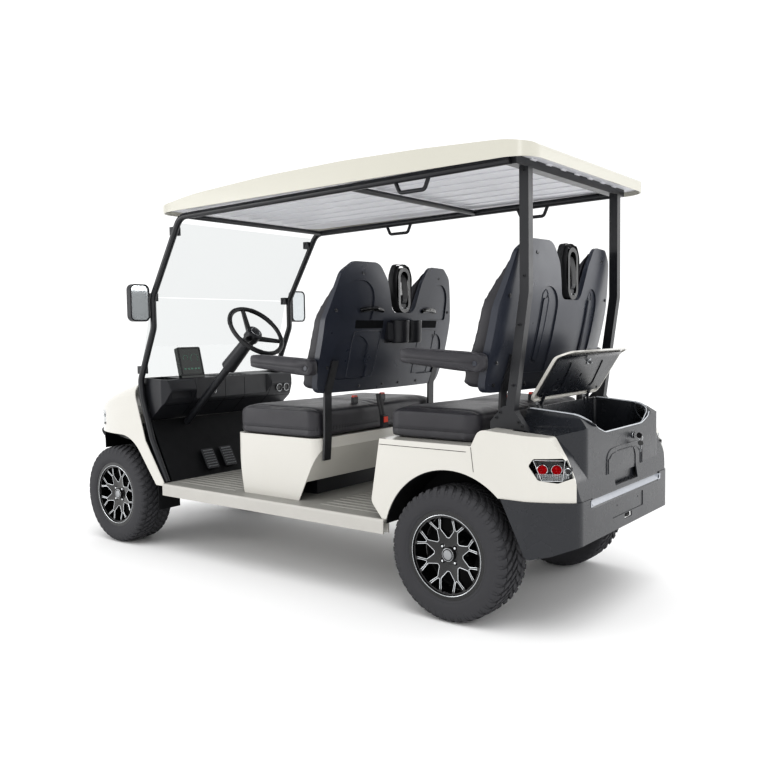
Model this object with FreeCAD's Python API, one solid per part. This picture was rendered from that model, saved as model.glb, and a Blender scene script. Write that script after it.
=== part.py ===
import FreeCAD, Part
import math
import os

# Four-seat golf cart. Millimetres. +X is the cart's left, -Y its front, +Z up.
# The origin is on the ground, under the middle of the cart's length and width.

# Driving sizes of the whole cart
WHEELBASE = 2400.0
FRONT_OVERHANG = 460.0
REAR_OVERHANG = 560.0
TRACK = 1040.0
TYRE_DIAMETER = 584.0
FLOOR_HEIGHT = 400.0
BODY_HALF_WIDTH = 592.0
SEAT_PITCH = 955.0
SEAT_STEP = 34.0
OVERRUN = 20.0
SEAT_GAP = 0.3
RUNNING_GAP = 0.05
OPEN_PIVOT_GAP = 0.5
PANEL = 5.0

LENGTH = FRONT_OVERHANG + WHEELBASE + REAR_OVERHANG
FRONT_AXLE_Y = FRONT_OVERHANG - LENGTH / 2
REAR_AXLE_Y = FRONT_AXLE_Y + WHEELBASE
REAR_Y = LENGTH / 2
FRONT_Y = -REAR_Y
HUB_Z = TYRE_DIAMETER / 2
WHEEL_X = TRACK / 2

# Wheels
TYRE_WIDTH = 220.0
RIM_SEAT_RADIUS = 178.0
RIM_WIDTH = 200.0
RIM_WALL = 6.0
FLANGE_HEIGHT = 17.0
SPOKE_COUNT = 8
SPOKE_DISC_THICKNESS = 16.0
SPOKE_DISH = 22.0
HUB_RADIUS = 46.0
HUB_DEPTH = 120.0
CAP_RADIUS = 31.0
CAP_HEIGHT = 9.0
LUG_COUNT = 4
LUG_CIRCLE = 101.6
LUG_POCKET_RADIUS = 11.0
LUG_POCKET_DEPTH = 9.0
SPINDLE_RADIUS = 15.0
BRAKE_DRUM_RADIUS = 92.0
BRAKE_DRUM_DEPTH = 42.0
# Corners of half the tyre section, as shares of the half width and of the section height
TYRE_OUTLINE_SHARES = ((0.85, 0.0), (0.876, 0.151), (1.0, 0.34), (1.0, 0.66), (0.86, 0.965), (0.45, 1.0))
TYRE_CORNER_SHARES = (0.0, 0.0, 0.30, 0.30, 0.14, 0.0)
# Window between two spokes: angle as a share of the pitch, radius as a share of the seat radius
SPOKE_WINDOW_SHARES = ((-0.10, 0.42), (0.10, 0.42), (0.38, 0.64), (0.205, 0.93), (-0.205, 0.93), (-0.38, 0.64))
FORK_WINDOW_SHARES = ((-0.04, 0.67), (0.04, 0.67), (0.205, 0.93), (-0.205, 0.93))

# Ladder frame
RAIL_X = 225.0
RAIL_WIDTH = 50.0
RAIL_HEIGHT = 70.0
RAIL_FRONT_RISE = 82.0
RAIL_REAR_RISE = 112.0
RAIL_BEND = 60.0
CROSS_WIDTH = 60.0
OUTRIGGER_HEIGHT = 46.0
HITCH_WIDTH = 70.0
HITCH_THICKNESS = 12.0
HITCH_PIN_RADIUS = 8.0
SPRING_BRACKET = 34.0
RAIL_WALL_SHARE = 0.1
# Places along the wheelbase, as shares of it from the front axle
FRONT_KICK_SHARES = (0.09, 0.17)
REAR_KICK_SHARES = (0.868, 0.905)
CROSS_SHARES = (0.24, 0.50, 0.76)
OUTRIGGER_SHARES = (0.27, 0.52, 0.78)

# Axles and springs
KINGPIN_OFFSET = 120.0
KINGPIN_X = WHEEL_X - KINGPIN_OFFSET
KINGPIN_RADIUS = 10.0
YOKE_RADIUS = 21.0
YOKE_EAR = 13.0
YOKE_WEB_REACH = 50.0
YOKE_WEB_X = KINGPIN_X - YOKE_WEB_REACH
BRAKE_GAP = 5.0
KNUCKLE_HEIGHT = 84.0
AXLE_TUBE_RADIUS = 26.0
REAR_TUBE_RADIUS = 34.0
DIFF_RADIUS = 88.0
DIFF_WIDTH = 130.0
MOTOR_RADIUS = 84.0
MOTOR_LENGTH = 190.0
BACKING_RADIUS = 84.0
BACKING_THICKNESS = 6.0
STEER_ARM_LENGTH = 130.0
STEER_ARM_THICKNESS = 12.0
STEER_ARM_WIDTH = 22.0
STEER_PIN_RADIUS = 7.0
TIE_EYE_RADIUS = 14.0
TIE_EYE_HEIGHT = 16.0
TIE_ROD_RADIUS = 8.0
SPRING_HALF_LENGTH = 240.0
SPRING_WIDTH = 44.0
SPRING_THICKNESS = 20.0
SPRING_EYE_RADIUS = 14.0

# Floor, sills and toe board
FLOOR_FRONT_Y = -810.0
FLOOR_REAR_Y = 800.0
FRONT_BODY_REAR_Y = FLOOR_FRONT_Y - SEAT_GAP
FLOOR_THICKNESS = 10.0
SILL_STAND_OUT = 12.0
SILL_OUTER_X = BODY_HALF_WIDTH + SILL_STAND_OUT
SILL_WIDTH = 46.0
SILL_HEIGHT = 68.0
SILL_WALL = 8.0
SILL_CORNER = 12.0
TOE_BOARD_TOP_Z = 745.0
TOE_BOARD_TOP_Y = -1000.0
TOE_BOARD_HALF_WIDTH = 532.0

# Front body shell: stations from the nose back, as shares of its length, half width and height
ARCH_RADIUS = 354.0
ARCH_RISE = 10.0
FRONT_BODY_NOSE_Y = -1655.0
FENDER_EDGE_Z = 655.0
COWL_Z = 1030.0
CROWN_DROP = 105.0
NOSE_STATION_SHARES = (0.0, 0.035, 0.12, 0.25, 0.48, 0.74, 1.0)
NOSE_WIDTH_SHARES = (0.55, 0.68, 0.82, 0.92, 0.985, 1.0, 1.0)
NOSE_HEIGHT_SHARES = (0.16, 0.27, 0.44, 0.60, 0.78, 0.94, 1.0)
CROWN_SHARES = ((1.0, 1.0), (1.0, 0.40), (0.80, 0.06), (0.40, 0.0))
BODY_EDGE_AHEAD = 22.0
# Opening over the front wheel in side view: shares of the arch radius from a point over the hub
FRONT_ARCH_SHARES = ((-1.3, 0.0), (-1.3, 1.0), (0.41, 1.0), (1.225, 0.0))
FRONT_ARCH_BEND_SHARES = (0.0, 0.0, 0.70, 0.0)
STEER_SWING = 148.0
LINER_INNER_X = WHEEL_X - TYRE_WIDTH / 2 - STEER_SWING
LINER_WALL = 4.0
FLAP_BOTTOM_Z = 235.0
FLAP_INNER_X = 432.0
REAR_LINER_CLEARANCE = 36.0
REAR_LINER_INNER_X = WHEEL_X - TYRE_WIDTH / 2 - REAR_LINER_CLEARANCE
LINER_TOP_Z = 684.0
# Wheelhouse in side view, from its front foot round to its rear foot: places ahead of or behind the axle as
# shares of the arch radius, heights as shares of the way from the rear foot to its top
LINER_SHARES = ((-0.71, 0.55), (-0.71, 1.0), (0.53, 1.0), (1.0, 0.30), (1.06, 0.0))

# Front bumper and headlamps
BUMPER_TUBE_RADIUS = 19.0
BUMPER_Z = 600.0
BUMPER_HALF_WIDTH = 430.0
BUMPER_SWEEP = 90.0
BUMPER_BEND = 120.0
BUMPER_LEG_X = 225.0
HEADLAMP_HEIGHT = 92.0
HEADLAMP_BOTTOM_Z = 700.0
HEADLAMP_INNER_X = 250.0
HEADLAMP_DEPTH = 60.0

# Dashboard, display, column and pedals
DASH_HALF_WIDTH = 530.0
DASH_TOP_Z = 1000.0
DASH_REAR_Y = -835.0
DASH_CORNER = 22.0
DASH_POD_INNER_X = 312.0
DASH_POD_DEPTH = 34.0
DASH_END_SWEEP = 62.0
OUTLET_RADIUS = 23.0
OUTLET_DEPTH = 14.0
OUTLET_SPACING = 66.0
OUTLET_Z = 893.0
GLOVE_MARGIN = 24.0
GLOVE_DEPTH = 5.0
BIN_DEPTH = 75.0
BIN_OUTER_X = 515.0
BIN_INNER_X = 385.0
BIN_CORNER = 18.0
DISPLAY_WIDTH = 176.0
DISPLAY_HEIGHT = 196.0
DISPLAY_THICKNESS = 26.0
DISPLAY_LEAN = 14.0
STEERING_X = 280.0
STEERING_Y = -345.0
STEERING_Z = 1267.0
STEERING_TILT = 40.9
STEERING_RING_RADIUS = 167.0
STEERING_GRIP_RADIUS = 12.0
STEERING_HUB_RADIUS = 44.0
STEERING_HUB_HEIGHT = 30.0
STEERING_SPOKES = 3
STEERING_SPOKE_WIDTH = 34.0
STEERING_SPOKE_THICKNESS = 12.0
STEERING_HUB_DROP = 34.0
COLUMN_RADIUS = 22.0
COLUMN_LENGTH = 860.0
SHROUD_RADIUS = 44.0
SHROUD_LENGTH = 250.0
PEDAL_WIDTH = 92.0
PEDAL_HEIGHT = 130.0
PEDAL_THICKNESS = 8.0
BRAKE_PEDAL_X = 225.0
THROTTLE_PEDAL_X = 82.0
PEDAL_Y = -835.0
PEDAL_Z = 497.0
PEDAL_LEAN = 30.0
PEDAL_LEVER_RADIUS = 7.0

# Seat pod under the front bench
POD_HALF_WIDTH = 508.0
POD_WALL = 6.0
POD_CORNER = 55.0
POD_FRONT_TOP_Y = -282.0
POD_FRONT_FOOT_Y = -222.0
POD_REAR_TOP_Y = 318.0
POD_REAR_FOOT_Y = 182.0
POD_TOP_Z = 722.0
BATTERY_HALF_WIDTH = 330.0
BATTERY_LENGTH = 330.0
BATTERY_HEIGHT = 260.0

# Cushions and backs of the front bench
CUSHION_HALF_WIDTH = 532.0
CUSHION_FRONT_Y = -272.0
CUSHION_REAR_Y = 328.0
CUSHION_HEIGHT = 146.0
CUSHION_CORNER = 60.0
CUSHION_EDGE = 28.0
BACK_HALF_WIDTH = 545.0
BACK_BOTTOM_Z = 950.0
BACK_TOP_Z = 1600.0
BACK_FRONT_Y = 228.0
SHELL_THICKNESS = 34.0
NOTCH_HALF_WIDTH = 92.0
NOTCH_DEPTH = 250.0
BACK_WRAP = 64.0
BACK_BOLSTER = 26.0
SHELL_RECESS_DEPTH = 7.0
# Arched recesses in a shell's rear face: places across and up the back, as shares of its half width and height
FRONT_RECESS_SHARES = ((0.42, 0.10, 0.86, 0.44), (0.44, 0.56, 0.84, 0.86))
REAR_RECESS_SHARES = ((0.22, 0.12, 0.60, 0.70),)
# Upright rib left standing in a rear recess
RECESS_RIB_SHARES = (0.37, 0.20, 0.45, 0.62)
# Side view of the back at six heights: height, front face and spine as shares of the back's height, and the
# shell's thickness as a share of its full thickness
BACK_STATION_SHARES = (
    (0.0, 0.0, 0.18, 1.0), (0.25, 0.065, 0.262, 1.0), (0.49, 0.135, 0.322, 0.95), (0.72, 0.22, 0.368, 0.8),
    (0.90, 0.33, 0.398, 0.6), (1.0, 0.39, 0.408, 0.5))
# Half outline of the back in front view: shares of its half width and height
BACK_OUTLINE_SHARES = ((0.95, 0.0), (1.0, 0.22), (1.0, 0.56), (0.86, 0.92), (0.72, 1.0), (0.40, 1.0), (0.27, 0.86))
BACK_CORNER_SHARES = (0.09, 0.20, 0.20, 0.10, 0.08, 0.12, 0.20)
TOWER_WIDTH = 105.0
TOWER_HEIGHT = 236.0
TOWER_DEPTH = 46.0
TOWER_RING = 20.0
BRACKET_X = 450.0
REAR_BRACKET_X = 392.0
BRACKET_WIDTH = 50.0
BRACKET_THICKNESS = 12.0
ORGANIZER_HALF_WIDTH = 190.0
ORGANIZER_DEPTH = 92.0
ORGANIZER_HEIGHT = 120.0
ORGANIZER_TOP_Z = 1310.0
CUP_RADIUS = 38.0
CUP_DEPTH = 90.0
CUP_SPACING = 105.0
ARMREST_X = 582.0
ARMREST_WIDTH = 66.0
ARMREST_LENGTH = 395.0
ARMREST_HEIGHT = 82.0
ARMREST_TIP_HEIGHT = 64.0
ARMREST_PIVOT_Z = 1080.0
ARMREST_RISE = 34.0
ARMREST_PIN_RADIUS = 11.0
BUCKLE_WIDTH = 30.0
BUCKLE_HEIGHT = 90.0
BUCKLE_THICKNESS = 16.0
BUCKLE_X = 120.0

# Rear bench
REAR_CUSHION_FRONT_Y = 748.0
REAR_CUSHION_REAR_Y = 1262.0
REAR_CUSHION_HEIGHT = 132.0

# Rear body
REAR_BODY_FRONT_Y = 724.0
REAR_DECK_Z = 768.0
REAR_CUSHION_BOTTOM_Z = REAR_DECK_Z + SEAT_GAP
REAR_BODY_FOOT_Z = FLOOR_HEIGHT + SEAT_GAP
HAUNCH_Y = 1300.0
HAUNCH_Z = 840.0
TAIL_TOP_Y = 1604.0
TAIL_TOP_Z = 822.0
REAR_CORNER_Y = 1706.0
REAR_CORNER_X = 500.0
REAR_CORNER_MID_X = 560.0
REAR_CORNER_MID_Y = 1602.0
REAR_SIDE_STRAIGHT_Y = 1518.0
REAR_CORNER_BEND = 60.0
HAUNCH_BEND = 44.0
REAR_BUMPER_TOP_Z = 562.0
# Tail in side view: shares of the run from its top edge to its foot, and of the height down to the bumper
TAIL_SHARES = ((0.0, 0.0), (0.53, 0.335), (0.86, 0.65), (1.0, 1.0))

# Open boot: tub, its dark surround and the lid
SURROUND_HALF_WIDTH = 500.0
TRUNK_HALF_WIDTH = 336.0
TRUNK_FRONT_Y = 1400.0
TRUNK_REAR_Y = 1694.0
TRUNK_BOTTOM_Z = 556.0
TRUNK_WALL = 5.0
TRUNK_CORNER = 84.0
TRUNK_TAPER = 14.0
RIM_WIDTH_ROUND_TUB = 20.0
RIM_FRONT_Z = 914.0
RIM_BEND_Y = 1640.0
RIM_BEND_Z = 893.0
RIM_REAR_Z = 848.0
RIM_BEND = 110.0
RIM_DIP_Z = 812.0
RIM_DIP_HALF_WIDTH = 210.0
RIM_DIP_RUN = 110.0
SHOULDER_X = 404.0
SHOULDER_Z = 846.0
SHOULDER_BEND = 60.0
LEDGE_DROP = 24.0
BOOT_PANEL_HALF_WIDTH = 128.0
BOOT_PANEL_BOTTOM_Z = 576.0
BOOT_PANEL_TOP_Z = 724.0
BOOT_PANEL_DEPTH = 3.0
LOCK_X = -101.0
LOCK_Z = 769.0
LOCK_RADIUS = 15.0
LOCK_HEIGHT = 8.0
LID_HALF_WIDTH = 348.0
LID_THICKNESS = 12.0
LID_LIFT = 7.0
LID_INNER_THICKNESS = 10.0
LID_INNER_INSET = 25.0
LID_BEND = 40.0
LID_OPEN_ANGLE = 63.0
LID_HINGE_Y = 1400.0
LID_HINGE_Z = 928.0
LID_REAR_Y = 1688.0
LID_CORNER = 74.0
LID_RIB_DEPTH = 4.0
LID_RIB_WIDTH = 84.0
LID_RIB_X = 168.0
LID_RIB_SLANT = 46.0
LID_HOLE_RADIUS = 9.0
LID_HINGE_RADIUS = 8.0
LID_PIN_RADIUS = 4.0
LID_HINGE_X = 240.0
LID_HINGE_WIDTH = 46.0
LID_EAR_WIDTH = 8.0

# Rear bumper and tail lamps
REAR_BUMPER_WALL = 6.0
# Side view of the bumper: its front edge at the wheel arch, its foot and its rear face
BUMPER_FRONT_TOP_Y = 1404.0
BUMPER_FRONT_FOOT_Y = 1519.0
BUMPER_FRONT_FOOT_Z = 323.0
BUMPER_CORNER_Y = 1612.0
BUMPER_CORNER_Z = 346.0
BUMPER_MIDDLE_Z = 392.0
STEP_HALF_WIDTH = 402.0
STEP_SLANT = 26.0
STEP_EDGE_Z = 520.0
STEP_TOP_Z = 555.0
PLATE_HOLE_SPACING = 240.0
PLATE_HOLE_RADIUS = 4.0
PLATE_HOLE_Z = 488.0
PLATE_RECESS_HALF_WIDTH = 176.0
PLATE_RECESS_LOW_Z = 440.0
PLATE_RECESS_HIGH_Z = 508.0
PLATE_RECESS_DEPTH = 3.0
# Tail lamp in side view: shares of the tail's length behind the straight side, and of its height over the bumper
TAIL_LAMP_SHARES = ((0.05, 0.56), (0.15, 0.67), (0.72, 0.685), (0.98, 0.41), (0.62, 0.30), (0.24, 0.34))
TAIL_LAMP_BEND = 12.0
TAIL_LAMP_DEPTH = 34.0

# Roof, pillars and windshield
ROOF_HALF_WIDTH = 640.0
ROOF_FRONT_Y = -754.0
ROOF_REAR_Y = 1560.0
ROOF_EDGE_Z = 1924.0
ROOF_RISE = 100.0
ROOF_CROWN = 34.0
ROOF_CORNER = 120.0
ROOF_WALL = 6.0
ROOF_SHARES = ((0.0, 0.30), (0.14, 0.72), (0.39, 0.97), (0.60, 1.0), (0.78, 0.90), (0.95, 0.70), (1.0, 0.55))
LINER_THICKNESS = 8.0
PILLAR_RADIUS = 18.0
A_PILLAR_X = 557.0
A_PILLAR_BEND = 90.0
RAIL_Z = 1928.0
RAIL_REAR_END_Y = 1440.0
# A-pillar corners in side view: shares of its reach and of its height above the floor
A_PILLAR_FRONT_OFFSET = 205.0
A_PILLAR_REACH = 450.0
A_PILLAR_SHARES = ((0.49, 0.0), (0.205, 0.155), (0.02, 0.318), (0.0, 0.385), (0.31, 0.585), (0.31, 0.70), (0.905, 0.985))
WINDSHIELD_THICKNESS = 5.0
WINDSHIELD_HALF_WIDTH = 548.0
WINDSHIELD_BOTTOM_Z = 1002.0
WINDSHIELD_FOLD_Z = 1472.0
WINDSHIELD_TOP_Z = 1878.0
WINDSHIELD_FOLD_GAP = 4.0
CLIP_LENGTH = 46.0
CLIP_WIDTH = 40.0
REAR_PILLAR_X = 461.0
REAR_PILLAR_DEPTH = 42.0
REAR_PILLAR_WIDTH = 38.0
REAR_PILLAR_FOOT_Y = 1373.0
REAR_PILLAR_BEND_Y = 1456.0
REAR_PILLAR_BEND_Z = 1406.0
REAR_PILLAR_BEND = 160.0
# Foot of the rear pillar in side view: places ahead of or behind the post, and heights over the haunch
PILLAR_FOOT_FRONT = 82.0
PILLAR_FOOT_REAR = 99.0
PILLAR_FOOT_EDGE = 24.0
PILLAR_FOOT_HEIGHT = 92.0
HANDLE_RADIUS = 9.0
HANDLE_DROP = 44.0
HANDLE_LENGTH = 190.0
HANDLE_BEND = 20.0
HANDLE_FRONT_Y = 45.0
HANDLE_FOOT_SHARE = 0.7
CROSS_TUBE_Y = 590.0
CROSS_TUBE_RADIUS = 14.0
CHANNEL_HEIGHT = 34.0
CHANNEL_WIDTH = 50.0

# Mirrors
MIRROR_X = 648.0
MIRROR_Y = -900.0
MIRROR_Z = 1437.0
MIRROR_WIDTH = 130.0
MIRROR_HEIGHT = 212.0
MIRROR_DEPTH = 34.0
MIRROR_CORNER = 34.0
MIRROR_ARM_RADIUS = 8.0
MIRROR_ARM_SHARE = 0.75
MIRROR_GLASS_INSET = 9.0
MIRROR_GLASS_THICKNESS = 3.0


X_AXIS = FreeCAD.Vector(1, 0, 0)
Y_AXIS = FreeCAD.Vector(0, 1, 0)
Z_AXIS = FreeCAD.Vector(0, 0, 1)
ORIGIN = FreeCAD.Vector(0, 0, 0)
PLANES = {
    "x": lambda u, v, w: FreeCAD.Vector(w, u, v),
    "y": lambda u, v, w: FreeCAD.Vector(u, w, v),
    "z": lambda u, v, w: FreeCAD.Vector(u, v, w),
}
AXES = {"x": X_AXIS, "y": Y_AXIS, "z": Z_AXIS}


def point(x, y, z):
    """Point or direction in the cart's frame."""
    return FreeCAD.Vector(x, y, z)


def block(low, high):
    """Box between two opposite corners."""
    size = [b - a for a, b in zip(low, high)]
    return Part.makeBox(*size, point(*low))


def rod(start, end, radius):
    """Round bar from one point to another."""
    along = end - start
    return Part.makeCylinder(radius, along.Length, start, along)


def corner_edges(points, radii, closed):
    """Straight edges through the points, each corner turned by an arc of its radius."""
    count = len(points)
    entries = []
    exits = []
    arcs = []
    for i, here in enumerate(points):
        radius = radii[i]
        inner = closed or 0 < i < count - 1
        if not inner or radius <= 0:
            entries.append(here)
            exits.append(here)
            arcs.append(None)
            continue
        back = points[i - 1] - here
        ahead = points[(i + 1) % count] - here
        half = back.getAngle(ahead) / 2
        reach = min(radius / math.tan(half), back.Length * 0.49, ahead.Length * 0.49)
        fitted = reach * math.tan(half)
        back.normalize()
        ahead.normalize()
        middle = back + ahead
        middle.normalize()
        entries.append(here + back * reach)
        exits.append(here + ahead * reach)
        centre = here + middle * (fitted / math.sin(half))
        arcs.append(Part.Arc(entries[i], centre - middle * fitted, exits[i]).toShape())
    edges = []
    for i in range(count):
        if arcs[i] is not None:
            edges.append(arcs[i])
        last = i == count - 1
        if last and not closed:
            break
        following = entries[(i + 1) % count]
        if (following - exits[i]).Length > SEAT_GAP / 100:
            edges.append(Part.LineSegment(exits[i], following).toShape())
    return edges


def outline(plane, points, radii, level):
    """Closed wire through plane points, rounded at its corners."""
    place = PLANES[plane]
    spread = radii if isinstance(radii, (list, tuple)) else [radii] * len(points)
    corners = [place(u, v, level) for u, v in points]
    return Part.Wire(corner_edges(corners, spread, True))


def prism(plane, points, low, high, radii=0.0):
    """Outline in a plane, drawn out along the plane's normal from low to high."""
    face = Part.Face(outline(plane, points, radii, low))
    return face.extrude(AXES[plane] * (high - low))


def tube(points, radius, bend):
    """Round bar along a bent path."""
    spread = bend if isinstance(bend, (list, tuple)) else [bend] * len(points)
    path = Part.Wire(corner_edges(points, spread, False))
    start = points[0]
    ring = Part.Circle(start, points[1] - start, radius).toShape()
    return path.makePipeShell([Part.Wire(ring)], True, False)


def revolve(points, radii, centre, axis):
    """Ring turned about an axis along X, from points given as distance along it and radius."""
    corners = [centre + axis * along + Z_AXIS * out for along, out in points]
    spread = radii if isinstance(radii, (list, tuple)) else [radii] * len(points)
    face = Part.Face(Part.Wire(corner_edges(corners, spread, True)))
    return face.revolve(centre, axis, 360)


def fuse(shapes):
    """One solid from pieces that touch or overlap."""
    first = shapes[0]
    joined = first.fuse(shapes[1:]) if len(shapes) > 1 else first
    return joined.removeSplitter()


def cut(shape, tools):
    """Shape with the tools taken out of it."""
    return shape.cut(tools if isinstance(tools, list) else [tools])


def across(shape):
    """Same piece on the other side of the cart."""
    return shape.mirror(ORIGIN, X_AXIS)


def both_sides(shape):
    """Piece and its mirror image."""
    return [shape, across(shape)]


def turned(shape, centre, axis, angle):
    """Copy turned about an axis by an angle in degrees."""
    copy = shape.copy()
    copy.rotate(centre, axis, angle)
    return copy


def shifted(shape, dx, dy, dz):
    """Copy moved along the three axes."""
    copy = shape.copy()
    copy.translate(point(dx, dy, dz))
    return copy


def solids_of(shapes):
    """Every solid in a list of shapes."""
    found = []
    for shape in shapes:
        found.extend(shape.Solids)
    return found


def write(node, shapes):
    """Write one node's solids as a STEP file and print its size."""
    pieces = solids_of(shapes if isinstance(shapes, list) else [shapes])
    whole = pieces[0] if len(pieces) == 1 else Part.makeCompound(pieces)
    box = whole.optimalBoundingBox(False)
    sound = all(piece.isValid() for piece in pieces)
    spans = (box.XMin, box.XMax, box.YMin, box.YMax, box.ZMin, box.ZMax)
    print(f"{node:24s} solids {len(pieces):2d} valid {sound} volume {whole.Volume / 1e6:9.3f}", end=" ")
    print(" ".join(f"{value:8.1f}" for value in spans))
    whole.exportStep(f"parts/{node}.step")


# Wheels

def tyre(x, y, outward):
    """Low-profile tyre, closed by its rim."""
    half = TYRE_WIDTH / 2
    bead = RIM_SEAT_RADIUS + SEAT_GAP
    height = TYRE_DIAMETER / 2 - bead
    right = [(half * a, bead + height * b) for a, b in TYRE_OUTLINE_SHARES]
    left = [(-a, b) for a, b in reversed(right)]
    bends = [height * share for share in TYRE_CORNER_SHARES]
    return revolve(right + left, bends + bends[::-1], point(x, y, HUB_Z), X_AXIS * outward)


def window(shares, centre, outward, level, depth):
    """Cutter for one opening of the spoke disc."""
    pitch = 2 * math.pi / SPOKE_COUNT
    corners = []
    for turn, reach in shares:
        angle = turn * pitch
        radius = RIM_SEAT_RADIUS * reach
        flat = point(outward * level, radius * math.sin(angle), radius * math.cos(angle))
        corners.append(centre + flat)
    radii = [RIM_WALL] * len(corners)
    face = Part.Face(Part.Wire(corner_edges(corners, radii, True)))
    return face.extrude(X_AXIS * outward * depth)


def rim(x, y, outward):
    """Cast rim: barrel with two flanges, dished spoke disc, hub and brake drum."""
    centre = point(x, y, HUB_Z)
    axis = X_AXIS * outward
    half = RIM_WIDTH / 2
    inner = RIM_SEAT_RADIUS - RIM_WALL
    lip = RIM_SEAT_RADIUS + FLANGE_HEIGHT
    barrel = revolve(
        [(-half, inner), (half, inner), (half, lip), (half - RIM_WALL / 2, lip),
         (half - RIM_WALL, RIM_SEAT_RADIUS), (RIM_WALL - half, RIM_SEAT_RADIUS),
         (RIM_WALL / 2 - half, lip), (-half, lip)],
        0.0, centre, axis)
    face = half - RIM_WALL
    disc = revolve(
        [(face - SPOKE_DISC_THICKNESS, inner + RIM_WALL / 2), (face, inner + RIM_WALL / 2),
         (face, inner - RIM_WALL), (face - SPOKE_DISH, HUB_RADIUS), (face - SPOKE_DISH, 0.0),
         (face - SPOKE_DISH - SPOKE_DISC_THICKNESS, 0.0),
         (face - SPOKE_DISH - SPOKE_DISC_THICKNESS, HUB_RADIUS)],
        0.0, centre, axis)
    level = face - SPOKE_DISH - SPOKE_DISC_THICKNESS - RIM_WALL
    depth = half - level + RIM_WALL
    tools = []
    for i in range(SPOKE_COUNT):
        main = window(SPOKE_WINDOW_SHARES, centre, outward, level, depth)
        fork = window(FORK_WINDOW_SHARES, centre, outward, level, depth)
        tools.append(turned(main, centre, X_AXIS, 360 * i / SPOKE_COUNT))
        tools.append(turned(fork, centre, X_AXIS, 360 * (i + 1 / 2) / SPOKE_COUNT))
    disc = cut(disc, tools)
    hub_face = face - SPOKE_DISH
    hub = Part.makeCylinder(HUB_RADIUS, HUB_DEPTH, centre + axis * (hub_face - HUB_DEPTH), axis)
    drum_low = hub_face - HUB_DEPTH
    drum = Part.makeCylinder(BRAKE_DRUM_RADIUS, BRAKE_DRUM_DEPTH, centre + axis * drum_low, axis)
    cap = Part.makeCylinder(CAP_RADIUS, CAP_HEIGHT, centre + axis * hub_face, axis)
    lugs = []
    for i in range(LUG_COUNT):
        angle = 2 * math.pi * (i + 1 / 2) / LUG_COUNT
        radial = point(0, math.cos(angle), math.sin(angle)) * (LUG_CIRCLE / 2 - LUG_POCKET_RADIUS / 2)
        foot = centre + axis * (hub_face - LUG_POCKET_DEPTH) + radial
        lugs.append(Part.makeCylinder(LUG_POCKET_RADIUS, HUB_DEPTH, foot, axis))
    bore_length = HUB_DEPTH - SPOKE_DISC_THICKNESS
    bore = Part.makeCylinder(
        SPINDLE_RADIUS + RUNNING_GAP, bore_length + OVERRUN, centre + axis * (drum_low - OVERRUN), axis)
    return cut(fuse([barrel, disc, hub, drum, cap]), [bore] + lugs)


def spindle_span():
    """Inner face of the hub and the end of its bore, outward from the wheel's middle."""
    drum_low = RIM_WIDTH / 2 - RIM_WALL - SPOKE_DISH - HUB_DEPTH
    return drum_low, drum_low + HUB_DEPTH - SPOKE_DISC_THICKNESS


# Ladder frame

def rail_profile():
    """Corners of one rail in side view, raised over both axles."""
    low = FLOOR_HEIGHT - FLOOR_THICKNESS - RAIL_HEIGHT
    front_a, front_b = [FRONT_AXLE_Y + WHEELBASE * share for share in FRONT_KICK_SHARES]
    rear_a, rear_b = [FRONT_AXLE_Y + WHEELBASE * share for share in REAR_KICK_SHARES]
    front_end = FRONT_BODY_NOSE_Y + BUMPER_TUBE_RADIUS * 4
    rear_end = REAR_Y - REAR_BUMPER_WALL - OVERRUN * 3
    line = [
        (front_end, low + RAIL_FRONT_RISE), (front_a, low + RAIL_FRONT_RISE), (front_b, low),
        (rear_a, low), (rear_b, low + RAIL_REAR_RISE), (rear_end, low + RAIL_REAR_RISE)]
    return line + [(y, z + RAIL_HEIGHT) for y, z in reversed(line)]


def spring_frames():
    """Axle place, axle radius and rail underside of the front and rear springs."""
    low = FLOOR_HEIGHT - FLOOR_THICKNESS - RAIL_HEIGHT
    return (
        (FRONT_AXLE_Y, AXLE_TUBE_RADIUS, low + RAIL_FRONT_RISE),
        (REAR_AXLE_Y, REAR_TUBE_RADIUS, low + RAIL_REAR_RISE))


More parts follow.
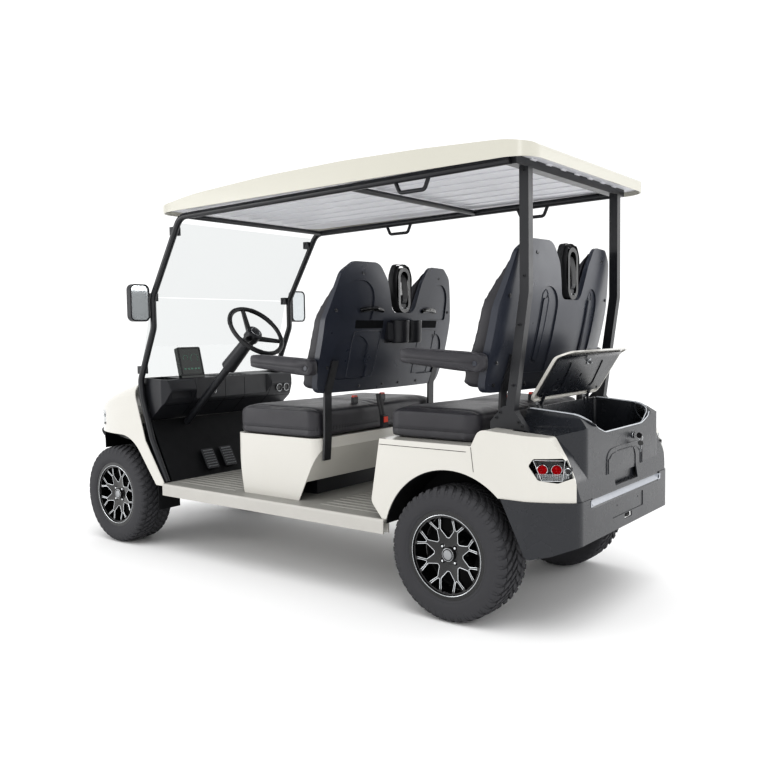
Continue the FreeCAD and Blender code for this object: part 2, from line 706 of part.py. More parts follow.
def chassis_frame():
    """Two rails, cross members, outriggers, spring brackets and the tow hitch."""
    corners = rail_profile()
    bends = [0.0, RAIL_BEND, RAIL_BEND, RAIL_BEND, RAIL_BEND, 0.0]
    rail = prism("x", corners, RAIL_X - RAIL_WIDTH / 2, RAIL_X + RAIL_WIDTH / 2, bends + bends)
    pieces = both_sides(rail)
    low = FLOOR_HEIGHT - FLOOR_THICKNESS - RAIL_HEIGHT
    inner = RAIL_X
    for share in CROSS_SHARES:
        y = FRONT_AXLE_Y + WHEELBASE * share
        pieces.append(block((-inner, y - CROSS_WIDTH / 2, low), (inner, y + CROSS_WIDTH / 2, low + RAIL_HEIGHT)))
    front_end = corners[0][0]
    rear_end = corners[5][0]
    front_low = low + RAIL_FRONT_RISE
    rear_low = low + RAIL_REAR_RISE
    for y, z in ((front_end, front_low), (rear_end - CROSS_WIDTH, rear_low)):
        pieces.append(block((-inner, y, z), (inner, y + CROSS_WIDTH, z + RAIL_HEIGHT)))
    top = low + RAIL_HEIGHT
    for share in OUTRIGGER_SHARES:
        y = FRONT_AXLE_Y + WHEELBASE * share
        arm = block(
            (inner, y - CROSS_WIDTH / 2, top - OUTRIGGER_HEIGHT),
            (SILL_OUTER_X - SILL_WIDTH, y + CROSS_WIDTH / 2, top))
        pieces.extend(both_sides(arm))
    for axle_y, axle_radius, rail_low in spring_frames():
        eye_z = spring_eye_z(axle_radius)
        for end in (-1, 1):
            y = axle_y + end * SPRING_HALF_LENGTH
            bracket = block(
                (RAIL_X - SPRING_WIDTH / 2, y - SPRING_BRACKET / 2, eye_z + SPRING_EYE_RADIUS),
                (RAIL_X + SPRING_WIDTH / 2, y + SPRING_BRACKET / 2, rail_low + RAIL_WALL_SHARE * RAIL_HEIGHT))
            pieces.extend(both_sides(bracket))
    hitch_y = REAR_Y - HITCH_WIDTH / 2
    hitch_z = rear_low
    hitch = prism(
        "z",
        [(-HITCH_WIDTH / 2, rear_end - CROSS_WIDTH), (HITCH_WIDTH / 2, rear_end - CROSS_WIDTH),
         (HITCH_WIDTH / 2, REAR_Y), (-HITCH_WIDTH / 2, REAR_Y)],
        hitch_z - HITCH_THICKNESS, hitch_z, [0.0, 0.0, HITCH_WIDTH / 3, HITCH_WIDTH / 3])
    pin = Part.makeCylinder(
        HITCH_PIN_RADIUS, HITCH_THICKNESS + 2 * OVERRUN, point(0, hitch_y, hitch_z - HITCH_THICKNESS - OVERRUN))
    return cut(fuse(pieces + [hitch]), pin)


def spring_eye_z(axle_radius):
    """Height of a spring's eyes over an axle tube."""
    return HUB_Z + axle_radius + SPRING_THICKNESS + SPRING_EYE_RADIUS


def leaf_spring(axle_y, axle_radius):
    """Leaf pack over an axle: one long bowed leaf with its eyes, thickened in the middle."""
    seat = HUB_Z + axle_radius + SEAT_GAP
    eye_z = spring_eye_z(axle_radius)
    half = SPRING_WIDTH / 2
    leaves = []
    shares = (1.0, 0.68, 0.38)
    leaf = SPRING_THICKNESS / len(shares)
    low_x = RAIL_X - half
    for i, share in enumerate(shares):
        reach = SPRING_HALF_LENGTH * share
        rise = (eye_z - seat - SPRING_THICKNESS + leaf / 2) * share ** 2
        bottom = seat + SPRING_THICKNESS - leaf * (i + 1)
        arcs = [
            Part.Arc(point(low_x, axle_y - reach, bottom + rise), point(low_x, axle_y, bottom),
                     point(low_x, axle_y + reach, bottom + rise)).toShape(),
            Part.LineSegment(point(low_x, axle_y + reach, bottom + rise),
                             point(low_x, axle_y + reach, bottom + rise + leaf)).toShape(),
            Part.Arc(point(low_x, axle_y + reach, bottom + rise + leaf), point(low_x, axle_y, bottom + leaf),
                     point(low_x, axle_y - reach, bottom + rise + leaf)).toShape(),
            Part.LineSegment(point(low_x, axle_y - reach, bottom + rise + leaf),
                             point(low_x, axle_y - reach, bottom + rise)).toShape()]
        leaves.append(Part.Face(Part.Wire(arcs)).extrude(X_AXIS * SPRING_WIDTH))
    for end in (-1, 1):
        y = axle_y + end * SPRING_HALF_LENGTH
        leaves.append(rod(point(low_x, y, eye_z), point(low_x + SPRING_WIDTH, y, eye_z), SPRING_EYE_RADIUS))
    return fuse(leaves)


def leaf_springs():
    """Four leaf packs."""
    packs = []
    for axle_y, axle_radius, _ in spring_frames():
        packs.extend(both_sides(leaf_spring(axle_y, axle_radius)))
    return packs


def front_axle():
    """Axle tube with a forked yoke and kingpin at each end."""
    ear_low = HUB_Z - KNUCKLE_HEIGHT / 2 - YOKE_EAR - SEAT_GAP
    ear_high = HUB_Z + KNUCKLE_HEIGHT / 2 + SEAT_GAP
    plate_x = YOKE_WEB_X
    pieces = [rod(point(-plate_x, FRONT_AXLE_Y, HUB_Z), point(plate_x, FRONT_AXLE_Y, HUB_Z), AXLE_TUBE_RADIUS)]
    for side in (-1, 1):
        x = side * KINGPIN_X
        for z in (ear_low, ear_high):
            pieces.append(Part.makeCylinder(YOKE_RADIUS, YOKE_EAR, point(x, FRONT_AXLE_Y, z)))
            reach = sorted((side * plate_x, x))
            pieces.append(block(
                (reach[0], FRONT_AXLE_Y - YOKE_RADIUS, z), (reach[1], FRONT_AXLE_Y + YOKE_RADIUS, z + YOKE_EAR)))
        web = sorted((side * plate_x, side * (plate_x + YOKE_EAR)))
        pieces.append(block(
            (web[0], FRONT_AXLE_Y - YOKE_RADIUS, ear_low), (web[1], FRONT_AXLE_Y + YOKE_RADIUS, ear_high + YOKE_EAR)))
        pieces.append(Part.makeCylinder(KINGPIN_RADIUS, ear_high - ear_low, point(x, FRONT_AXLE_Y, ear_low)))
    return fuse(pieces)


def tie_rod_z():
    """Underside of the tie rod's eyes."""
    return HUB_Z - KNUCKLE_HEIGHT / 2 + STEER_ARM_THICKNESS + SEAT_GAP


def knuckle():
    """Left steering knuckle: kingpin boss, spindle, backing plate and steering arm."""
    base = HUB_Z - KNUCKLE_HEIGHT / 2
    boss = Part.makeCylinder(YOKE_RADIUS - RUNNING_GAP, KNUCKLE_HEIGHT, point(KINGPIN_X, FRONT_AXLE_Y, base))
    low, high = spindle_span()
    start = point(KINGPIN_X, FRONT_AXLE_Y, HUB_Z)
    spindle = rod(start, point(WHEEL_X + high - RIM_WALL, FRONT_AXLE_Y, HUB_Z), SPINDLE_RADIUS)
    plate_x = WHEEL_X + low - BACKING_THICKNESS - BRAKE_GAP
    shoulder = rod(start, point(plate_x, FRONT_AXLE_Y, HUB_Z), SPINDLE_RADIUS + RIM_WALL)
    plate = rod(point(plate_x, FRONT_AXLE_Y, HUB_Z), point(plate_x + BACKING_THICKNESS, FRONT_AXLE_Y, HUB_Z), BACKING_RADIUS)
    arm_end = FRONT_AXLE_Y + STEER_ARM_LENGTH
    arm = block(
        (KINGPIN_X - STEER_ARM_WIDTH / 2, FRONT_AXLE_Y, base),
        (KINGPIN_X + STEER_ARM_WIDTH / 2, arm_end, base + STEER_ARM_THICKNESS))
    eye = Part.makeCylinder(TIE_EYE_RADIUS, STEER_ARM_THICKNESS, point(KINGPIN_X, arm_end, base))
    pin = Part.makeCylinder(STEER_PIN_RADIUS, STEER_ARM_THICKNESS + TIE_EYE_HEIGHT, point(KINGPIN_X, arm_end, base))
    bore = Part.makeCylinder(
        KINGPIN_RADIUS + RUNNING_GAP, KNUCKLE_HEIGHT + 2 * OVERRUN, point(KINGPIN_X, FRONT_AXLE_Y, base - OVERRUN))
    return cut(fuse([boss, spindle, shoulder, plate, arm, eye, pin]), bore)


def tie_rod():
    """Rod between the two steering arms, with an eye over each pin."""
    y = FRONT_AXLE_Y + STEER_ARM_LENGTH
    z = tie_rod_z()
    middle = z + TIE_EYE_HEIGHT / 2
    pieces = [rod(point(-KINGPIN_X, y, middle), point(KINGPIN_X, y, middle), TIE_ROD_RADIUS - RUNNING_GAP)]
    bores = []
    for x, gap in ((KINGPIN_X, RUNNING_GAP), (-KINGPIN_X, OPEN_PIVOT_GAP)):
        pieces.append(Part.makeCylinder(TIE_EYE_RADIUS, TIE_EYE_HEIGHT, point(x, y, z)))
        bores.append(Part.makeCylinder(
            STEER_PIN_RADIUS + gap, TIE_EYE_HEIGHT + 2 * OVERRUN, point(x, y, z - OVERRUN)))
    return cut(fuse(pieces), bores)


def rear_axle():
    """Axle tube with differential, electric motor, backing plates and wheel spindles."""
    low, high = spindle_span()
    plate_x = WHEEL_X + low - BACKING_THICKNESS - BRAKE_GAP
    tube_end = plate_x + BACKING_THICKNESS
    spindle_end = WHEEL_X + high - RIM_WALL
    centre = point(0, REAR_AXLE_Y, HUB_Z)
    pieces = [
        rod(centre - X_AXIS * plate_x, centre + X_AXIS * plate_x, REAR_TUBE_RADIUS),
        rod(centre - X_AXIS * spindle_end, centre + X_AXIS * spindle_end, SPINDLE_RADIUS),
        revolve([(-DIFF_WIDTH / 2, 0), (-DIFF_WIDTH / 2, DIFF_RADIUS / 2), (-DIFF_WIDTH / 4, DIFF_RADIUS),
                 (DIFF_WIDTH / 4, DIFF_RADIUS), (DIFF_WIDTH / 2, DIFF_RADIUS / 2), (DIFF_WIDTH / 2, 0)],
                [0.0, 0.0, DIFF_WIDTH / 8, DIFF_WIDTH / 8, 0.0, 0.0], centre, X_AXIS)]
    for side in (-1, 1):
        pieces.append(rod(centre + X_AXIS * side * plate_x, centre + X_AXIS * side * tube_end, BACKING_RADIUS))
    shaft = centre - Y_AXIS * (MOTOR_RADIUS + REAR_TUBE_RADIUS * 3 / 2)
    case_high = DIFF_RADIUS / 2
    case_corners = [(REAR_AXLE_Y, HUB_Z - case_high), (shaft.y, HUB_Z - case_high), (shaft.y, HUB_Z + case_high),
                    (REAR_AXLE_Y, HUB_Z + case_high)]
    pieces.append(prism("x", case_corners, -DIFF_WIDTH / 4, DIFF_WIDTH / 4, 0.0))
    pieces.append(rod(shaft - X_AXIS * MOTOR_LENGTH, shaft + X_AXIS * DIFF_WIDTH / 4, MOTOR_RADIUS))
    return fuse(pieces)


# Floor

def floor():
    """Floor panel with a channel-shaped sill along each side."""
    inner = SILL_OUTER_X - SILL_WIDTH
    bottom = FLOOR_HEIGHT - SILL_HEIGHT
    under = FLOOR_HEIGHT - FLOOR_THICKNESS
    right = [
        (SILL_OUTER_X, FLOOR_HEIGHT), (SILL_OUTER_X, bottom), (SILL_OUTER_X - SILL_WALL, bottom),
        (SILL_OUTER_X - SILL_WALL, under), (inner + SILL_WALL, under), (inner + SILL_WALL, bottom),
        (inner, bottom), (inner, under)]
    left = [(-x, z) for x, z in reversed(right)]
    radii = [SILL_CORNER] + [0.0] * (len(right) - 1)
    return prism("y", right + left, FLOOR_FRONT_Y, FLOOR_REAR_Y, radii + radii[::-1])


def toe_board():
    """Leaning panel from the floor's front edge up to the dash."""
    corners = [
        (FLOOR_FRONT_Y - SEAT_GAP, FLOOR_HEIGHT - FLOOR_THICKNESS), (FLOOR_FRONT_Y - SEAT_GAP, FLOOR_HEIGHT),
        (TOE_BOARD_TOP_Y + PANEL, TOE_BOARD_TOP_Z - SEAT_GAP), (TOE_BOARD_TOP_Y, TOE_BOARD_TOP_Z - SEAT_GAP),
        (FLOOR_FRONT_Y - SEAT_GAP - FLOOR_THICKNESS, FLOOR_HEIGHT - FLOOR_THICKNESS)]
    return prism("x", corners, -TOE_BOARD_HALF_WIDTH, TOE_BOARD_HALF_WIDTH)


# Front body

def nose_section(y, half, top, bottom, drop):
    """Closed cross-section of the front body at one station."""
    right = [point(half * a, y, top - drop * b) for a, b in CROWN_SHARES]
    crown = right + [point(-p.x, p.y, p.z) for p in reversed(right)]
    curve = Part.BSplineCurve()
    curve.buildFromPoles(crown, False, 3)
    ends = [crown[0], point(half, y, bottom), point(-half, y, bottom), crown[-1]]
    edges = [curve.toShape()]
    for a, b in ((ends[3], ends[2]), (ends[2], ends[1]), (ends[1], ends[0])):
        edges.append(Part.LineSegment(a, b).toShape())
    return Part.Wire(edges)


def front_body_form(inset):
    """Solid form of the front body, drawn in by the inset on its outer faces."""
    length = FRONT_BODY_REAR_Y - FRONT_BODY_NOSE_Y
    bottom = FLOOR_HEIGHT - SILL_HEIGHT / 4 - (OVERRUN if inset else 0)
    rise = COWL_Z - FENDER_EDGE_Z
    wires = []
    for station, wide, high in zip(NOSE_STATION_SHARES, NOSE_WIDTH_SHARES, NOSE_HEIGHT_SHARES):
        y = FRONT_BODY_NOSE_Y + inset + (length - inset) * station
        half = BODY_HALF_WIDTH * wide - inset
        top = FENDER_EDGE_Z + rise * high - inset
        drop = CROWN_DROP * min(1.0, high)
        wires.append(nose_section(y, half, top, bottom, drop))
    return Part.makeLoft(wires, True, False)


def arch_cutter(axle_y, inner_x, radius):
    """Cylinder of a wheel arch, from an inner plane out past the body, on both sides."""
    centre = point(inner_x, axle_y, HUB_Z + ARCH_RISE)
    return both_sides(Part.makeCylinder(radius, BODY_HALF_WIDTH + OVERRUN - inner_x, centre, X_AXIS))


def a_pillar_line():
    """Side-view corners of the A-pillar's centre line."""
    front = FRONT_AXLE_Y + A_PILLAR_FRONT_OFFSET
    height = RAIL_Z - FLOOR_HEIGHT
    return [(front + A_PILLAR_REACH * a, FLOOR_HEIGHT + height * b) for a, b in A_PILLAR_SHARES]


def body_edge_y(z, gap):
    """Depth of the front body's rear edge at a height, moved back by a gap."""
    line = a_pillar_line()
    for (y0, z0), (y1, z1) in zip(line, line[1:]):
        if z0 <= z < z1:
            return y0 + (y1 - y0) * (z - z0) / (z1 - z0) - BODY_EDGE_AHEAD + gap
    return FRONT_BODY_REAR_Y


def front_arch():
    """Cutter for the opening over the left front wheel."""
    low_z = HUB_Z + ARCH_RISE
    corners = [(FRONT_AXLE_Y + ARCH_RADIUS * a, low_z + ARCH_RADIUS * b) for a, b in FRONT_ARCH_SHARES]
    bends = [ARCH_RADIUS * share for share in FRONT_ARCH_BEND_SHARES]
    return prism("x", corners, LINER_INNER_X, BODY_HALF_WIDTH + OVERRUN, bends)


def front_body():
    """White shell: nose, bonnet and front fenders, open below and behind."""
    shell = cut(front_body_form(0.0), front_body_form(PANEL))
    span = BODY_HALF_WIDTH + OVERRUN
    nose = FRONT_BODY_NOSE_Y - OVERRUN
    low = FLOOR_HEIGHT - SILL_HEIGHT
    below_nose = block((-span, nose, low), (span, FRONT_AXLE_Y, FENDER_EDGE_Z))
    pillar = a_pillar_line()
    ahead = [(y - BODY_EDGE_AHEAD, z) for y, z in pillar[1:5]]
    foot = (FRONT_BODY_REAR_Y, FLOOR_HEIGHT)
    edge = [(FRONT_BODY_REAR_Y, low - OVERRUN), foot] + ahead + [(-low, pillar[4][1]), (-low, low - OVERRUN)]
    rear = prism("x", edge, -span, span)
    tools = [below_nose, rear] + both_sides(front_arch()) + headlamp_zone(0.0)
    return cut(shell, tools)


def liner_outline(inset):
    """Side-view corners of the front wheelhouse, closed along its open foot."""
    foot = FLOOR_HEIGHT - SILL_HEIGHT / 4
    height = LINER_TOP_Z - foot
    points = [(FRONT_AXLE_Y + ARCH_RADIUS * a, foot + height * b) for a, b in LINER_SHARES]
    points[0] = (points[0][0] + inset, points[0][1] - (OVERRUN if inset else 0))
    points[1] = (points[1][0] + inset, points[1][1] - inset)
    points[2] = (points[2][0] - inset, points[2][1] - inset)
    points[3] = (points[3][0] - inset, points[3][1])
    points[4] = (points[4][0] - inset, points[4][1] - (OVERRUN if inset else 0))
    return points


def front_liners():
    """Wheelhouse liners: a bent sheet over each front wheel, closed by its inner wall."""
    width = BODY_HALF_WIDTH
    outer = prism("x", liner_outline(0.0), LINER_INNER_X, width, [0.0, ARCH_RADIUS / 4, ARCH_RADIUS / 4, ARCH_RADIUS / 4, 0.0])
    bend = ARCH_RADIUS / 4 - LINER_WALL
    hollow = prism(
        "x", liner_outline(LINER_WALL), LINER_INNER_X + LINER_WALL, width, [0.0, bend, bend, bend, 0.0])
    liner = cut(outer, hollow).common(front_body_form(PANEL + SEAT_GAP))
    rear_y, foot = liner_outline(0.0)[-1]
    flap = block((FLAP_INNER_X, rear_y - LINER_WALL, FLAP_BOTTOM_Z), (BODY_HALF_WIDTH - PANEL * 2, rear_y, foot + PANEL))
    return both_sides(fuse([liner, flap]))


# Front bumper and lamps

def front_bumper():
    """Bent tube across the nose with two legs back to the frame horns."""
    y = FRONT_Y + BUMPER_TUBE_RADIUS
    tip_y = y + BUMPER_SWEEP
    path = [
        point(-BUMPER_HALF_WIDTH, tip_y, BUMPER_Z), point(-BUMPER_HALF_WIDTH * 0.6, y, BUMPER_Z),
        point(BUMPER_HALF_WIDTH * 0.6, y, BUMPER_Z), point(BUMPER_HALF_WIDTH, tip_y, BUMPER_Z)]
    bar = tube(path, BUMPER_TUBE_RADIUS, BUMPER_BEND)
    low = FLOOR_HEIGHT - FLOOR_THICKNESS - RAIL_HEIGHT + RAIL_FRONT_RISE
    rail_end = rail_profile()[0][0]
    mid = low + RAIL_HEIGHT / 2
    leg_path = [
        point(BUMPER_LEG_X, y, BUMPER_Z), point(BUMPER_LEG_X, y, mid),
        point(BUMPER_LEG_X, rail_end - SEAT_GAP, mid)]
    leg = tube(leg_path, BUMPER_TUBE_RADIUS * 0.8, BUMPER_TUBE_RADIUS * 2)
    return fuse([bar] + both_sides(leg))


def headlamps():
    """Corner lamps that fill their recess in the nose."""
    form = cut(front_body_form(0.0), front_body_form(HEADLAMP_DEPTH))
    return [form.common(zone) for zone in headlamp_zone(SEAT_GAP)]


def headlamp_zone(gap):
    """Space of both headlamps, drawn in by a gap."""
    zone = block(
        (HEADLAMP_INNER_X + gap, FRONT_BODY_NOSE_Y - OVERRUN, HEADLAMP_BOTTOM_Z + gap),
        (BODY_HALF_WIDTH, FRONT_AXLE_Y - ARCH_RADIUS / 2 - gap, HEADLAMP_BOTTOM_Z + HEADLAMP_HEIGHT - gap))
    return both_sides(zone)


# Dashboard

def dash_body():
    """Solid dash, its front face along the front body's edge."""
    line = a_pillar_line()
    corners = [
        (body_edge_y(DASH_TOP_Z, SEAT_GAP), DASH_TOP_Z),
        (DASH_REAR_Y - DASH_CORNER, DASH_TOP_Z - DASH_CORNER / 2),
        (DASH_REAR_Y, DASH_TOP_Z - BIN_DEPTH), (DASH_REAR_Y - DASH_CORNER * 2, DASH_TOP_Z - BIN_DEPTH * 2),
        (body_edge_y(TOE_BOARD_TOP_Z, PANEL), TOE_BOARD_TOP_Z),
        (body_edge_y(TOE_BOARD_TOP_Z, SEAT_GAP), TOE_BOARD_TOP_Z)]
    corners += [(body_edge_y(z, SEAT_GAP), z) for _, z in line[2:4]]
    radii = [0.0, DASH_CORNER, DASH_CORNER, DASH_CORNER * 2] + [0.0] * 4
    body = prism("x", corners, -DASH_HALF_WIDTH, DASH_HALF_WIDTH, radii)
    inner = DASH_POD_INNER_X
    front = FRONT_AXLE_Y
    right = [(DASH_HALF_WIDTH, front), (DASH_HALF_WIDTH, DASH_REAR_Y - DASH_END_SWEEP),
             (DASH_HALF_WIDTH - DASH_END_SWEEP / 2, DASH_REAR_Y), (inner, DASH_REAR_Y),
             (inner - DASH_CORNER, DASH_REAR_Y - DASH_POD_DEPTH)]
    left = [(-x, y) for x, y in reversed(right)]
    bends = [0.0, DASH_CORNER, DASH_CORNER, DASH_CORNER / 2, DASH_CORNER / 2]
    return body.common(prism("z", right + left, TOE_BOARD_TOP_Z, DASH_TOP_Z, bends + bends[::-1]))


def dashboard():
    """Moulded dash with a pod at each end: an open bin in both, two outlets on the right, a glove panel on the left."""
    front = body_edge_y(DASH_TOP_Z - DASH_CORNER, PANEL * 5)
    rear = DASH_REAR_Y - DASH_CORNER * 2
    pocket = prism(
        "z", [(BIN_INNER_X, front), (BIN_OUTER_X, front), (BIN_OUTER_X, rear - DASH_CORNER), (BIN_OUTER_X - DASH_CORNER, rear),
              (BIN_INNER_X, rear)], DASH_TOP_Z - BIN_DEPTH, DASH_TOP_Z + OVERRUN, BIN_CORNER)
    outlets = []
    middle = (DASH_POD_INNER_X + BIN_OUTER_X) / 2
    for side in (-1, 1):
        start = point(side * OUTLET_SPACING / 2 - middle, DASH_REAR_Y - OUTLET_DEPTH - DASH_CORNER, OUTLET_Z)
        outlets.append(Part.makeCylinder(OUTLET_RADIUS, OUTLET_DEPTH + OVERRUN * 4, start, Y_AXIS))
    low = OUTLET_Z - OUTLET_RADIUS * 2
    high = OUTLET_Z + OUTLET_RADIUS
    glove = prism(
        "y", [(DASH_POD_INNER_X + GLOVE_MARGIN, low), (BIN_OUTER_X - GLOVE_MARGIN * 2, low), (BIN_OUTER_X - GLOVE_MARGIN, high),
              (DASH_POD_INNER_X + GLOVE_MARGIN, high)], DASH_REAR_Y - DASH_CORNER - GLOVE_DEPTH, DASH_REAR_Y + OVERRUN, PANEL)
    return cut(dash_body(), both_sides(pocket) + outlets + [glove])


def display():
    """Screen that stands on the dash behind the steering wheel."""
    low = DASH_TOP_Z - DISPLAY_THICKNESS / 2
    y = DASH_REAR_Y - DASH_CORNER * 3
    panel = prism(
        "y",
        [(STEERING_X - DISPLAY_WIDTH / 2, low), (STEERING_X + DISPLAY_WIDTH / 2, low),
         (STEERING_X + DISPLAY_WIDTH / 2, low + DISPLAY_HEIGHT), (STEERING_X - DISPLAY_WIDTH / 2, low + DISPLAY_HEIGHT)],
        y - DISPLAY_THICKNESS, y, DISPLAY_THICKNESS / 2)
    panel = turned(panel, point(0, y, low), X_AXIS, DISPLAY_LEAN)
    return cut(panel, shifted(dash_body(), 0, 0, SEAT_GAP))


def toe_board_y(z):
    """Depth of the toe board's rear face at a height."""
    share = (z - FLOOR_HEIGHT) / (TOE_BOARD_TOP_Z - SEAT_GAP - FLOOR_HEIGHT)
    front = TOE_BOARD_TOP_Y + PANEL
    return FLOOR_FRONT_Y - SEAT_GAP + share * (front - FLOOR_FRONT_Y + SEAT_GAP)


def ahead_of_toe_board(x, half):
    """Space ahead of the toe board's rear face, for cutting what ends on it."""
    return prism("x", [
        (toe_board_y(FLOOR_HEIGHT) + SEAT_GAP, FLOOR_HEIGHT), (toe_board_y(TOE_BOARD_TOP_Z) + SEAT_GAP, TOE_BOARD_TOP_Z),
        (FRONT_AXLE_Y, TOE_BOARD_TOP_Z), (FRONT_AXLE_Y, FLOOR_HEIGHT)], x - half, x + half)


def column_axis():
    """Direction of the steering column, up and back to the driver."""
    tilt = math.radians(STEERING_TILT)
    return point(0, math.cos(tilt), math.sin(tilt))


def steering_column():
    """Column tube with a thicker shroud under the steering wheel."""
    axis = column_axis()
    top = point(STEERING_X, STEERING_Y, STEERING_Z) - axis * (STEERING_HUB_DROP + STEERING_HUB_HEIGHT)
    end = top - axis * COLUMN_LENGTH
    tube_part = rod(end, top, COLUMN_RADIUS)
    shroud = Part.makeCone(SHROUD_RADIUS, SHROUD_RADIUS * 0.8, SHROUD_LENGTH, top - axis * SHROUD_LENGTH, axis)
    return cut(fuse([tube_part, shroud]), ahead_of_toe_board(STEERING_X, SHROUD_RADIUS * 2))


def steering_wheel():
    """Ring, three dished spokes and hub."""
    axis = column_axis()
    centre = point(STEERING_X, STEERING_Y, STEERING_Z)
    ring = Part.makeTorus(STEERING_RING_RADIUS, STEERING_GRIP_RADIUS, centre, axis)
    hub_low = centre - axis * (STEERING_HUB_DROP + STEERING_HUB_HEIGHT - SEAT_GAP)
    hub = Part.makeCylinder(STEERING_HUB_RADIUS, STEERING_HUB_HEIGHT, hub_low, axis)
    across_y = axis.cross(X_AXIS)
    spokes = []
    for i in range(STEERING_SPOKES):
        angle = math.pi / 2 + 2 * math.pi * i / STEERING_SPOKES + math.pi
        out = X_AXIS * math.cos(angle) + across_y * math.sin(angle)
        side = axis.cross(out)
        start = centre - axis * (STEERING_HUB_DROP + STEERING_HUB_HEIGHT / 2) + out * STEERING_HUB_RADIUS * 0.6
        end = centre + out * STEERING_RING_RADIUS
        along = end - start
        lift = along.cross(side)
        lift.normalize()
        half = side * (STEERING_SPOKE_WIDTH / 2)
        deep = lift * (STEERING_SPOKE_THICKNESS / 2)
        near = [start - half - deep, start + half - deep, start + half + deep, start - half + deep]
        narrow = 0.7
        far = [end - half * narrow - deep * narrow, end + half * narrow - deep * narrow,
               end + half * narrow + deep * narrow, end - half * narrow + deep * narrow]
        wires = [Part.makePolygon(ring_points + [ring_points[0]]) for ring_points in (near, far)]
        spokes.append(Part.makeLoft(wires, True, True))
    return fuse([ring, hub] + spokes)


def pedals():
    """Brake and accelerator plates with their levers from the toe board."""
    found = []
    lean = math.radians(PEDAL_LEAN)
    for x in (BRAKE_PEDAL_X, THROTTLE_PEDAL_X):
        half = PEDAL_WIDTH / 2
        tall = PEDAL_HEIGHT / 2
        corners = [(x - half, PEDAL_Z - tall), (x + half, PEDAL_Z - tall), (x + half, PEDAL_Z + tall),
                   (x - half, PEDAL_Z + tall)]
        plate = prism("y", corners, PEDAL_Y - PEDAL_THICKNESS, PEDAL_Y, PEDAL_THICKNESS)
        plate = turned(plate, point(x, PEDAL_Y, PEDAL_Z), X_AXIS, PEDAL_LEAN)
        start = point(x, PEDAL_Y - PEDAL_THICKNESS / 2, PEDAL_Z)
        reach = start.y - toe_board_y(PEDAL_Z)
        along = point(0, -math.cos(lean), -math.sin(lean) / 2)
        lever = rod(start, start + along * (reach * 2), PEDAL_LEVER_RADIUS)
        found.append(cut(fuse([plate, lever]), ahead_of_toe_board(x, PEDAL_WIDTH)))
    return found


# Seats

def seat_pod():
    """Hollow white box under the front bench."""
    foot = FLOOR_HEIGHT
    side = [(POD_FRONT_FOOT_Y, foot), (POD_FRONT_TOP_Y, POD_TOP_Z), (POD_REAR_TOP_Y, POD_TOP_Z),
            (POD_REAR_TOP_Y, POD_TOP_Z - POD_CORNER), (POD_REAR_FOOT_Y, foot)]
    wall = POD_WALL
    inner_side = [
        (POD_FRONT_FOOT_Y + wall, foot - OVERRUN), (POD_FRONT_TOP_Y + wall, POD_TOP_Z - wall),
        (POD_REAR_TOP_Y - wall, POD_TOP_Z - wall), (POD_REAR_TOP_Y - wall, POD_TOP_Z - POD_CORNER),
        (POD_REAR_FOOT_Y - wall, foot - OVERRUN)]
    plan = [(POD_HALF_WIDTH, POD_FRONT_TOP_Y), (POD_HALF_WIDTH, POD_REAR_TOP_Y),
            (-POD_HALF_WIDTH, POD_REAR_TOP_Y), (-POD_HALF_WIDTH, POD_FRONT_TOP_Y)]
    inner_plan = [(x - math.copysign(wall, x), y) for x, y in plan]
    outer = prism("x", side, -POD_HALF_WIDTH, POD_HALF_WIDTH)
    outer = outer.common(prism("z", plan, foot, POD_TOP_Z, POD_CORNER))
    hollow = prism("x", inner_side, wall - POD_HALF_WIDTH, POD_HALF_WIDTH - wall)
    hollow = hollow.common(prism("z", inner_plan, foot - OVERRUN, POD_TOP_Z - wall, POD_CORNER - wall))
    return cut(outer, hollow)


def battery_pack():
    """Battery block inside the seat pod."""
    y = (POD_FRONT_FOOT_Y + POD_REAR_FOOT_Y) / 2
    return block(
        (-BATTERY_HALF_WIDTH, y - BATTERY_LENGTH / 2, FLOOR_HEIGHT),
        (BATTERY_HALF_WIDTH, y + BATTERY_LENGTH / 2, FLOOR_HEIGHT + BATTERY_HEIGHT))


def cushion(front, rear, bottom, height, half):
    """Bench cushion with rounded corners and edges."""
    plan = [(half, front), (half, rear), (-half, rear), (-half, front)]
    body = prism("z", plan, bottom, bottom + height, CUSHION_CORNER)
    profile = [(front, bottom), (front, bottom + height), (rear, bottom + height), (rear, bottom)]
    soft = prism("x", profile, -half, half, [CUSHION_EDGE / 2, CUSHION_EDGE * 2, CUSHION_EDGE, CUSHION_EDGE / 2])
    return body.common(soft)


def back_outline(dy, dz):
    """Front-view outline of a bench back with two humps, drawn out along the cart."""
    height = BACK_TOP_Z - BACK_BOTTOM_Z
    right = [(BACK_HALF_WIDTH * a, BACK_BOTTOM_Z + dz + height * b) for a, b in BACK_OUTLINE_SHARES]
    right.append((NOTCH_HALF_WIDTH, BACK_TOP_Z + dz - NOTCH_DEPTH))
    radii = [height * share for share in BACK_CORNER_SHARES] + [NOTCH_HALF_WIDTH / 2]
    left = [(-x, z) for x, z in reversed(right)]
    low = BACK_FRONT_Y + dy - BACK_WRAP * 2
    return prism("y", right + left, low, low + height, radii + radii[::-1])


def back_depth(share, column):
    """Depth of the back's front face (column 1) or spine (column 2) at a share of its height."""
    for low, high in zip(BACK_STATION_SHARES, BACK_STATION_SHARES[1:]):
        if low[0] <= share <= high[0]:
            part = (share - low[0]) / (high[0] - low[0])
            return BACK_FRONT_Y + (BACK_TOP_Z - BACK_BOTTOM_Z) * (low[column] + part * (high[column] - low[column]))
    return BACK_FRONT_Y


def wrap_at(x):
    """How far the shell comes forward at a distance from the middle."""
    return BACK_WRAP * (x / BACK_HALF_WIDTH) ** 2


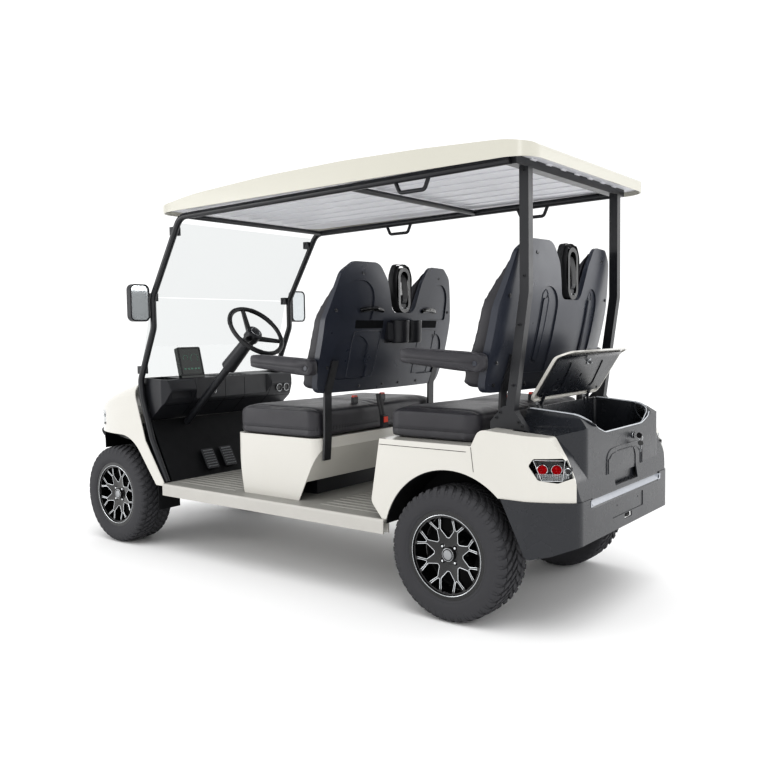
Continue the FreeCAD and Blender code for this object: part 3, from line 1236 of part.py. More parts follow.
def back_slab(dy, dz, pad):
    """Leaning, wrapped slab of the pad, or of the shell behind it."""
    height = BACK_TOP_Z - BACK_BOTTOM_Z
    half = BACK_HALF_WIDTH + OVERRUN
    wires = []
    for level, face, spine, thick in BACK_STATION_SHARES:
        z = BACK_BOTTOM_Z + dz + height * level
        near = BACK_FRONT_Y + dy + height * (face if pad else spine)
        far = BACK_FRONT_Y + dy + height * spine + SHELL_THICKNESS * thick * (0.5 if pad else 1.0)
        far_side = far - BACK_WRAP
        near_side = near - BACK_WRAP
        if pad:
            near_side = min(near - BACK_BOLSTER, far_side - BACK_BOLSTER)
        edges = [
            Part.Arc(point(-half, near_side, z), point(0, near, z), point(half, near_side, z)).toShape(),
            Part.LineSegment(point(half, near_side, z), point(half, far_side, z)).toShape(),
            Part.Arc(point(half, far_side, z), point(0, far, z), point(-half, far_side, z)).toShape(),
            Part.LineSegment(point(-half, far_side, z), point(-half, near_side, z)).toShape()]
        wires.append(Part.Wire(edges))
    return Part.makeLoft(wires, True, False)


def backrest(dy, dz):
    """Padded front part of a bench back."""
    shell = shifted(back_slab(dy, dz, False), 0, -SEAT_GAP, 0)
    pad = back_outline(dy, dz).common(cut(back_slab(dy, dz, True), shell))
    return cut(pad, armrest_pins(dy, dz, SEAT_GAP))


def armrest_pins(dy, dz, gap):
    """Pins in both sides of a back, thicker by a gap."""
    start = BACK_HALF_WIDTH - ARMREST_PIN_RADIUS / 2 - gap
    end = ARMREST_X + ARMREST_WIDTH / 2 - PANEL
    y = armrest_pivot() + dy
    z = ARMREST_PIVOT_Z + dz
    return both_sides(rod(point(start, y, z), point(end, y, z), ARMREST_PIN_RADIUS + gap))


def armrest_pivot():
    """Side-view place of the armrest pin: the middle of the shell's edge."""
    share = (ARMREST_PIVOT_Z - BACK_BOTTOM_Z) / (BACK_TOP_Z - BACK_BOTTOM_Z)
    return back_depth(share, 2) + SHELL_THICKNESS / 2 - BACK_WRAP


def back_shell(dy, dz, recess_shares):
    """Hard shell behind the pad, with arched recesses behind and the armrests' pins."""
    shell = back_outline(dy, dz).common(back_slab(dy, dz, False))
    skin = cut(shell, shifted(back_slab(dy, dz, False), 0, -SHELL_RECESS_DEPTH, 0))
    height = BACK_TOP_Z - BACK_BOTTOM_Z
    rib = arched_block(RECESS_RIB_SHARES, dy, dz)
    recesses = []
    for shares in recess_shares:
        recesses += both_sides(cut(skin.common(arched_block(shares, dy, dz)), rib))
    return fuse([cut(shell, recesses)] + armrest_pins(dy, dz, 0.0))


def arched_block(shares, dy, dz):
    """Upright block with an arched top, through the left half of a back."""
    near, low, far, high = shares
    height = BACK_TOP_Z - BACK_BOTTOM_Z
    left, right = BACK_HALF_WIDTH * near, BACK_HALF_WIDTH * far
    foot, top = BACK_BOTTOM_Z + dz + height * low, BACK_BOTTOM_Z + dz + height * high
    arch = (right - left) / 2 - PANEL
    return prism(
        "y", [(left, foot), (right, foot), (right, top), (left, top)], BACK_FRONT_Y + dy - BACK_WRAP * 2,
        BACK_FRONT_Y + dy + height, [PANEL * 3, PANEL * 3, arch, arch])


def belt_towers():
    """Oval belt guide in the notch of each back."""
    found = []
    height = BACK_TOP_Z - BACK_BOTTOM_Z
    for dy, dz in ((0.0, 0.0), (SEAT_PITCH, SEAT_STEP)):
        low = BACK_TOP_Z + dz - NOTCH_DEPTH + SEAT_GAP
        y = dy + back_depth(1 - NOTCH_DEPTH / height, 2) + SHELL_THICKNESS / 2
        half = TOWER_WIDTH / 2
        outer = [(-half, low), (half, low), (half, low + TOWER_HEIGHT), (-half, low + TOWER_HEIGHT)]
        ring = TOWER_RING
        inner = [(ring - half, low + ring), (half - ring, low + ring), (half - ring, low + TOWER_HEIGHT - ring),
                 (ring - half, low + TOWER_HEIGHT - ring)]
        body = prism("y", outer, y - TOWER_DEPTH / 2, y + TOWER_DEPTH / 2, half)
        hole = prism("y", inner, y - TOWER_DEPTH, y + TOWER_DEPTH, half - ring)
        found.append(cut(body, hole))
    return found


def seat_bracket(dy, dz, x, foot):
    """Flat bar from the seat base's rear edge up to the back's shell."""
    height = BACK_TOP_Z - BACK_BOTTOM_Z
    behind = SHELL_THICKNESS * 0.8 - wrap_at(x - BRACKET_WIDTH / 2)
    low_y = dy + back_depth(0.0, 2) + behind
    high_y = dy + back_depth(BACK_STATION_SHARES[1][0], 2) + behind
    low_z = BACK_BOTTOM_Z + dz
    line = foot + [(low_y, low_z), (high_y, low_z + height * BACK_STATION_SHARES[1][0])]
    back = [(y + BRACKET_THICKNESS, z) for y, z in reversed(line)]
    bends = [0.0] + [BRACKET_WIDTH] * (len(line) - 2) + [0.0]
    bar = prism("x", line + back, x - BRACKET_WIDTH / 2, x + BRACKET_WIDTH / 2, bends + bends)
    return cut(bar, shifted(back_slab(dy, dz, False), 0, SEAT_GAP, 0))


def seat_brackets():
    """Bars that carry both backs."""
    front_foot = [(POD_REAR_TOP_Y + SEAT_GAP, POD_TOP_Z - POD_CORNER * 2), (CUSHION_REAR_Y + SEAT_GAP, POD_TOP_Z)]
    rear_foot = [(REAR_CUSHION_REAR_Y + BRACKET_THICKNESS * 2, REAR_DECK_Z)]
    front = seat_bracket(0.0, 0.0, BRACKET_X, front_foot)
    rear = cut(seat_bracket(SEAT_PITCH, SEAT_STEP, REAR_BRACKET_X, rear_foot), shifted(rear_form(0.0), 0, 0, SEAT_GAP))
    return both_sides(front) + both_sides(rear)


def seat_organizer():
    """Cup holder block on the back of the front bench."""
    height = BACK_TOP_Z - BACK_BOTTOM_Z
    low = ORGANIZER_TOP_Z - ORGANIZER_HEIGHT
    gap = SHELL_THICKNESS / 2
    foot_y = gap + back_depth((low - BACK_BOTTOM_Z) / height, 2)
    top_y = gap + back_depth((ORGANIZER_TOP_Z - BACK_BOTTOM_Z) / height, 2)
    rear = top_y + ORGANIZER_DEPTH
    body = prism(
        "x", [(foot_y, low), (top_y, ORGANIZER_TOP_Z), (rear, ORGANIZER_TOP_Z), (rear, low + ORGANIZER_HEIGHT / 3),
              (foot_y + ORGANIZER_DEPTH / 2, low)],
        -ORGANIZER_HALF_WIDTH, ORGANIZER_HALF_WIDTH, [0.0, 0.0, DASH_CORNER / 2, DASH_CORNER, 0.0])
    cups = []
    for side in (-1, 1):
        foot = point(side * CUP_SPACING / 2, rear - ORGANIZER_DEPTH / 2, ORGANIZER_TOP_Z - CUP_DEPTH)
        cups.append(Part.makeCylinder(CUP_RADIUS, CUP_DEPTH + OVERRUN, foot))
    return cut(body, cups + [shifted(back_slab(0.0, 0.0, False), 0, SEAT_GAP, 0)])


def armrest(side, dy, dz):
    """Padded arm that turns up about a pin in the back's side."""
    x = side * ARMREST_X
    half = ARMREST_WIDTH / 2
    pivot_y = armrest_pivot() + dy
    pivot_z = ARMREST_PIVOT_Z + dz
    tip_y = pivot_y - ARMREST_LENGTH
    rear_y = pivot_y + ARMREST_HEIGHT / 2
    tip_mid = pivot_z + ARMREST_RISE
    corners = [
        (tip_y, tip_mid - ARMREST_TIP_HEIGHT / 2), (tip_y, tip_mid + ARMREST_TIP_HEIGHT / 2),
        (rear_y, pivot_z + ARMREST_HEIGHT / 2), (rear_y, pivot_z - ARMREST_HEIGHT / 2)]
    radii = [ARMREST_TIP_HEIGHT * 0.45, ARMREST_TIP_HEIGHT * 0.4, ARMREST_HEIGHT * 0.4, ARMREST_HEIGHT * 0.4]
    body = prism("x", corners, x - half, x + half, radii)
    bore = rod(point(x - half - OVERRUN, pivot_y, pivot_z), point(x + half + OVERRUN, pivot_y, pivot_z),
               ARMREST_PIN_RADIUS + RUNNING_GAP)
    plan = [(x - half, tip_y), (x + half, tip_y), (x + half, rear_y), (x - half, rear_y)]
    soft = prism("z", plan, pivot_z - ARMREST_LENGTH, pivot_z + ARMREST_LENGTH, half * 0.8)
    return cut(body.common(soft), bore)


def belt_buckles():
    """Belt buckles between cushion and back, two on each bench."""
    found = []
    for front, rear, bottom in (
            (CUSHION_FRONT_Y, CUSHION_REAR_Y, POD_TOP_Z + CUSHION_HEIGHT),
            (REAR_CUSHION_FRONT_Y, REAR_CUSHION_REAR_Y, REAR_CUSHION_BOTTOM_Z + REAR_CUSHION_HEIGHT)):
        y = rear - BUCKLE_WIDTH * 3
        for side in (-1, 1):
            x = side * BUCKLE_X
            corners = [(x - BUCKLE_WIDTH / 2, bottom + SEAT_GAP), (x + BUCKLE_WIDTH / 2, bottom + SEAT_GAP),
                       (x + BUCKLE_WIDTH / 2, bottom + BUCKLE_HEIGHT / 2), (x - BUCKLE_WIDTH / 2, bottom + BUCKLE_HEIGHT / 2)]
            found.append(prism("y", corners, y - BUCKLE_THICKNESS / 2, y + BUCKLE_THICKNESS / 2, BUCKLE_WIDTH / 5))
    return found


# Rear body

def rear_plan(inset):
    """Plan outline of the tail, its two rear corners turned in two steps."""
    half = BODY_HALF_WIDTH - inset
    right = [(half, REAR_BODY_FRONT_Y), (half, REAR_SIDE_STRAIGHT_Y), (REAR_CORNER_MID_X - inset, REAR_CORNER_MID_Y - inset / 2),
             (REAR_CORNER_X - inset, REAR_CORNER_Y - inset)]
    left = [(-x, y) for x, y in reversed(right)]
    bends = [0.0, REAR_CORNER_BEND, REAR_CORNER_BEND, REAR_CORNER_BEND]
    return right + left, bends + bends[::-1]


def rear_side(inset, foot):
    """Side outline of the rear body: seat base front, deck, haunch and sloping tail."""
    rise = REAR_DECK_Z - REAR_BODY_FOOT_Z
    tail_run = REAR_CORNER_Y - TAIL_TOP_Y
    tail_fall = TAIL_TOP_Z - REAR_BUMPER_TOP_Z
    points = [
        (REAR_BODY_FRONT_Y + inset + rise / 6, foot), (REAR_BODY_FRONT_Y + inset, REAR_BODY_FOOT_Z + rise / 5),
        (REAR_BODY_FRONT_Y + inset + rise / 7, REAR_DECK_Z - inset),
        (REAR_CUSHION_REAR_Y + SEAT_GAP + inset / 2, REAR_DECK_Z - inset), (HAUNCH_Y, HAUNCH_Z - inset)]
    points += [(TAIL_TOP_Y + tail_run * a - inset, TAIL_TOP_Z - tail_fall * b - inset / 2) for a, b in TAIL_SHARES]
    points.append((REAR_CORNER_Y - inset, foot))
    radii = [0.0, HAUNCH_BEND, 0.0, 0.0, HAUNCH_BEND, HAUNCH_BEND / 2, HAUNCH_BEND * 3, HAUNCH_BEND * 3, 0.0, 0.0]
    return points, radii


def rear_form(inset):
    """Solid form of the rear body, drawn in by the inset."""
    foot = REAR_BODY_FOOT_Z - (OVERRUN if inset else 0)
    plan, plan_radii = rear_plan(inset)
    side, side_radii = rear_side(inset, foot)
    half = BODY_HALF_WIDTH - inset
    form = prism("z", plan, foot, HAUNCH_Z + OVERRUN, plan_radii)
    return form.common(prism("x", side, -half, half, side_radii))


def rear_body():
    """White rear quarters and seat base, open below and for the boot."""
    shell = cut(rear_form(0.0), rear_form(PANEL))
    gap = SEAT_GAP
    half = SURROUND_HALF_WIDTH + gap
    boot = block((-half, TRUNK_FRONT_Y - gap, REAR_BODY_FOOT_Z), (half, REAR_Y + OVERRUN, HAUNCH_Z + OVERRUN * 2))
    span = BODY_HALF_WIDTH + OVERRUN
    tail = block(
        (-span, REAR_AXLE_Y, REAR_BODY_FOOT_Z - OVERRUN), (span, REAR_Y, REAR_BUMPER_TOP_Z + gap))
    tools = [boot, tail] + arch_cutter(REAR_AXLE_Y, LINER_INNER_X, ARCH_RADIUS) + tail_lamp_zone(0.0)
    return cut(shell, tools)


def rear_liners():
    """Wheelhouse liners over the rear wheels."""
    outer = ARCH_RADIUS - SEAT_GAP
    inner_x = REAR_LINER_INNER_X
    centre = point(inner_x, REAR_AXLE_Y, HUB_Z + ARCH_RISE)
    width = BODY_HALF_WIDTH - inner_x
    ring = Part.makeCylinder(outer, width, centre, X_AXIS)
    hollow = Part.makeCylinder(outer - LINER_WALL, width, centre + X_AXIS * LINER_WALL, X_AXIS)
    return both_sides(cut(ring, hollow).common(rear_form(PANEL + SEAT_GAP)))


def trunk_section(z, inset, half, rear):
    """Plan outline of the trunk at one height."""
    front = TRUNK_FRONT_Y + inset
    right = [(half - inset, front), (half - inset, rear - TRUNK_CORNER), (half - TRUNK_CORNER, rear - inset)]
    left = [(-x, y) for x, y in reversed(right)]
    bends = [TRUNK_CORNER / 5, TRUNK_CORNER, TRUNK_CORNER]
    return outline("z", right + left, bends + bends[::-1], z)


def rim_line(lift, inset):
    """Side-view corners of the tub's rim, raised by a lift: front, bend and rear."""
    return [(TRUNK_FRONT_Y + inset, RIM_FRONT_Z + lift), (RIM_BEND_Y, RIM_BEND_Z + lift),
            (TRUNK_REAR_Y - inset, RIM_REAR_Z + lift)]


def boot_form(inset):
    """Solid form of the dark surround: a hump up to the rim on the body's own tail."""
    gap = SEAT_GAP
    low = STEP_TOP_Z + gap - (OVERRUN if inset else 0)
    wide = SURROUND_HALF_WIDTH - inset
    rim_x = TRUNK_HALF_WIDTH + RIM_WIDTH_ROUND_TUB - inset
    front = TRUNK_FRONT_Y + inset
    rear = TRUNK_REAR_Y - inset
    side = [(front, low)] + [(y, z - inset) for y, z in rim_line(0.0, inset)] + [(rear, low)]
    hump = prism("x", side, -wide, wide, [0.0, 0.0, RIM_BEND, 0.0, 0.0])
    right = [(wide, low), (wide, TAIL_TOP_Z - inset), (SHOULDER_X - inset, SHOULDER_Z - inset), (rim_x, RIM_BEND_Z),
             (rim_x, RIM_FRONT_Z + OVERRUN)]
    left = [(-x, z) for x, z in reversed(right)]
    bends = [0.0, 0.0, SHOULDER_BEND, SHOULDER_BEND, 0.0]
    hump = hump.common(prism("y", right + left, front, rear, bends + bends[::-1]))
    plan = [(wide, front), (wide, TAIL_TOP_Y - inset), (SHOULDER_X - inset, rear), (inset - SHOULDER_X, rear),
            (-wide, TAIL_TOP_Y - inset), (-wide, front)]
    hump = hump.common(prism("z", plan, low, RIM_FRONT_Z, [0.0, HAUNCH_BEND, HAUNCH_BEND, HAUNCH_BEND, HAUNCH_BEND, 0.0]))
    tail = rear_form(inset).common(block((-wide, front, low), (wide, REAR_Y, RIM_FRONT_Z)))
    pods = both_sides(block(
        (STEP_HALF_WIDTH - STEP_SLANT, front - OVERRUN, STEP_TOP_Z - OVERRUN),
        (wide + OVERRUN, REAR_Y, REAR_BUMPER_TOP_Z + (0 if inset else gap))))
    ledges = both_sides(block(
        (SHOULDER_X + LEDGE_DROP - inset, front - OVERRUN, TAIL_TOP_Z - inset - (0 if inset else LEDGE_DROP)),
        (wide + OVERRUN, TRUNK_FRONT_Y + RIM_BEND, RIM_FRONT_Z)))
    return fuse([hump, tail]) if inset else cut(fuse([hump, cut(tail, ledges)]), pods)


def trunk_tub(inset, top):
    """Tapered form of the tub, drawn in by its wall."""
    return Part.makeLoft([
        trunk_section(TRUNK_BOTTOM_Z + inset, inset, TRUNK_HALF_WIDTH - TRUNK_TAPER, TRUNK_REAR_Y - TRUNK_TAPER),
        trunk_section(top, inset, TRUNK_HALF_WIDTH, TRUNK_REAR_Y)], True, True)


def trunk_box():
    """Open boot: tub and moulded surround in one, with a sloping rim that dips at the rear."""
    top = RIM_FRONT_Z + OVERRUN
    form = boot_form(0.0)
    skin = cut(form, boot_form(PANEL))
    under_rim = prism(
        "x", [(TRUNK_FRONT_Y, TRUNK_BOTTOM_Z)] + rim_line(0.0, 0.0) + [(TRUNK_REAR_Y, TRUNK_BOTTOM_Z)],
        -SURROUND_HALF_WIDTH, SURROUND_HALF_WIDTH, [0.0, 0.0, RIM_BEND, 0.0, 0.0])
    body = fuse([skin, trunk_tub(0.0, top).common(under_rim)])
    dip = RIM_DIP_HALF_WIDTH + RIM_DIP_RUN
    notch = prism(
        "y", [(-dip, RIM_REAR_Z), (-RIM_DIP_HALF_WIDTH, RIM_DIP_Z), (RIM_DIP_HALF_WIDTH, RIM_DIP_Z), (dip, RIM_REAR_Z),
              (dip, top), (-dip, top)], TRUNK_REAR_Y - TRUNK_CORNER, REAR_Y, [RIM_DIP_RUN] * 4 + [0.0, 0.0])
    notch = cut(notch, block((-dip, RIM_BEND_Y - TRUNK_CORNER, RIM_BEND_Z), (dip, RIM_BEND_Y, top)))
    half = BOOT_PANEL_HALF_WIDTH
    panel = prism(
        "y", [(-half, BOOT_PANEL_BOTTOM_Z), (half, BOOT_PANEL_BOTTOM_Z), (half, BOOT_PANEL_TOP_Z), (-half, BOOT_PANEL_TOP_Z)],
        TRUNK_REAR_Y - BOOT_PANEL_DEPTH, REAR_Y, [0.0, 0.0, SHOULDER_BEND, SHOULDER_BEND])
    lock = rod(point(LOCK_X, TRUNK_REAR_Y - TRUNK_WALL, LOCK_Z), point(LOCK_X, TRUNK_REAR_Y + LOCK_HEIGHT, LOCK_Z), LOCK_RADIUS)
    body = cut(body, [trunk_tub(TRUNK_WALL, top + OVERRUN), notch, panel])
    return fuse([body, lock] + both_sides(lid_ears()))


def lid_ears():
    """Two ears with a pin between them, on the tub's front wall."""
    half = LID_HINGE_WIDTH / 2
    low = RIM_FRONT_Z - LID_HINGE_WIDTH / 2
    top = LID_HINGE_Z + LID_HINGE_RADIUS
    pieces = [rod(point(LID_HINGE_X - half, LID_HINGE_Y, LID_HINGE_Z), point(LID_HINGE_X + half, LID_HINGE_Y, LID_HINGE_Z),
                  LID_PIN_RADIUS)]
    for x in (LID_HINGE_X - half, LID_HINGE_X + half - LID_EAR_WIDTH):
        corners = [(TRUNK_FRONT_Y - LID_PIN_RADIUS, low), (TRUNK_FRONT_Y - LID_PIN_RADIUS, top),
                   (LID_HINGE_Y + LID_HINGE_RADIUS, top), (LID_HINGE_Y + LID_HINGE_RADIUS, low)]
        pieces.append(prism("x", corners, x, x + LID_EAR_WIDTH, [0.0, LID_PIN_RADIUS, LID_PIN_RADIUS, 0.0]))
    return fuse(pieces)


def lid_layer(low, high, inset):
    """Layer of the closed lid that follows the rim, from one lift over it to another."""
    start = LID_HINGE_Y + LID_HINGE_RADIUS * 2
    near = start + inset
    far = LID_REAR_Y - inset
    front_slope = (RIM_FRONT_Z - RIM_BEND_Z) / (RIM_BEND_Y - start)
    rear_slope = (RIM_BEND_Z - RIM_REAR_Z) / (TRUNK_REAR_Y - RIM_BEND_Y)
    line = [(near, RIM_FRONT_Z - inset * front_slope), (RIM_BEND_Y, RIM_BEND_Z),
            (far, RIM_REAR_Z + (TRUNK_REAR_Y - far) * rear_slope)]
    under = [(y, z + LID_LIFT + low) for y, z in line]
    over = [(y, z + LID_LIFT + high) for y, z in reversed(line)]
    half = LID_HALF_WIDTH - inset
    bent = prism("x", under + over, -half, half, [0.0, LID_BEND, 0.0, 0.0, LID_BEND, 0.0])
    plan = [(half, near), (half, far), (-half, far), (-half, near)]
    corner = LID_CORNER - inset
    return bent.common(prism("z", plan, RIM_DIP_Z, RIM_FRONT_Z + OVERRUN * 2, [corner / 2, corner, corner, corner / 2]))


def lid_turn(shape):
    """Lid piece turned from flat to its open rest."""
    return turned(shape, point(0, LID_HINGE_Y, LID_HINGE_Z), X_AXIS, LID_OPEN_ANGLE)


def lid_outer():
    """White outer skin of the lid, with a turned-down edge."""
    skin = lid_layer(0.0, LID_THICKNESS, 0.0)
    edge = LID_THICKNESS / 2
    half = LID_HINGE_WIDTH / 2 - LID_EAR_WIDTH
    notches = both_sides(block(
        (LID_HINGE_X - half, LID_HINGE_Y, LID_HINGE_Z - LID_HINGE_RADIUS - OVERRUN),
        (LID_HINGE_X + half, LID_HINGE_Y + LID_HINGE_RADIUS * 2 + LID_INNER_INSET, LID_HINGE_Z - LID_PIN_RADIUS)))
    return lid_turn(cut(skin, [lid_layer(-OVERRUN, LID_THICKNESS - edge, edge)] + notches))


def lid_inner():
    """Dark inner panel of the lid: two slanted recesses, a middle hole and the hinge knuckles."""
    half = LID_HINGE_WIDTH / 2 - LID_EAR_WIDTH - SEAT_GAP
    face = LID_THICKNESS / 2 - SEAT_GAP
    plate = lid_layer(face - LID_INNER_THICKNESS, face, LID_INNER_INSET)
    near = LID_HINGE_Y + LID_HINGE_RADIUS * 2 + LID_INNER_INSET * 2
    far = RIM_BEND_Y - LID_INNER_INSET
    pockets = []
    for side in (-1, 1):
        foot = side * LID_RIB_X
        head = foot + LID_RIB_SLANT
        width = LID_RIB_WIDTH / 2
        strip = prism("z", [(foot - width, near), (foot + width, near), (head + width, far), (head - width, far)],
                      RIM_DIP_Z, RIM_FRONT_Z + OVERRUN * 2, LID_RIB_WIDTH / 4)
        pockets.append(strip.common(lid_layer(
            face - LID_INNER_THICKNESS - OVERRUN, face - LID_INNER_THICKNESS + LID_RIB_DEPTH, LID_INNER_INSET / 2)))
    middle = (near + far) / 2
    pockets.append(Part.makeCylinder(LID_HOLE_RADIUS, OVERRUN * 4, point(0, middle, RIM_BEND_Z - OVERRUN)))
    knuckles = []
    bores = []
    for side in (-1, 1):
        x = side * LID_HINGE_X
        start = point(x - half, LID_HINGE_Y, LID_HINGE_Z)
        knuckles.append(rod(start, point(x + half, LID_HINGE_Y, LID_HINGE_Z), LID_HINGE_RADIUS - SEAT_GAP))
        knuckles.append(block(
            (x - half, LID_HINGE_Y, LID_HINGE_Z - LID_HINGE_RADIUS + SEAT_GAP),
            (x + half, LID_HINGE_Y + LID_HINGE_RADIUS * 2 + LID_INNER_INSET + PANEL, LID_HINGE_Z - LID_PIN_RADIUS - SEAT_GAP)))
        bores.append(rod(start - X_AXIS * OVERRUN, point(x + half + OVERRUN, LID_HINGE_Y, LID_HINGE_Z),
                         LID_PIN_RADIUS + RUNNING_GAP))
    return lid_turn(cut(fuse([plate] + knuckles), pockets + bores))


def bumper_ring(inset):
    """Plan outline of the bumper, stood out from the tail and drawn in by the inset."""
    plan, radii = rear_plan(0.0)
    grow = REAR_Y - REAR_CORNER_Y - inset
    ring = [(x + math.copysign(grow, x), y + (grow if y > REAR_SIDE_STRAIGHT_Y else 0.0)) for x, y in plan]
    return ring, radii


def rear_bumper():
    """Wrap-round bumper cover with a sloping step, corner pods and a plate recess."""
    outer, radii = bumper_ring(0.0)
    inner, inner_radii = bumper_ring(REAR_BUMPER_WALL)
    top = REAR_BUMPER_TOP_Z
    low = BUMPER_FRONT_FOOT_Z
    span = BODY_HALF_WIDTH + OVERRUN
    ring = cut(prism("z", outer, low, top, radii), prism("z", inner, low - OVERRUN, top + OVERRUN, inner_radii))
    side = prism("x", [
        (BUMPER_FRONT_TOP_Y, top), (BUMPER_FRONT_FOOT_Y, BUMPER_FRONT_FOOT_Z), (BUMPER_CORNER_Y, BUMPER_CORNER_Z),
        (REAR_Y + OVERRUN, BUMPER_MIDDLE_Z), (REAR_Y + OVERRUN, top)], -span, span,
        [0.0, HAUNCH_BEND / 2, HAUNCH_BEND * 2, 0.0, 0.0])
    shelf = prism("x", [
        (TRUNK_REAR_Y + SEAT_GAP, STEP_TOP_Z), (REAR_Y, STEP_EDGE_Z), (REAR_Y, STEP_EDGE_Z - REAR_BUMPER_WALL),
        (TRUNK_REAR_Y + SEAT_GAP, STEP_TOP_Z - REAR_BUMPER_WALL)], -STEP_HALF_WIDTH, STEP_HALF_WIDTH)
    lowered = prism("y", [
        (-STEP_HALF_WIDTH, top + OVERRUN), (STEP_SLANT - STEP_HALF_WIDTH, STEP_EDGE_Z), (STEP_HALF_WIDTH - STEP_SLANT, STEP_EDGE_Z),
        (STEP_HALF_WIDTH, top + OVERRUN)], TRUNK_REAR_Y, REAR_Y + OVERRUN)
    half = PLATE_RECESS_HALF_WIDTH
    recess = prism("y", [
        (-half, PLATE_RECESS_LOW_Z), (half, PLATE_RECESS_LOW_Z), (half, PLATE_RECESS_HIGH_Z), (-half, PLATE_RECESS_HIGH_Z)],
        REAR_Y - PLATE_RECESS_DEPTH, REAR_Y + OVERRUN, REAR_BUMPER_WALL)
    holes = []
    for side_sign in (-1, 1):
        start = point(side_sign * PLATE_HOLE_SPACING / 2, REAR_Y - OVERRUN, PLATE_HOLE_Z)
        holes.append(Part.makeCylinder(PLATE_HOLE_RADIUS, 2 * OVERRUN, start, Y_AXIS))
    hitch_top = FLOOR_HEIGHT - FLOOR_THICKNESS - RAIL_HEIGHT + RAIL_REAR_RISE
    slot = block(
        (-HITCH_WIDTH / 2 - PANEL, REAR_Y - OVERRUN * 2, hitch_top - HITCH_THICKNESS - PANEL),
        (HITCH_WIDTH / 2 + PANEL, REAR_Y + OVERRUN, hitch_top + PANEL))
    cover = cut(ring.common(side), [lowered, recess])
    return cut(fuse([cover, shelf]), holes + [slot])


def tail_lamps():
    """Lamps that wrap round the rear corners."""
    form = cut(rear_form(0.0), rear_form(TAIL_LAMP_DEPTH))
    return [form.common(zone) for zone in tail_lamp_zone(SEAT_GAP)]


def tail_lamp_zone(gap):
    """Space of both tail lamps, drawn in by a gap."""
    run = REAR_CORNER_Y - REAR_SIDE_STRAIGHT_Y
    rise = TAIL_TOP_Z - REAR_BUMPER_TOP_Z
    corners = [(REAR_SIDE_STRAIGHT_Y + run * a, REAR_BUMPER_TOP_Z + rise * b) for a, b in TAIL_LAMP_SHARES]
    centre_y = sum(y for y, _ in corners) / len(corners)
    centre_z = sum(z for _, z in corners) / len(corners)
    drawn = [(y + math.copysign(gap, centre_y - y), z + math.copysign(gap, centre_z - z)) for y, z in corners]
    low_x = SURROUND_HALF_WIDTH + PANEL + gap
    return both_sides(prism("x", drawn, low_x, BODY_HALF_WIDTH + OVERRUN, TAIL_LAMP_BEND))


# Roof and pillars

def roof_form(inset):
    """Solid form of the roof, drawn in by the inset."""
    front = ROOF_FRONT_Y + inset
    length = ROOF_REAR_Y - inset - front
    half = ROOF_HALF_WIDTH - inset
    low = ROOF_EDGE_Z - (OVERRUN if inset else 0)
    top = [(front + length * a, ROOF_EDGE_Z + ROOF_RISE * b - inset) for a, b in ROOF_SHARES]
    side = [(front, low)] + top + [(front + length, low)]
    bends = [0.0, ROOF_RISE / 5] + [length] * (len(top) - 2) + [ROOF_RISE / 5, 0.0]
    body = prism("x", side, -half, half, bends)
    plan = [(half, front), (half, front + length), (-half, front + length), (-half, front)]
    return body.common(prism("z", plan, low, ROOF_EDGE_Z + ROOF_RISE, ROOF_CORNER))


def roof():
    """Moulded roof, hollow from below."""
    return cut(roof_form(0.0), roof_form(ROOF_WALL))


def roof_liner():
    """Liner panel inside the roof's rim, resting on the side rails."""
    low = RAIL_Z + PILLAR_RADIUS + SEAT_GAP
    span = ROOF_HALF_WIDTH
    slab = block((-span, ROOF_FRONT_Y, low), (span, ROOF_REAR_Y, low + LINER_THICKNESS))
    return roof_form(ROOF_WALL + SEAT_GAP).common(slab)


def a_pillar_path():
    """Centre line of the left A-pillar and side rail."""
    line = [point(A_PILLAR_X, y, z) for y, z in a_pillar_line()]
    line.append(point(A_PILLAR_X, RAIL_REAR_END_Y, RAIL_Z))
    return line


def roof_side_frames():
    """Left and right A-pillar, each bent from one tube with its side rail."""
    side = tube(a_pillar_path(), PILLAR_RADIUS, A_PILLAR_BEND)
    span = A_PILLAR_X + PILLAR_RADIUS * 2
    below = block(
        (-span, FRONT_AXLE_Y, FLOOR_HEIGHT - A_PILLAR_BEND), (span, RAIL_REAR_END_Y, FLOOR_HEIGHT + SEAT_GAP))
    return both_sides(cut(side, below))


def roof_cross_members():
    """Front tube, middle tube and rear channel between the side rails."""
    keep_off = both_sides(tube(a_pillar_path(), PILLAR_RADIUS + SEAT_GAP, A_PILLAR_BEND))
    front_y = a_pillar_line()[-1][0] + A_PILLAR_BEND / 2
    found = []
    for y in (front_y, CROSS_TUBE_Y):
        found.append(rod(point(-A_PILLAR_X, y, rail_z(y)), point(A_PILLAR_X, y, rail_z(y)), CROSS_TUBE_RADIUS))
    found.append(block(
        (-A_PILLAR_X, RAIL_REAR_END_Y - CHANNEL_WIDTH / 2, RAIL_Z - CHANNEL_HEIGHT / 2),
        (A_PILLAR_X, RAIL_REAR_END_Y + CHANNEL_WIDTH / 2, RAIL_Z + CHANNEL_HEIGHT / 2)))
    return [cut(piece, keep_off) for piece in found]


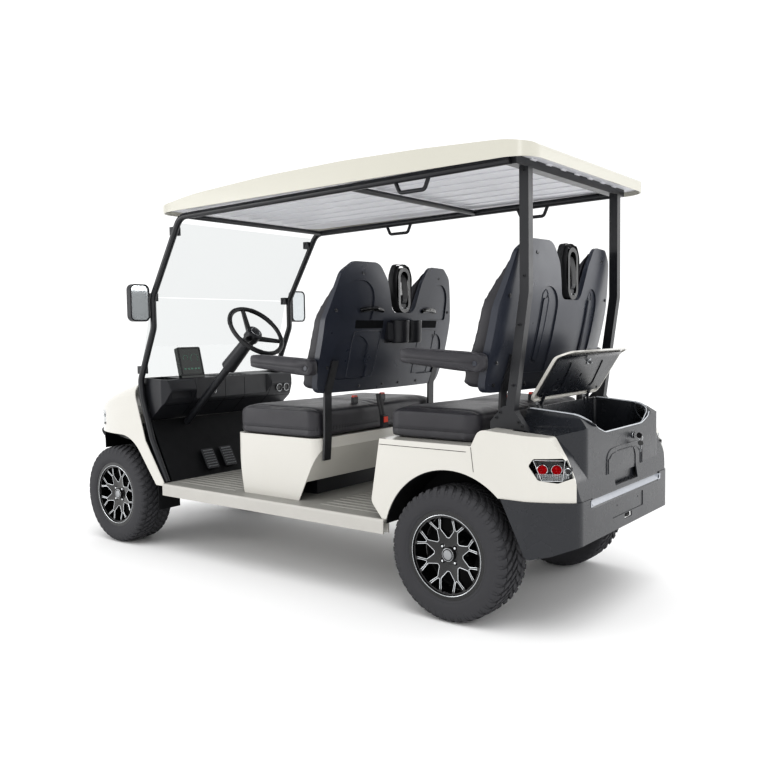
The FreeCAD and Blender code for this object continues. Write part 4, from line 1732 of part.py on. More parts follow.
def rear_pillars():
    """Two rectangular posts with flared feet, from the rear haunches up to the roof channel."""
    line = [(REAR_PILLAR_FOOT_Y, TAIL_TOP_Z), (REAR_PILLAR_BEND_Y, REAR_PILLAR_BEND_Z),
            (REAR_PILLAR_BEND_Y, RAIL_Z - CHANNEL_HEIGHT / 2 - SEAT_GAP)]
    half = REAR_PILLAR_DEPTH / 2
    wide = REAR_PILLAR_WIDTH / 2
    front = [(y - half, z) for y, z in line]
    back = [(y + half, z) for y, z in reversed(line)]
    bends = [0.0, REAR_PILLAR_BEND, 0.0]
    post = prism("x", front + back, REAR_PILLAR_X - wide, REAR_PILLAR_X + wide, bends + bends)
    top = HAUNCH_Z + PILLAR_FOOT_HEIGHT
    flare = prism("x", [
        (REAR_PILLAR_FOOT_Y - PILLAR_FOOT_FRONT, TAIL_TOP_Z - OVERRUN), (REAR_PILLAR_FOOT_Y - PILLAR_FOOT_FRONT, HAUNCH_Z + PILLAR_FOOT_EDGE),
        (REAR_PILLAR_FOOT_Y - half, top), (REAR_PILLAR_FOOT_Y + half, top),
        (REAR_PILLAR_FOOT_Y + PILLAR_FOOT_REAR, TAIL_TOP_Z), (REAR_PILLAR_FOOT_Y + PILLAR_FOOT_REAR, TAIL_TOP_Z - OVERRUN)],
        REAR_PILLAR_X - wide, REAR_PILLAR_X + wide, [0.0, half, half, half, 0.0, 0.0])
    foot = cut(fuse([post, flare]), [shifted(rear_form(0.0), 0, 0, SEAT_GAP), shifted(boot_form(0.0), 0, -SEAT_GAP, SEAT_GAP)])
    return both_sides(foot)


def rail_z(y):
    """Height of a side rail's centre line."""
    start_y, start_z = a_pillar_line()[-1]
    return start_z + (RAIL_Z - start_z) * (y - start_y) / (RAIL_REAR_END_Y - start_y)


def grab_handle(x, y):
    """Loop handle under a side rail."""
    half = HANDLE_LENGTH / 2
    low = rail_z(y) - PILLAR_RADIUS - HANDLE_DROP
    foot = half * HANDLE_FOOT_SHARE
    path = [point(x, y - half, rail_z(y - half)), point(x, y - foot, low), point(x, y + foot, low),
            point(x, y + half, rail_z(y + half))]
    rail = rod(point(x, y - HANDLE_LENGTH, rail_z(y - HANDLE_LENGTH)), point(x, y + HANDLE_LENGTH, rail_z(y + HANDLE_LENGTH)),
               PILLAR_RADIUS + SEAT_GAP)
    return cut(tube(path, HANDLE_RADIUS, HANDLE_BEND), rail)


def grab_handles():
    """Handles at the front passenger's place and on both sides of the rear bench."""
    front_y = HANDLE_FRONT_Y
    rear_y = front_y + SEAT_PITCH - HANDLE_LENGTH / 4
    return [grab_handle(-A_PILLAR_X, front_y), grab_handle(-A_PILLAR_X, rear_y), grab_handle(A_PILLAR_X, rear_y)]


def glass_line():
    """Side-view corners of the windshield's rear face: bottom, fold and top."""
    line = a_pillar_line()
    offset = PILLAR_RADIUS + SEAT_GAP
    found = []
    for z in (WINDSHIELD_BOTTOM_Z, WINDSHIELD_FOLD_Z, WINDSHIELD_TOP_Z):
        for (y0, z0), (y1, z1) in zip(line, line[1:]):
            if z0 <= z < z1:
                slope = (y1 - y0) / (z1 - z0)
                found.append((y0 + slope * (z - z0) - offset * math.sqrt(1 + slope ** 2), z))
                break
    return found


def windshield():
    """Two clear panels in front of the A-pillars, meeting at the fold."""
    bottom, fold, top = glass_line()
    panels = []
    thick = WINDSHIELD_THICKNESS
    for low, high in ((bottom, fold), (fold, top)):
        trim = WINDSHIELD_FOLD_GAP / 2
        run = (high[0] - low[0]) / (high[1] - low[1])
        z0 = low[1] + (trim if low is fold else 0.0)
        z1 = high[1] - (trim if high is fold else 0.0)
        y0 = low[0] + run * (z0 - low[1])
        y1 = low[0] + run * (z1 - low[1])
        corners = [(y0, z0), (y1, z1), (y1 - thick, z1), (y0 - thick, z0)]
        panels.append(prism("x", corners, -WINDSHIELD_HALF_WIDTH, WINDSHIELD_HALF_WIDTH))
    return panels


def windshield_fittings():
    """Clips that hold the glass to the pillars, and the cowl strip under it."""
    keep_off = fuse([tube(a_pillar_path(), PILLAR_RADIUS + SEAT_GAP, A_PILLAR_BEND)])
    bottom, fold, top = glass_line()
    thick = WINDSHIELD_THICKNESS + SEAT_GAP
    sheet = []
    for low, high in ((bottom, fold), (fold, top)):
        corners = [(low[0] + SEAT_GAP, low[1]), (high[0] + SEAT_GAP, high[1]), (high[0] - thick, high[1]),
                   (low[0] - thick, low[1])]
        sheet.append(prism("x", corners, -WINDSHIELD_HALF_WIDTH, WINDSHIELD_HALF_WIDTH + SEAT_GAP))
    clips = []
    half = CLIP_LENGTH / 2
    for y, z in (bottom, fold, top):
        middle = z + (CLIP_LENGTH if z == bottom[1] else 0) - (CLIP_LENGTH if z == top[1] else 0)
        run = (top[0] - fold[0]) / (top[1] - fold[1])
        if z == bottom[1]:
            run = (fold[0] - bottom[0]) / (fold[1] - bottom[1])
        at_y = y + run * (middle - z)
        zone = block(
            (A_PILLAR_X - CLIP_WIDTH, at_y - PILLAR_RADIUS, middle - half), (A_PILLAR_X + PILLAR_RADIUS / 2, at_y + PILLAR_RADIUS, middle + half))
        clips.append(cut(zone, sheet + [keep_off]))
    return both_sides(clips[0]) + both_sides(clips[1]) + both_sides(clips[2])


def side_mirrors():
    """Mirror housings on their arms from the A-pillars."""
    half = MIRROR_WIDTH / 2
    tall = MIRROR_HEIGHT / 2
    corners = [(MIRROR_X - half, MIRROR_Z - tall), (MIRROR_X + half, MIRROR_Z - tall),
               (MIRROR_X + half, MIRROR_Z + tall), (MIRROR_X - half, MIRROR_Z + tall)]
    body = prism("y", corners, MIRROR_Y - MIRROR_DEPTH, MIRROR_Y, MIRROR_CORNER)
    inset = MIRROR_GLASS_INSET - SEAT_GAP
    recess_corners = [(x + math.copysign(inset, MIRROR_X - x), z + math.copysign(inset, MIRROR_Z - z)) for x, z in corners]
    recess = prism("y", recess_corners, MIRROR_Y - MIRROR_GLASS_THICKNESS * 2, MIRROR_Y + OVERRUN, MIRROR_CORNER - inset)
    arm_z = MIRROR_Z - tall * MIRROR_ARM_SHARE
    arm_y = MIRROR_Y - MIRROR_DEPTH / 2
    arm = rod(point(A_PILLAR_X + PILLAR_RADIUS + SEAT_GAP, arm_y, arm_z), point(MIRROR_X, arm_y, arm_z), MIRROR_ARM_RADIUS)
    return both_sides(cut(fuse([body, arm]), recess))


def mirror_glass():
    """Mirror plates in their housings."""
    half = MIRROR_WIDTH / 2 - MIRROR_GLASS_INSET
    tall = MIRROR_HEIGHT / 2 - MIRROR_GLASS_INSET
    corners = [(MIRROR_X - half, MIRROR_Z - tall), (MIRROR_X + half, MIRROR_Z - tall),
               (MIRROR_X + half, MIRROR_Z + tall), (MIRROR_X - half, MIRROR_Z + tall)]
    low = MIRROR_Y - MIRROR_GLASS_THICKNESS * 2 + SEAT_GAP
    return both_sides(prism("y", corners, low, low + MIRROR_GLASS_THICKNESS, MIRROR_CORNER - MIRROR_GLASS_INSET))


def main():
    """Build every node and write it."""
    os.makedirs("parts", exist_ok=True)
    for end, axle_y in (("front", FRONT_AXLE_Y), ("rear", REAR_AXLE_Y)):
        for side, sign in (("left", 1), ("right", -1)):
            write(f"tyre_{end}_{side}", tyre(sign * WHEEL_X, axle_y, sign))
            write(f"rim_{end}_{side}", rim(sign * WHEEL_X, axle_y, sign))
    write("chassis_frame", chassis_frame())
    write("leaf_springs", leaf_springs())
    write("front_axle", front_axle())
    left_knuckle = knuckle()
    write("steering_knuckle_left", left_knuckle)
    write("steering_knuckle_right", across(left_knuckle))
    write("tie_rod", tie_rod())
    write("rear_axle", rear_axle())
    write("floor", floor())
    write("toe_board", toe_board())
    write("front_body", front_body())
    write("front_liners", front_liners())
    write("front_bumper", front_bumper())
    write("headlamps", headlamps())
    write("dashboard", dashboard())
    write("display", display())
    write("steering_column", steering_column())
    write("steering_wheel", steering_wheel())
    write("pedals", pedals())
    write("seat_pod", seat_pod())
    write("battery_pack", battery_pack())
    write("front_cushion", cushion(CUSHION_FRONT_Y, CUSHION_REAR_Y, POD_TOP_Z + SEAT_GAP, CUSHION_HEIGHT, CUSHION_HALF_WIDTH))
    write("front_backrest", backrest(0.0, 0.0))
    write("front_back_shell", back_shell(0.0, 0.0, FRONT_RECESS_SHARES))
    write("rear_cushion", cushion(REAR_CUSHION_FRONT_Y, REAR_CUSHION_REAR_Y, REAR_CUSHION_BOTTOM_Z, REAR_CUSHION_HEIGHT,
                                  CUSHION_HALF_WIDTH))
    write("rear_backrest", backrest(SEAT_PITCH, SEAT_STEP))
    write("rear_back_shell", back_shell(SEAT_PITCH, SEAT_STEP, REAR_RECESS_SHARES))
    write("belt_towers", belt_towers())
    write("seat_brackets", seat_brackets())
    write("seat_organizer", seat_organizer())
    write("belt_buckles", belt_buckles())
    for name, dy, dz in (("front", 0.0, 0.0), ("rear", SEAT_PITCH, SEAT_STEP)):
        for side, sign in (("left", 1), ("right", -1)):
            write(f"armrest_{name}_{side}", armrest(sign, dy, dz))
    write("rear_body", rear_body())
    write("rear_liners", rear_liners())
    write("trunk_box", trunk_box())
    write("lid_outer", lid_outer())
    write("lid_inner", lid_inner())
    write("rear_bumper", rear_bumper())
    write("tail_lamps", tail_lamps())
    write("roof", roof())
    write("roof_liner", roof_liner())
    write("roof_side_frames", roof_side_frames())
    write("roof_cross_members", roof_cross_members())
    write("rear_pillars", rear_pillars())
    write("grab_handles", grab_handles())
    write("windshield", windshield())
    write("windshield_fittings", windshield_fittings())
    write("side_mirrors", side_mirrors())
    write("mirror_glass", mirror_glass())


main()
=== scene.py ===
"""Four-seat golf cart: finishes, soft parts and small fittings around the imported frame."""

import logging
import math
from dataclasses import dataclass
from enum import Enum
from typing import Sequence

import bmesh
import bpy
from mathutils import Matrix, Vector
from mathutils.bvhtree import BVHTree
from mathutils.kdtree import KDTree


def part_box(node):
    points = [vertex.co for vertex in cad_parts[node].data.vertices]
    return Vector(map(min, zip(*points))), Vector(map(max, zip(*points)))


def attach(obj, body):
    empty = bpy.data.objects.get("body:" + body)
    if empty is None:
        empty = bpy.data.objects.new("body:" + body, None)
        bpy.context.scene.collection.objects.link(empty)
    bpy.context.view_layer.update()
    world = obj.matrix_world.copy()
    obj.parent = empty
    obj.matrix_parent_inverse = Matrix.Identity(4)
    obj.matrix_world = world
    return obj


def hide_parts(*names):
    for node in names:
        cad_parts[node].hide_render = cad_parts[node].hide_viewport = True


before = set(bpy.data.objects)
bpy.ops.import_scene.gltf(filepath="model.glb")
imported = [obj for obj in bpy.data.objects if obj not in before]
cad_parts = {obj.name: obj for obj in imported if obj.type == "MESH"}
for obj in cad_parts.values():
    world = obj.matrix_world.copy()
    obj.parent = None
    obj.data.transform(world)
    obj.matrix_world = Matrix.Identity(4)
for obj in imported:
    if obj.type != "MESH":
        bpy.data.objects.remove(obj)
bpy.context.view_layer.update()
LOG = logging.getLogger("golf_cart")
MM = 0.001
Point = Sequence[float]
Points = Sequence[Point]

# Sides of the cart, and its directions
SIDES = (("left", 1.0), ("right", -1.0))
BOTH = (1, -1)
ACROSS = Vector((1, 0, 0))
REARWARD = Vector((0, 1, 0))
FORWARD = Vector((0, -1, 0))
UP = Vector((0, 0, 1))
DOWN = Vector((0, 0, -1))

# Each bench and its place against the front one, in millimetres
NO_SHIFT = Vector((0, 0, 0))
BENCHES = (("front", NO_SHIFT), ("rear", Vector((0, 955, 34))))

# Starts of the rays that find a surface, in millimetres: clear of the cart, or between two of its parts
BESIDE = 900
BEHIND = 1900
AHEAD = -2200
OVER_BODY = 1500
OVER_BOOT = 1200
CABIN = -500


# Colours and nodes

def linear(hex_code: str, alpha: float = 1.0) -> tuple[float, float, float, float]:
    """Turn an sRGB hex value into a shader colour.

    Args:
        hex_code: Colour such as "#1a2b3c".
        alpha: Fourth channel.

    Returns:
        Linear red, green, blue and alpha.
    """
    channels = [int(hex_code[i:i + 2], 16) / 255 for i in (1, 3, 5)]
    flat = [c / 12.92 if c <= 0.04045 else ((c + 0.055) / 1.055) ** 2.4 for c in channels]
    return flat[0], flat[1], flat[2], alpha


def add_node(tree: bpy.types.NodeTree, kind: str, inputs: dict | None = None,
             **settings: object) -> bpy.types.Node:
    """Add a node with its settings and links.

    Args:
        tree: Node tree that gets the node.
        kind: Blender's node type.
        inputs: Socket name or number to a value, or to an output socket to link from.
        **settings: Attributes of the node.

    Returns:
        The new node.
    """
    made = tree.nodes.new(kind)
    for name, value in settings.items():
        setattr(made, name, value)
    for key, value in (inputs or {}).items():
        if isinstance(value, bpy.types.NodeSocket):
            tree.links.new(value, made.inputs[key])
        else:
            made.inputs[key].default_value = value
    return made


@dataclass(frozen=True)
class Finish:
    """A surface with its own colour variation, gloss variation and fine relief."""

    name: str
    colour: str
    shade: str
    roughness: float
    grain_mm: float
    relief_mm: float = 0.05
    patch_mm: float = 160.0
    metallic: float = 0.0
    coat: float = 0.0
    sheen: float = 0.0
    roughness_spread: float = 0.08
    cellular: bool = False
    specular: float = 0.5

    def start(self) -> tuple[bpy.types.Material, bpy.types.NodeTree, bpy.types.Node, bpy.types.NodeSocket]:
        """Make the material with its shader.

        Returns:
            Material, node tree, shader node and the object's own coordinates.
        """
        material = bpy.data.materials.new(self.name)
        material.use_nodes = True
        tree = material.node_tree
        tree.nodes.clear()
        place = add_node(tree, "ShaderNodeTexCoord").outputs["Object"]
        shader = add_node(tree, "ShaderNodeBsdfPrincipled", {
            "Metallic": self.metallic, "Coat Weight": self.coat, "Coat Roughness": 0.08,
            "Sheen Weight": self.sheen, "Sheen Roughness": 0.4, "Specular IOR Level": self.specular})
        add_node(tree, "ShaderNodeOutputMaterial", {"Surface": shader.outputs["BSDF"]})
        material.diffuse_color = linear(self.colour)
        return material, tree, shader, place

    def cloud(self, tree: bpy.types.NodeTree, place: bpy.types.NodeSocket, size_mm: float,
              detail: float = 3.0) -> bpy.types.NodeSocket:
        """Soft random value with features of a given size.

        Args:
            tree: Node tree that gets the node.
            place: Coordinates in metres.
            size_mm: Size of one feature.
            detail: Number of finer layers.

        Returns:
            Output socket from 0 to 1.
        """
        noise = add_node(tree, "ShaderNodeTexNoise",
                         {"Vector": place, "Scale": 1000.0 / size_mm, "Detail": detail})
        return noise.outputs["Fac"]

    def relief(self, tree: bpy.types.NodeTree, place: bpy.types.NodeSocket) -> bpy.types.NodeSocket:
        """Height of the fine grain.

        Args:
            tree: Node tree that gets the nodes.
            place: Coordinates in metres.

        Returns:
            Height from 0 to 1.
        """
        if not self.cellular:
            return self.cloud(tree, place, self.grain_mm, 4.0)
        cells = add_node(tree, "ShaderNodeTexVoronoi", {"Vector": place, "Scale": 1000.0 / self.grain_mm},
                         feature="DISTANCE_TO_EDGE")
        return add_node(tree, "ShaderNodeMapRange",
                        {"Value": cells.outputs["Distance"], "From Max": 0.22}).outputs[0]

    def build(self) -> bpy.types.Material:
        """Make the material.

        Returns:
            The finished material.
        """
        material, tree, shader, place = self.start()
        patch = self.cloud(tree, place, self.patch_mm)
        blend = add_node(tree, "ShaderNodeMix", {
            "Factor": patch, "A": linear(self.colour), "B": linear(self.shade)}, data_type="RGBA")
        tree.links.new(blend.outputs["Result"], shader.inputs["Base Color"])
        gloss = add_node(tree, "ShaderNodeMapRange", {
            "Value": self.cloud(tree, place, self.patch_mm / 3), "From Min": 0.3, "From Max": 0.7,
            "To Min": max(0.03, self.roughness - self.roughness_spread / 2),
            "To Max": self.roughness + self.roughness_spread / 2})
        tree.links.new(gloss.outputs["Result"], shader.inputs["Roughness"])
        bump = add_node(tree, "ShaderNodeBump", {
            "Height": self.relief(tree, place), "Distance": self.relief_mm * MM, "Strength": 0.6})
        tree.links.new(bump.outputs["Normal"], shader.inputs["Normal"])
        return material


@dataclass(frozen=True)
class ClearSheet(Finish):
    """Clear acrylic or polycarbonate sheet: thin, so light passes through and only its gloss shows."""

    tint: str = "#f2f3f3"
    gloss_share: float = 0.01

    def build(self) -> bpy.types.Material:
        """Make the see-through material.

        Returns:
            The finished material.
        """
        material, tree, shader, place = self.start()
        shader.inputs["Base Color"].default_value = linear(self.colour)
        shader.inputs["Roughness"].default_value = self.roughness
        shader.inputs["IOR"].default_value = 1.49
        see = add_node(tree, "ShaderNodeBsdfTransparent", {"Color": linear(self.tint)})
        haze = add_node(tree, "ShaderNodeMapRange", {
            "Value": self.cloud(tree, place, self.patch_mm), "To Min": self.gloss_share * 0.8,
            "To Max": self.gloss_share * 1.2})
        edge = add_node(tree, "ShaderNodeLayerWeight", {"Blend": 0.15})
        rise = add_node(tree, "ShaderNodeMath", {0: edge.outputs["Facing"], 1: 0.22}, operation="MULTIPLY")
        share = add_node(tree, "ShaderNodeMath", {0: haze.outputs["Result"], 1: rise.outputs[0]},
                         operation="ADD")
        share.use_clamp = True
        mixed = add_node(tree, "ShaderNodeMixShader",
                         {0: share.outputs[0], 1: see.outputs[0], 2: shader.outputs[0]})
        out = next(n for n in tree.nodes if n.type == "OUTPUT_MATERIAL")
        tree.links.new(mixed.outputs[0], out.inputs["Surface"])
        return material


@dataclass(frozen=True)
class TreadPlate(Finish):
    """Moulded floor: darker ribbed rubber where one steps, paler anodised metal on its edges."""

    edge: str = "#b9b7b2"
    edge_shade: str = "#aeaca7"

    def build(self) -> bpy.types.Material:
        """Make the two-tone material.

        Returns:
            The finished material.
        """
        material = super().build()
        tree = material.node_tree
        shader = next(n for n in tree.nodes if n.type == "BSDF_PRINCIPLED")
        place = add_node(tree, "ShaderNodeTexCoord").outputs
        facing = add_node(tree, "ShaderNodeSeparateXYZ", {0: place["Normal"]}).outputs["Z"]
        top = add_node(tree, "ShaderNodeMath", {0: facing, 1: 0.9}, operation="GREATER_THAN").outputs[0]
        pale = add_node(tree, "ShaderNodeMix", {
            "Factor": self.cloud(tree, place["Object"], self.patch_mm), "A": linear(self.edge),
            "B": linear(self.edge_shade)}, data_type="RGBA").outputs["Result"]
        dark = shader.inputs["Base Color"].links[0].from_socket
        tone = add_node(tree, "ShaderNodeMix", {"Factor": top, "A": pale, "B": dark}, data_type="RGBA")
        tree.links.new(tone.outputs["Result"], shader.inputs["Base Color"])
        return material


class Finishes(Enum):
    """Every finish on the cart, named for what it is made of and how.

    Real pebble, leather cells, weave and lathe marks are often under half a millimetre, which is too fine to show
    in the render, so their grain is drawn at about 1 to 3 mm.
    """

    # Gel-coated ABS panels: an even, slightly warm white with a deep wet gloss and a faint ripple.
    GELCOAT_WHITE = Finish("gelcoat_white", "#cbc9c3", "#c5c3bc", 0.22, 2.4, 0.02, 420.0, coat=0.5,
                           roughness_spread=0.05)
    # Roof skin of the same gel coat, sunned a little creamier and less glossy.
    ROOF_CREAM = Finish("gelcoat_cream", "#c3c1b6", "#bdbbb0", 0.32, 9.0, 0.012, 420.0, coat=0.2)
    # Injection-moulded polypropylene with a fine pebble grain: soft grey highlights on near black.
    MOULDED_BLACK = Finish("moulded_black_polypropylene", "#1c1d21", "#222327", 0.4, 1.6, 0.1, 120.0,
                           specular=0.4)
    # Low-sheen polypropylene of the wheelhouses and the footwell, shaded and dull.
    LINER_BLACK = Finish("matt_black_polypropylene", "#0b0c0e", "#101114", 0.62, 1.8, 0.12, 140.0,
                         specular=0.22)
    # Vacuum-formed TPO skin, satin dark grey, with a silky highlight along each edge.
    SATIN_GREY = Finish("satin_grey_tpo", "#1e2024", "#23252a", 0.27, 1.4, 0.015, 240.0,
                        roughness_spread=0.05)
    # Blow-moulded seat shell, satin blue-grey, the grain just blurs the highlight.
    SEAT_SHELL = Finish("seat_shell_polyethylene", "#272a33", "#2d313b", 0.3, 1.8, 0.02, 260.0,
                        roughness_spread=0.06)
    # Powder-coated steel tube: satin black with orange peel that breaks up reflections.
    POWDER_BLACK = Finish("powder_coated_steel", "#15161a", "#1b1c20", 0.34, 3.0, 0.06, 200.0)
    # Black chassis paint, rougher and duller.
    CHASSIS_BLACK = Finish("chassis_paint", "#0d0e0f", "#151516", 0.6, 2.0, 0.1, 90.0, specular=0.3)
    # Grained marine vinyl over foam: leather cells, a soft sheen and slightly lighter worn patches.
    VINYL = Finish("marine_vinyl", "#242328", "#2b2a2f", 0.44, 2.2, 0.16, 180.0, sheen=0.06, cellular=True)
    # Vulcanised rubber: dull dark grey with a bloom.
    RUBBER = Finish("tyre_rubber", "#0c0d0e", "#131416", 0.46, 1.2, 0.1, 70.0, specular=0.4)
    # Gloss black enamel of the cast wheels.
    WHEEL_BLACK = Finish("cast_wheel_enamel", "#08090a", "#0d0e0f", 0.18, 2.2, 0.03, 60.0, coat=0.4)
    # Diamond-turned aluminium: bright, with fine lathe marks.
    MACHINED = Finish("turned_aluminium", "#d4d6d8", "#b9bcbf", 0.26, 0.8, 0.03, 30.0, metallic=1.0)
    # Rubber floor mat with ribs, in a pale metal edge.
    FLOOR_GREY = TreadPlate("ribbed_floor_rubber", "#85847f", "#908f8b", 0.5, 1.8, 0.1, 140.0)
    # Chrome-plated brass and steel: mirror bright.
    CHROME = Finish("chrome_plate", "#e2e4e6", "#d8dadc", 0.1, 4.0, 0.01, 40.0, metallic=1.0,
                    roughness_spread=0.04)
    # Zinc-plated steel of shackles and brackets.
    ZINC = Finish("zinc_plated_steel", "#a7a9ab", "#8f9193", 0.42, 1.0, 0.06, 30.0, metallic=1.0)
    # Gloss black ABS of the belt guides and the display's bezel.
    PIANO_BLACK = Finish("gloss_black_abs", "#090a0b", "#0d0e10", 0.14, 3.0, 0.01, 90.0, coat=0.4,
                         roughness_spread=0.04)
    # Light grey thermoformed roof lining with a fine pebble.
    ROOF_LINING = Finish("thermoformed_lining", "#e6e6ea", "#dadbe0", 0.45, 1.8, 0.08, 260.0)
    # Soft polyurethane grip of the steering wheel.
    GRIP = Finish("polyurethane_grip", "#101113", "#17181a", 0.42, 1.4, 0.12, 60.0, cellular=True)
    # Silvered mirror behind glass.
    MIRROR = Finish("silvered_mirror", "#dfe4e6", "#d9dee0", 0.05, 6.0, 0.005, 200.0, metallic=0.55,
                    roughness_spread=0.01)
    # Cast acrylic windshield.
    ACRYLIC = ClearSheet("cast_acrylic", "#0c0d0d", "#0e0f0f", 0.04, 4.0, 0.0, 300.0)
    # Clear polycarbonate lamp lens.
    LENS = ClearSheet("lamp_polycarbonate", "#0d0e0f", "#0f1011", 0.05, 3.0, 0.0, 40.0, gloss_share=0.04)
    # Red acrylic reflector.
    RED_LENS = Finish("red_acrylic", "#a80d16", "#e0202a", 0.14, 3.0, 0.08, 12.0, coat=0.6)
    # Red plastic of the belt release.
    RED_BUTTON = Finish("red_abs", "#dd3a24", "#e8502f", 0.35, 1.5, 0.03, 20.0)
    # Bonded polyester welting cord along the seat seams: matt, a shade darker than the vinyl.
    PIPING = Finish("welting_cord", "#1e1d21", "#262529", 0.55, 0.9, 0.08, 40.0)
    # Woven polyester webbing, black, with a dull ribbed weave.
    WEBBING = Finish("woven_polyester_webbing", "#0e0f11", "#18191c", 0.6, 1.6, 0.15, 18.0, sheen=0.1)
    # Co-extruded light grey edge trim of the boot.
    TRIM_GREY = Finish("extruded_edge_trim", "#b4b8bd", "#c2c5c9", 0.3, 2.0, 0.03, 60.0)
    # Painted highlight on the bumper's sloping step: a paler blue-grey strip, glossier than the bumper.
    STEP_PAD = Finish("painted_step_highlight", "#8e9299", "#9a9ea6", 0.22, 1.6, 0.03, 120.0, coat=0.3)
    # Painted shade: flat near black laid in panel gaps and pocket mouths, where only shadow falls.
    GAP_DARK = Finish("painted_gap_shade", "#101113", "#17181a", 0.8, 1.2, 0.1, 30.0, specular=0.1)
    # Pressed steel treadle, zinc grey and speckled by its knurl.
    PEDAL_GREY = Finish("knurled_treadle_steel", "#8b8e90", "#5c5f62", 0.4, 1.2, 0.1, 5.0, metallic=0.4)
    # Clear optical glass of the lamp projectors.
    LAMP_GLASS = Finish("optical_glass", "#dfe6ea", "#cfd8de", 0.06, 3.0, 0.01, 20.0, coat=0.5)
    # Pale print behind the display's glass, unlit.
    SCREEN_GLOW = Finish("display_print", "#3f6a58", "#4f7d6a", 0.4, 2.0, 0.01, 12.0)
    # Toughened glass over a dark display.
    SCREEN = Finish("display_glass", "#07110d", "#0b1712", 0.1, 5.0, 0.01, 80.0, coat=0.4)

    def material(self) -> bpy.types.Material:
        """Give the finish's material, made once."""
        return bpy.data.materials.get(self.value.name) or self.value.build()


# Nodes whose CAD shape stays, by finish
NODE_FINISH: dict[Finishes, str] = {
    Finishes.GELCOAT_WHITE: "front_body rear_body seat_pod lid_outer",
    Finishes.ROOF_CREAM: "roof",
    Finishes.LINER_BLACK: "front_liners rear_liners toe_board",
    Finishes.MOULDED_BLACK: "dashboard steering_column pedals side_mirrors windshield_fittings grab_handles"
                            " battery_pack",
    Finishes.FLOOR_GREY: "floor",
    Finishes.SATIN_GREY: "rear_bumper trunk_box lid_inner",
    Finishes.SEAT_SHELL: "seat_organizer front_back_shell rear_back_shell",
    Finishes.ROOF_LINING: "roof_liner",
    Finishes.PIANO_BLACK: "belt_towers",
    Finishes.RED_BUTTON: "belt_buckles",
    Finishes.VINYL: "front_cushion rear_cushion front_backrest rear_backrest armrest_front_left"
                    " armrest_front_right armrest_rear_left armrest_rear_right",
    Finishes.CHASSIS_BLACK: "chassis_frame leaf_springs front_axle rear_axle steering_knuckle_left"
                            " steering_knuckle_right",
    Finishes.ZINC: "tie_rod",
    Finishes.POWDER_BLACK: "roof_side_frames roof_cross_members rear_pillars seat_brackets front_bumper",
    Finishes.ACRYLIC: "windshield",
    Finishes.MIRROR: "mirror_glass",
    Finishes.LENS: "headlamps tail_lamps",
    Finishes.SCREEN: "display",
    Finishes.GRIP: "steering_wheel",
    Finishes.WHEEL_BLACK: "rim_front_left rim_front_right rim_rear_left rim_rear_right",
    Finishes.RUBBER: "tyre_front_left tyre_front_right tyre_rear_left tyre_rear_right",
}


def dress(target: bpy.types.Object, finish: Finishes) -> None:
    """Give every material slot of an object one finish.

    Args:
        target: Mesh object.
        finish: Its finish.
    """
    material = finish.material()
    if not target.material_slots:
        target.data.materials.append(material)
    for place in target.material_slots:
        place.material = material


# Working on the frame's surfaces

def search_tree(mesh: bpy.types.Mesh) -> BVHTree:
    """Search tree of a mesh's faces.

    Args:
        mesh: The mesh.

    Returns:
        Tree in metres.
    """
    return BVHTree.FromPolygons([v.co.copy() for v in mesh.vertices],
                                [tuple(p.vertices) for p in mesh.polygons])


def surface(node: str) -> BVHTree:
    """Search tree of a CAD node's faces.

    Args:
        node: Name of the CAD node.

    Returns:
        Tree in metres, in the row frame.
    """
    return search_tree(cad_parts[node].data)


def draped(tree: BVHTree, starts: Points, aim: Point, lift_mm: float = 0.0) -> list[Vector]:
    """Drop points on a surface.

    Args:
        tree: Search tree of the surface.
        starts: Points in millimetres that look along the aim.
        aim: Direction of every ray.
        lift_mm: How far each point stands off the surface.

    Returns:
        Points in millimetres, without those that miss.
    """
    found = []
    direction = Vector(aim).normalized()
    for start in starts:
        hit, normal, _, _ = tree.ray_cast(Vector(start) * MM, direction)
        if hit is not None:
            facing = normal if normal.dot(direction) < 0 else -normal
            found.append(hit / MM + facing * lift_mm)
    return found


def resampled(points: Points, count: int, closed: bool = False) -> list[Vector]:
    """Smooth line through a few points.

    Args:
        points: Corner points.
        count: Number of points between two corners.
        closed: Whether the line closes.

    Returns:
        Points of the Catmull-Rom line.
    """
    line = [Vector(p) for p in points]
    total = len(line)
    spans = total if closed else total - 1
    found = []
    for i in range(spans):
        a = line[(i - 1) % total] if closed or i > 0 else line[0] * 2 - line[1]
        b, c = line[i], line[(i + 1) % total]
        d = line[(i + 2) % total] if closed or i + 2 < total else c * 2 - b
        for k in range(count):
            t = k / count
            found.append(0.5 * ((2 * b) + (c - a) * t + (2 * a - 5 * b + 4 * c - d) * t * t
                                + (3 * b - 3 * c + d - a) * t ** 3))
    if not closed:
        found.append(line[-1])
    return found


def circle(middle: Point, across: Vector, up: Vector, radius: float, count: int) -> list[Vector]:
    """Points of a circle.

    Args:
        middle: Its middle.
        across: Direction of its first point.
        up: Direction a quarter turn on.
        radius: Its radius, as a share of both directions' lengths.
        count: Number of points.

    Returns:
        The points in order.
    """
    turns = (2 * math.pi * k / count for k in range(count))
    return [Vector(middle) + (across * math.cos(t) + up * math.sin(t)) * radius for t in turns]


def oblong(x: float, y: float, half_x: float, half_y: float, z: float) -> list[Vector]:
    """Corners of a level rectangle.

    Args:
        x: Its middle across.
        y: Its middle along.
        half_x: Half its width.
        half_y: Half its length.
        z: Its height.

    Returns:
        The four corners in order.
    """
    return [Vector((x + a * half_x, y + b * half_y, z)) for a, b in ((-1, -1), (1, -1), (1, 1), (-1, 1))]


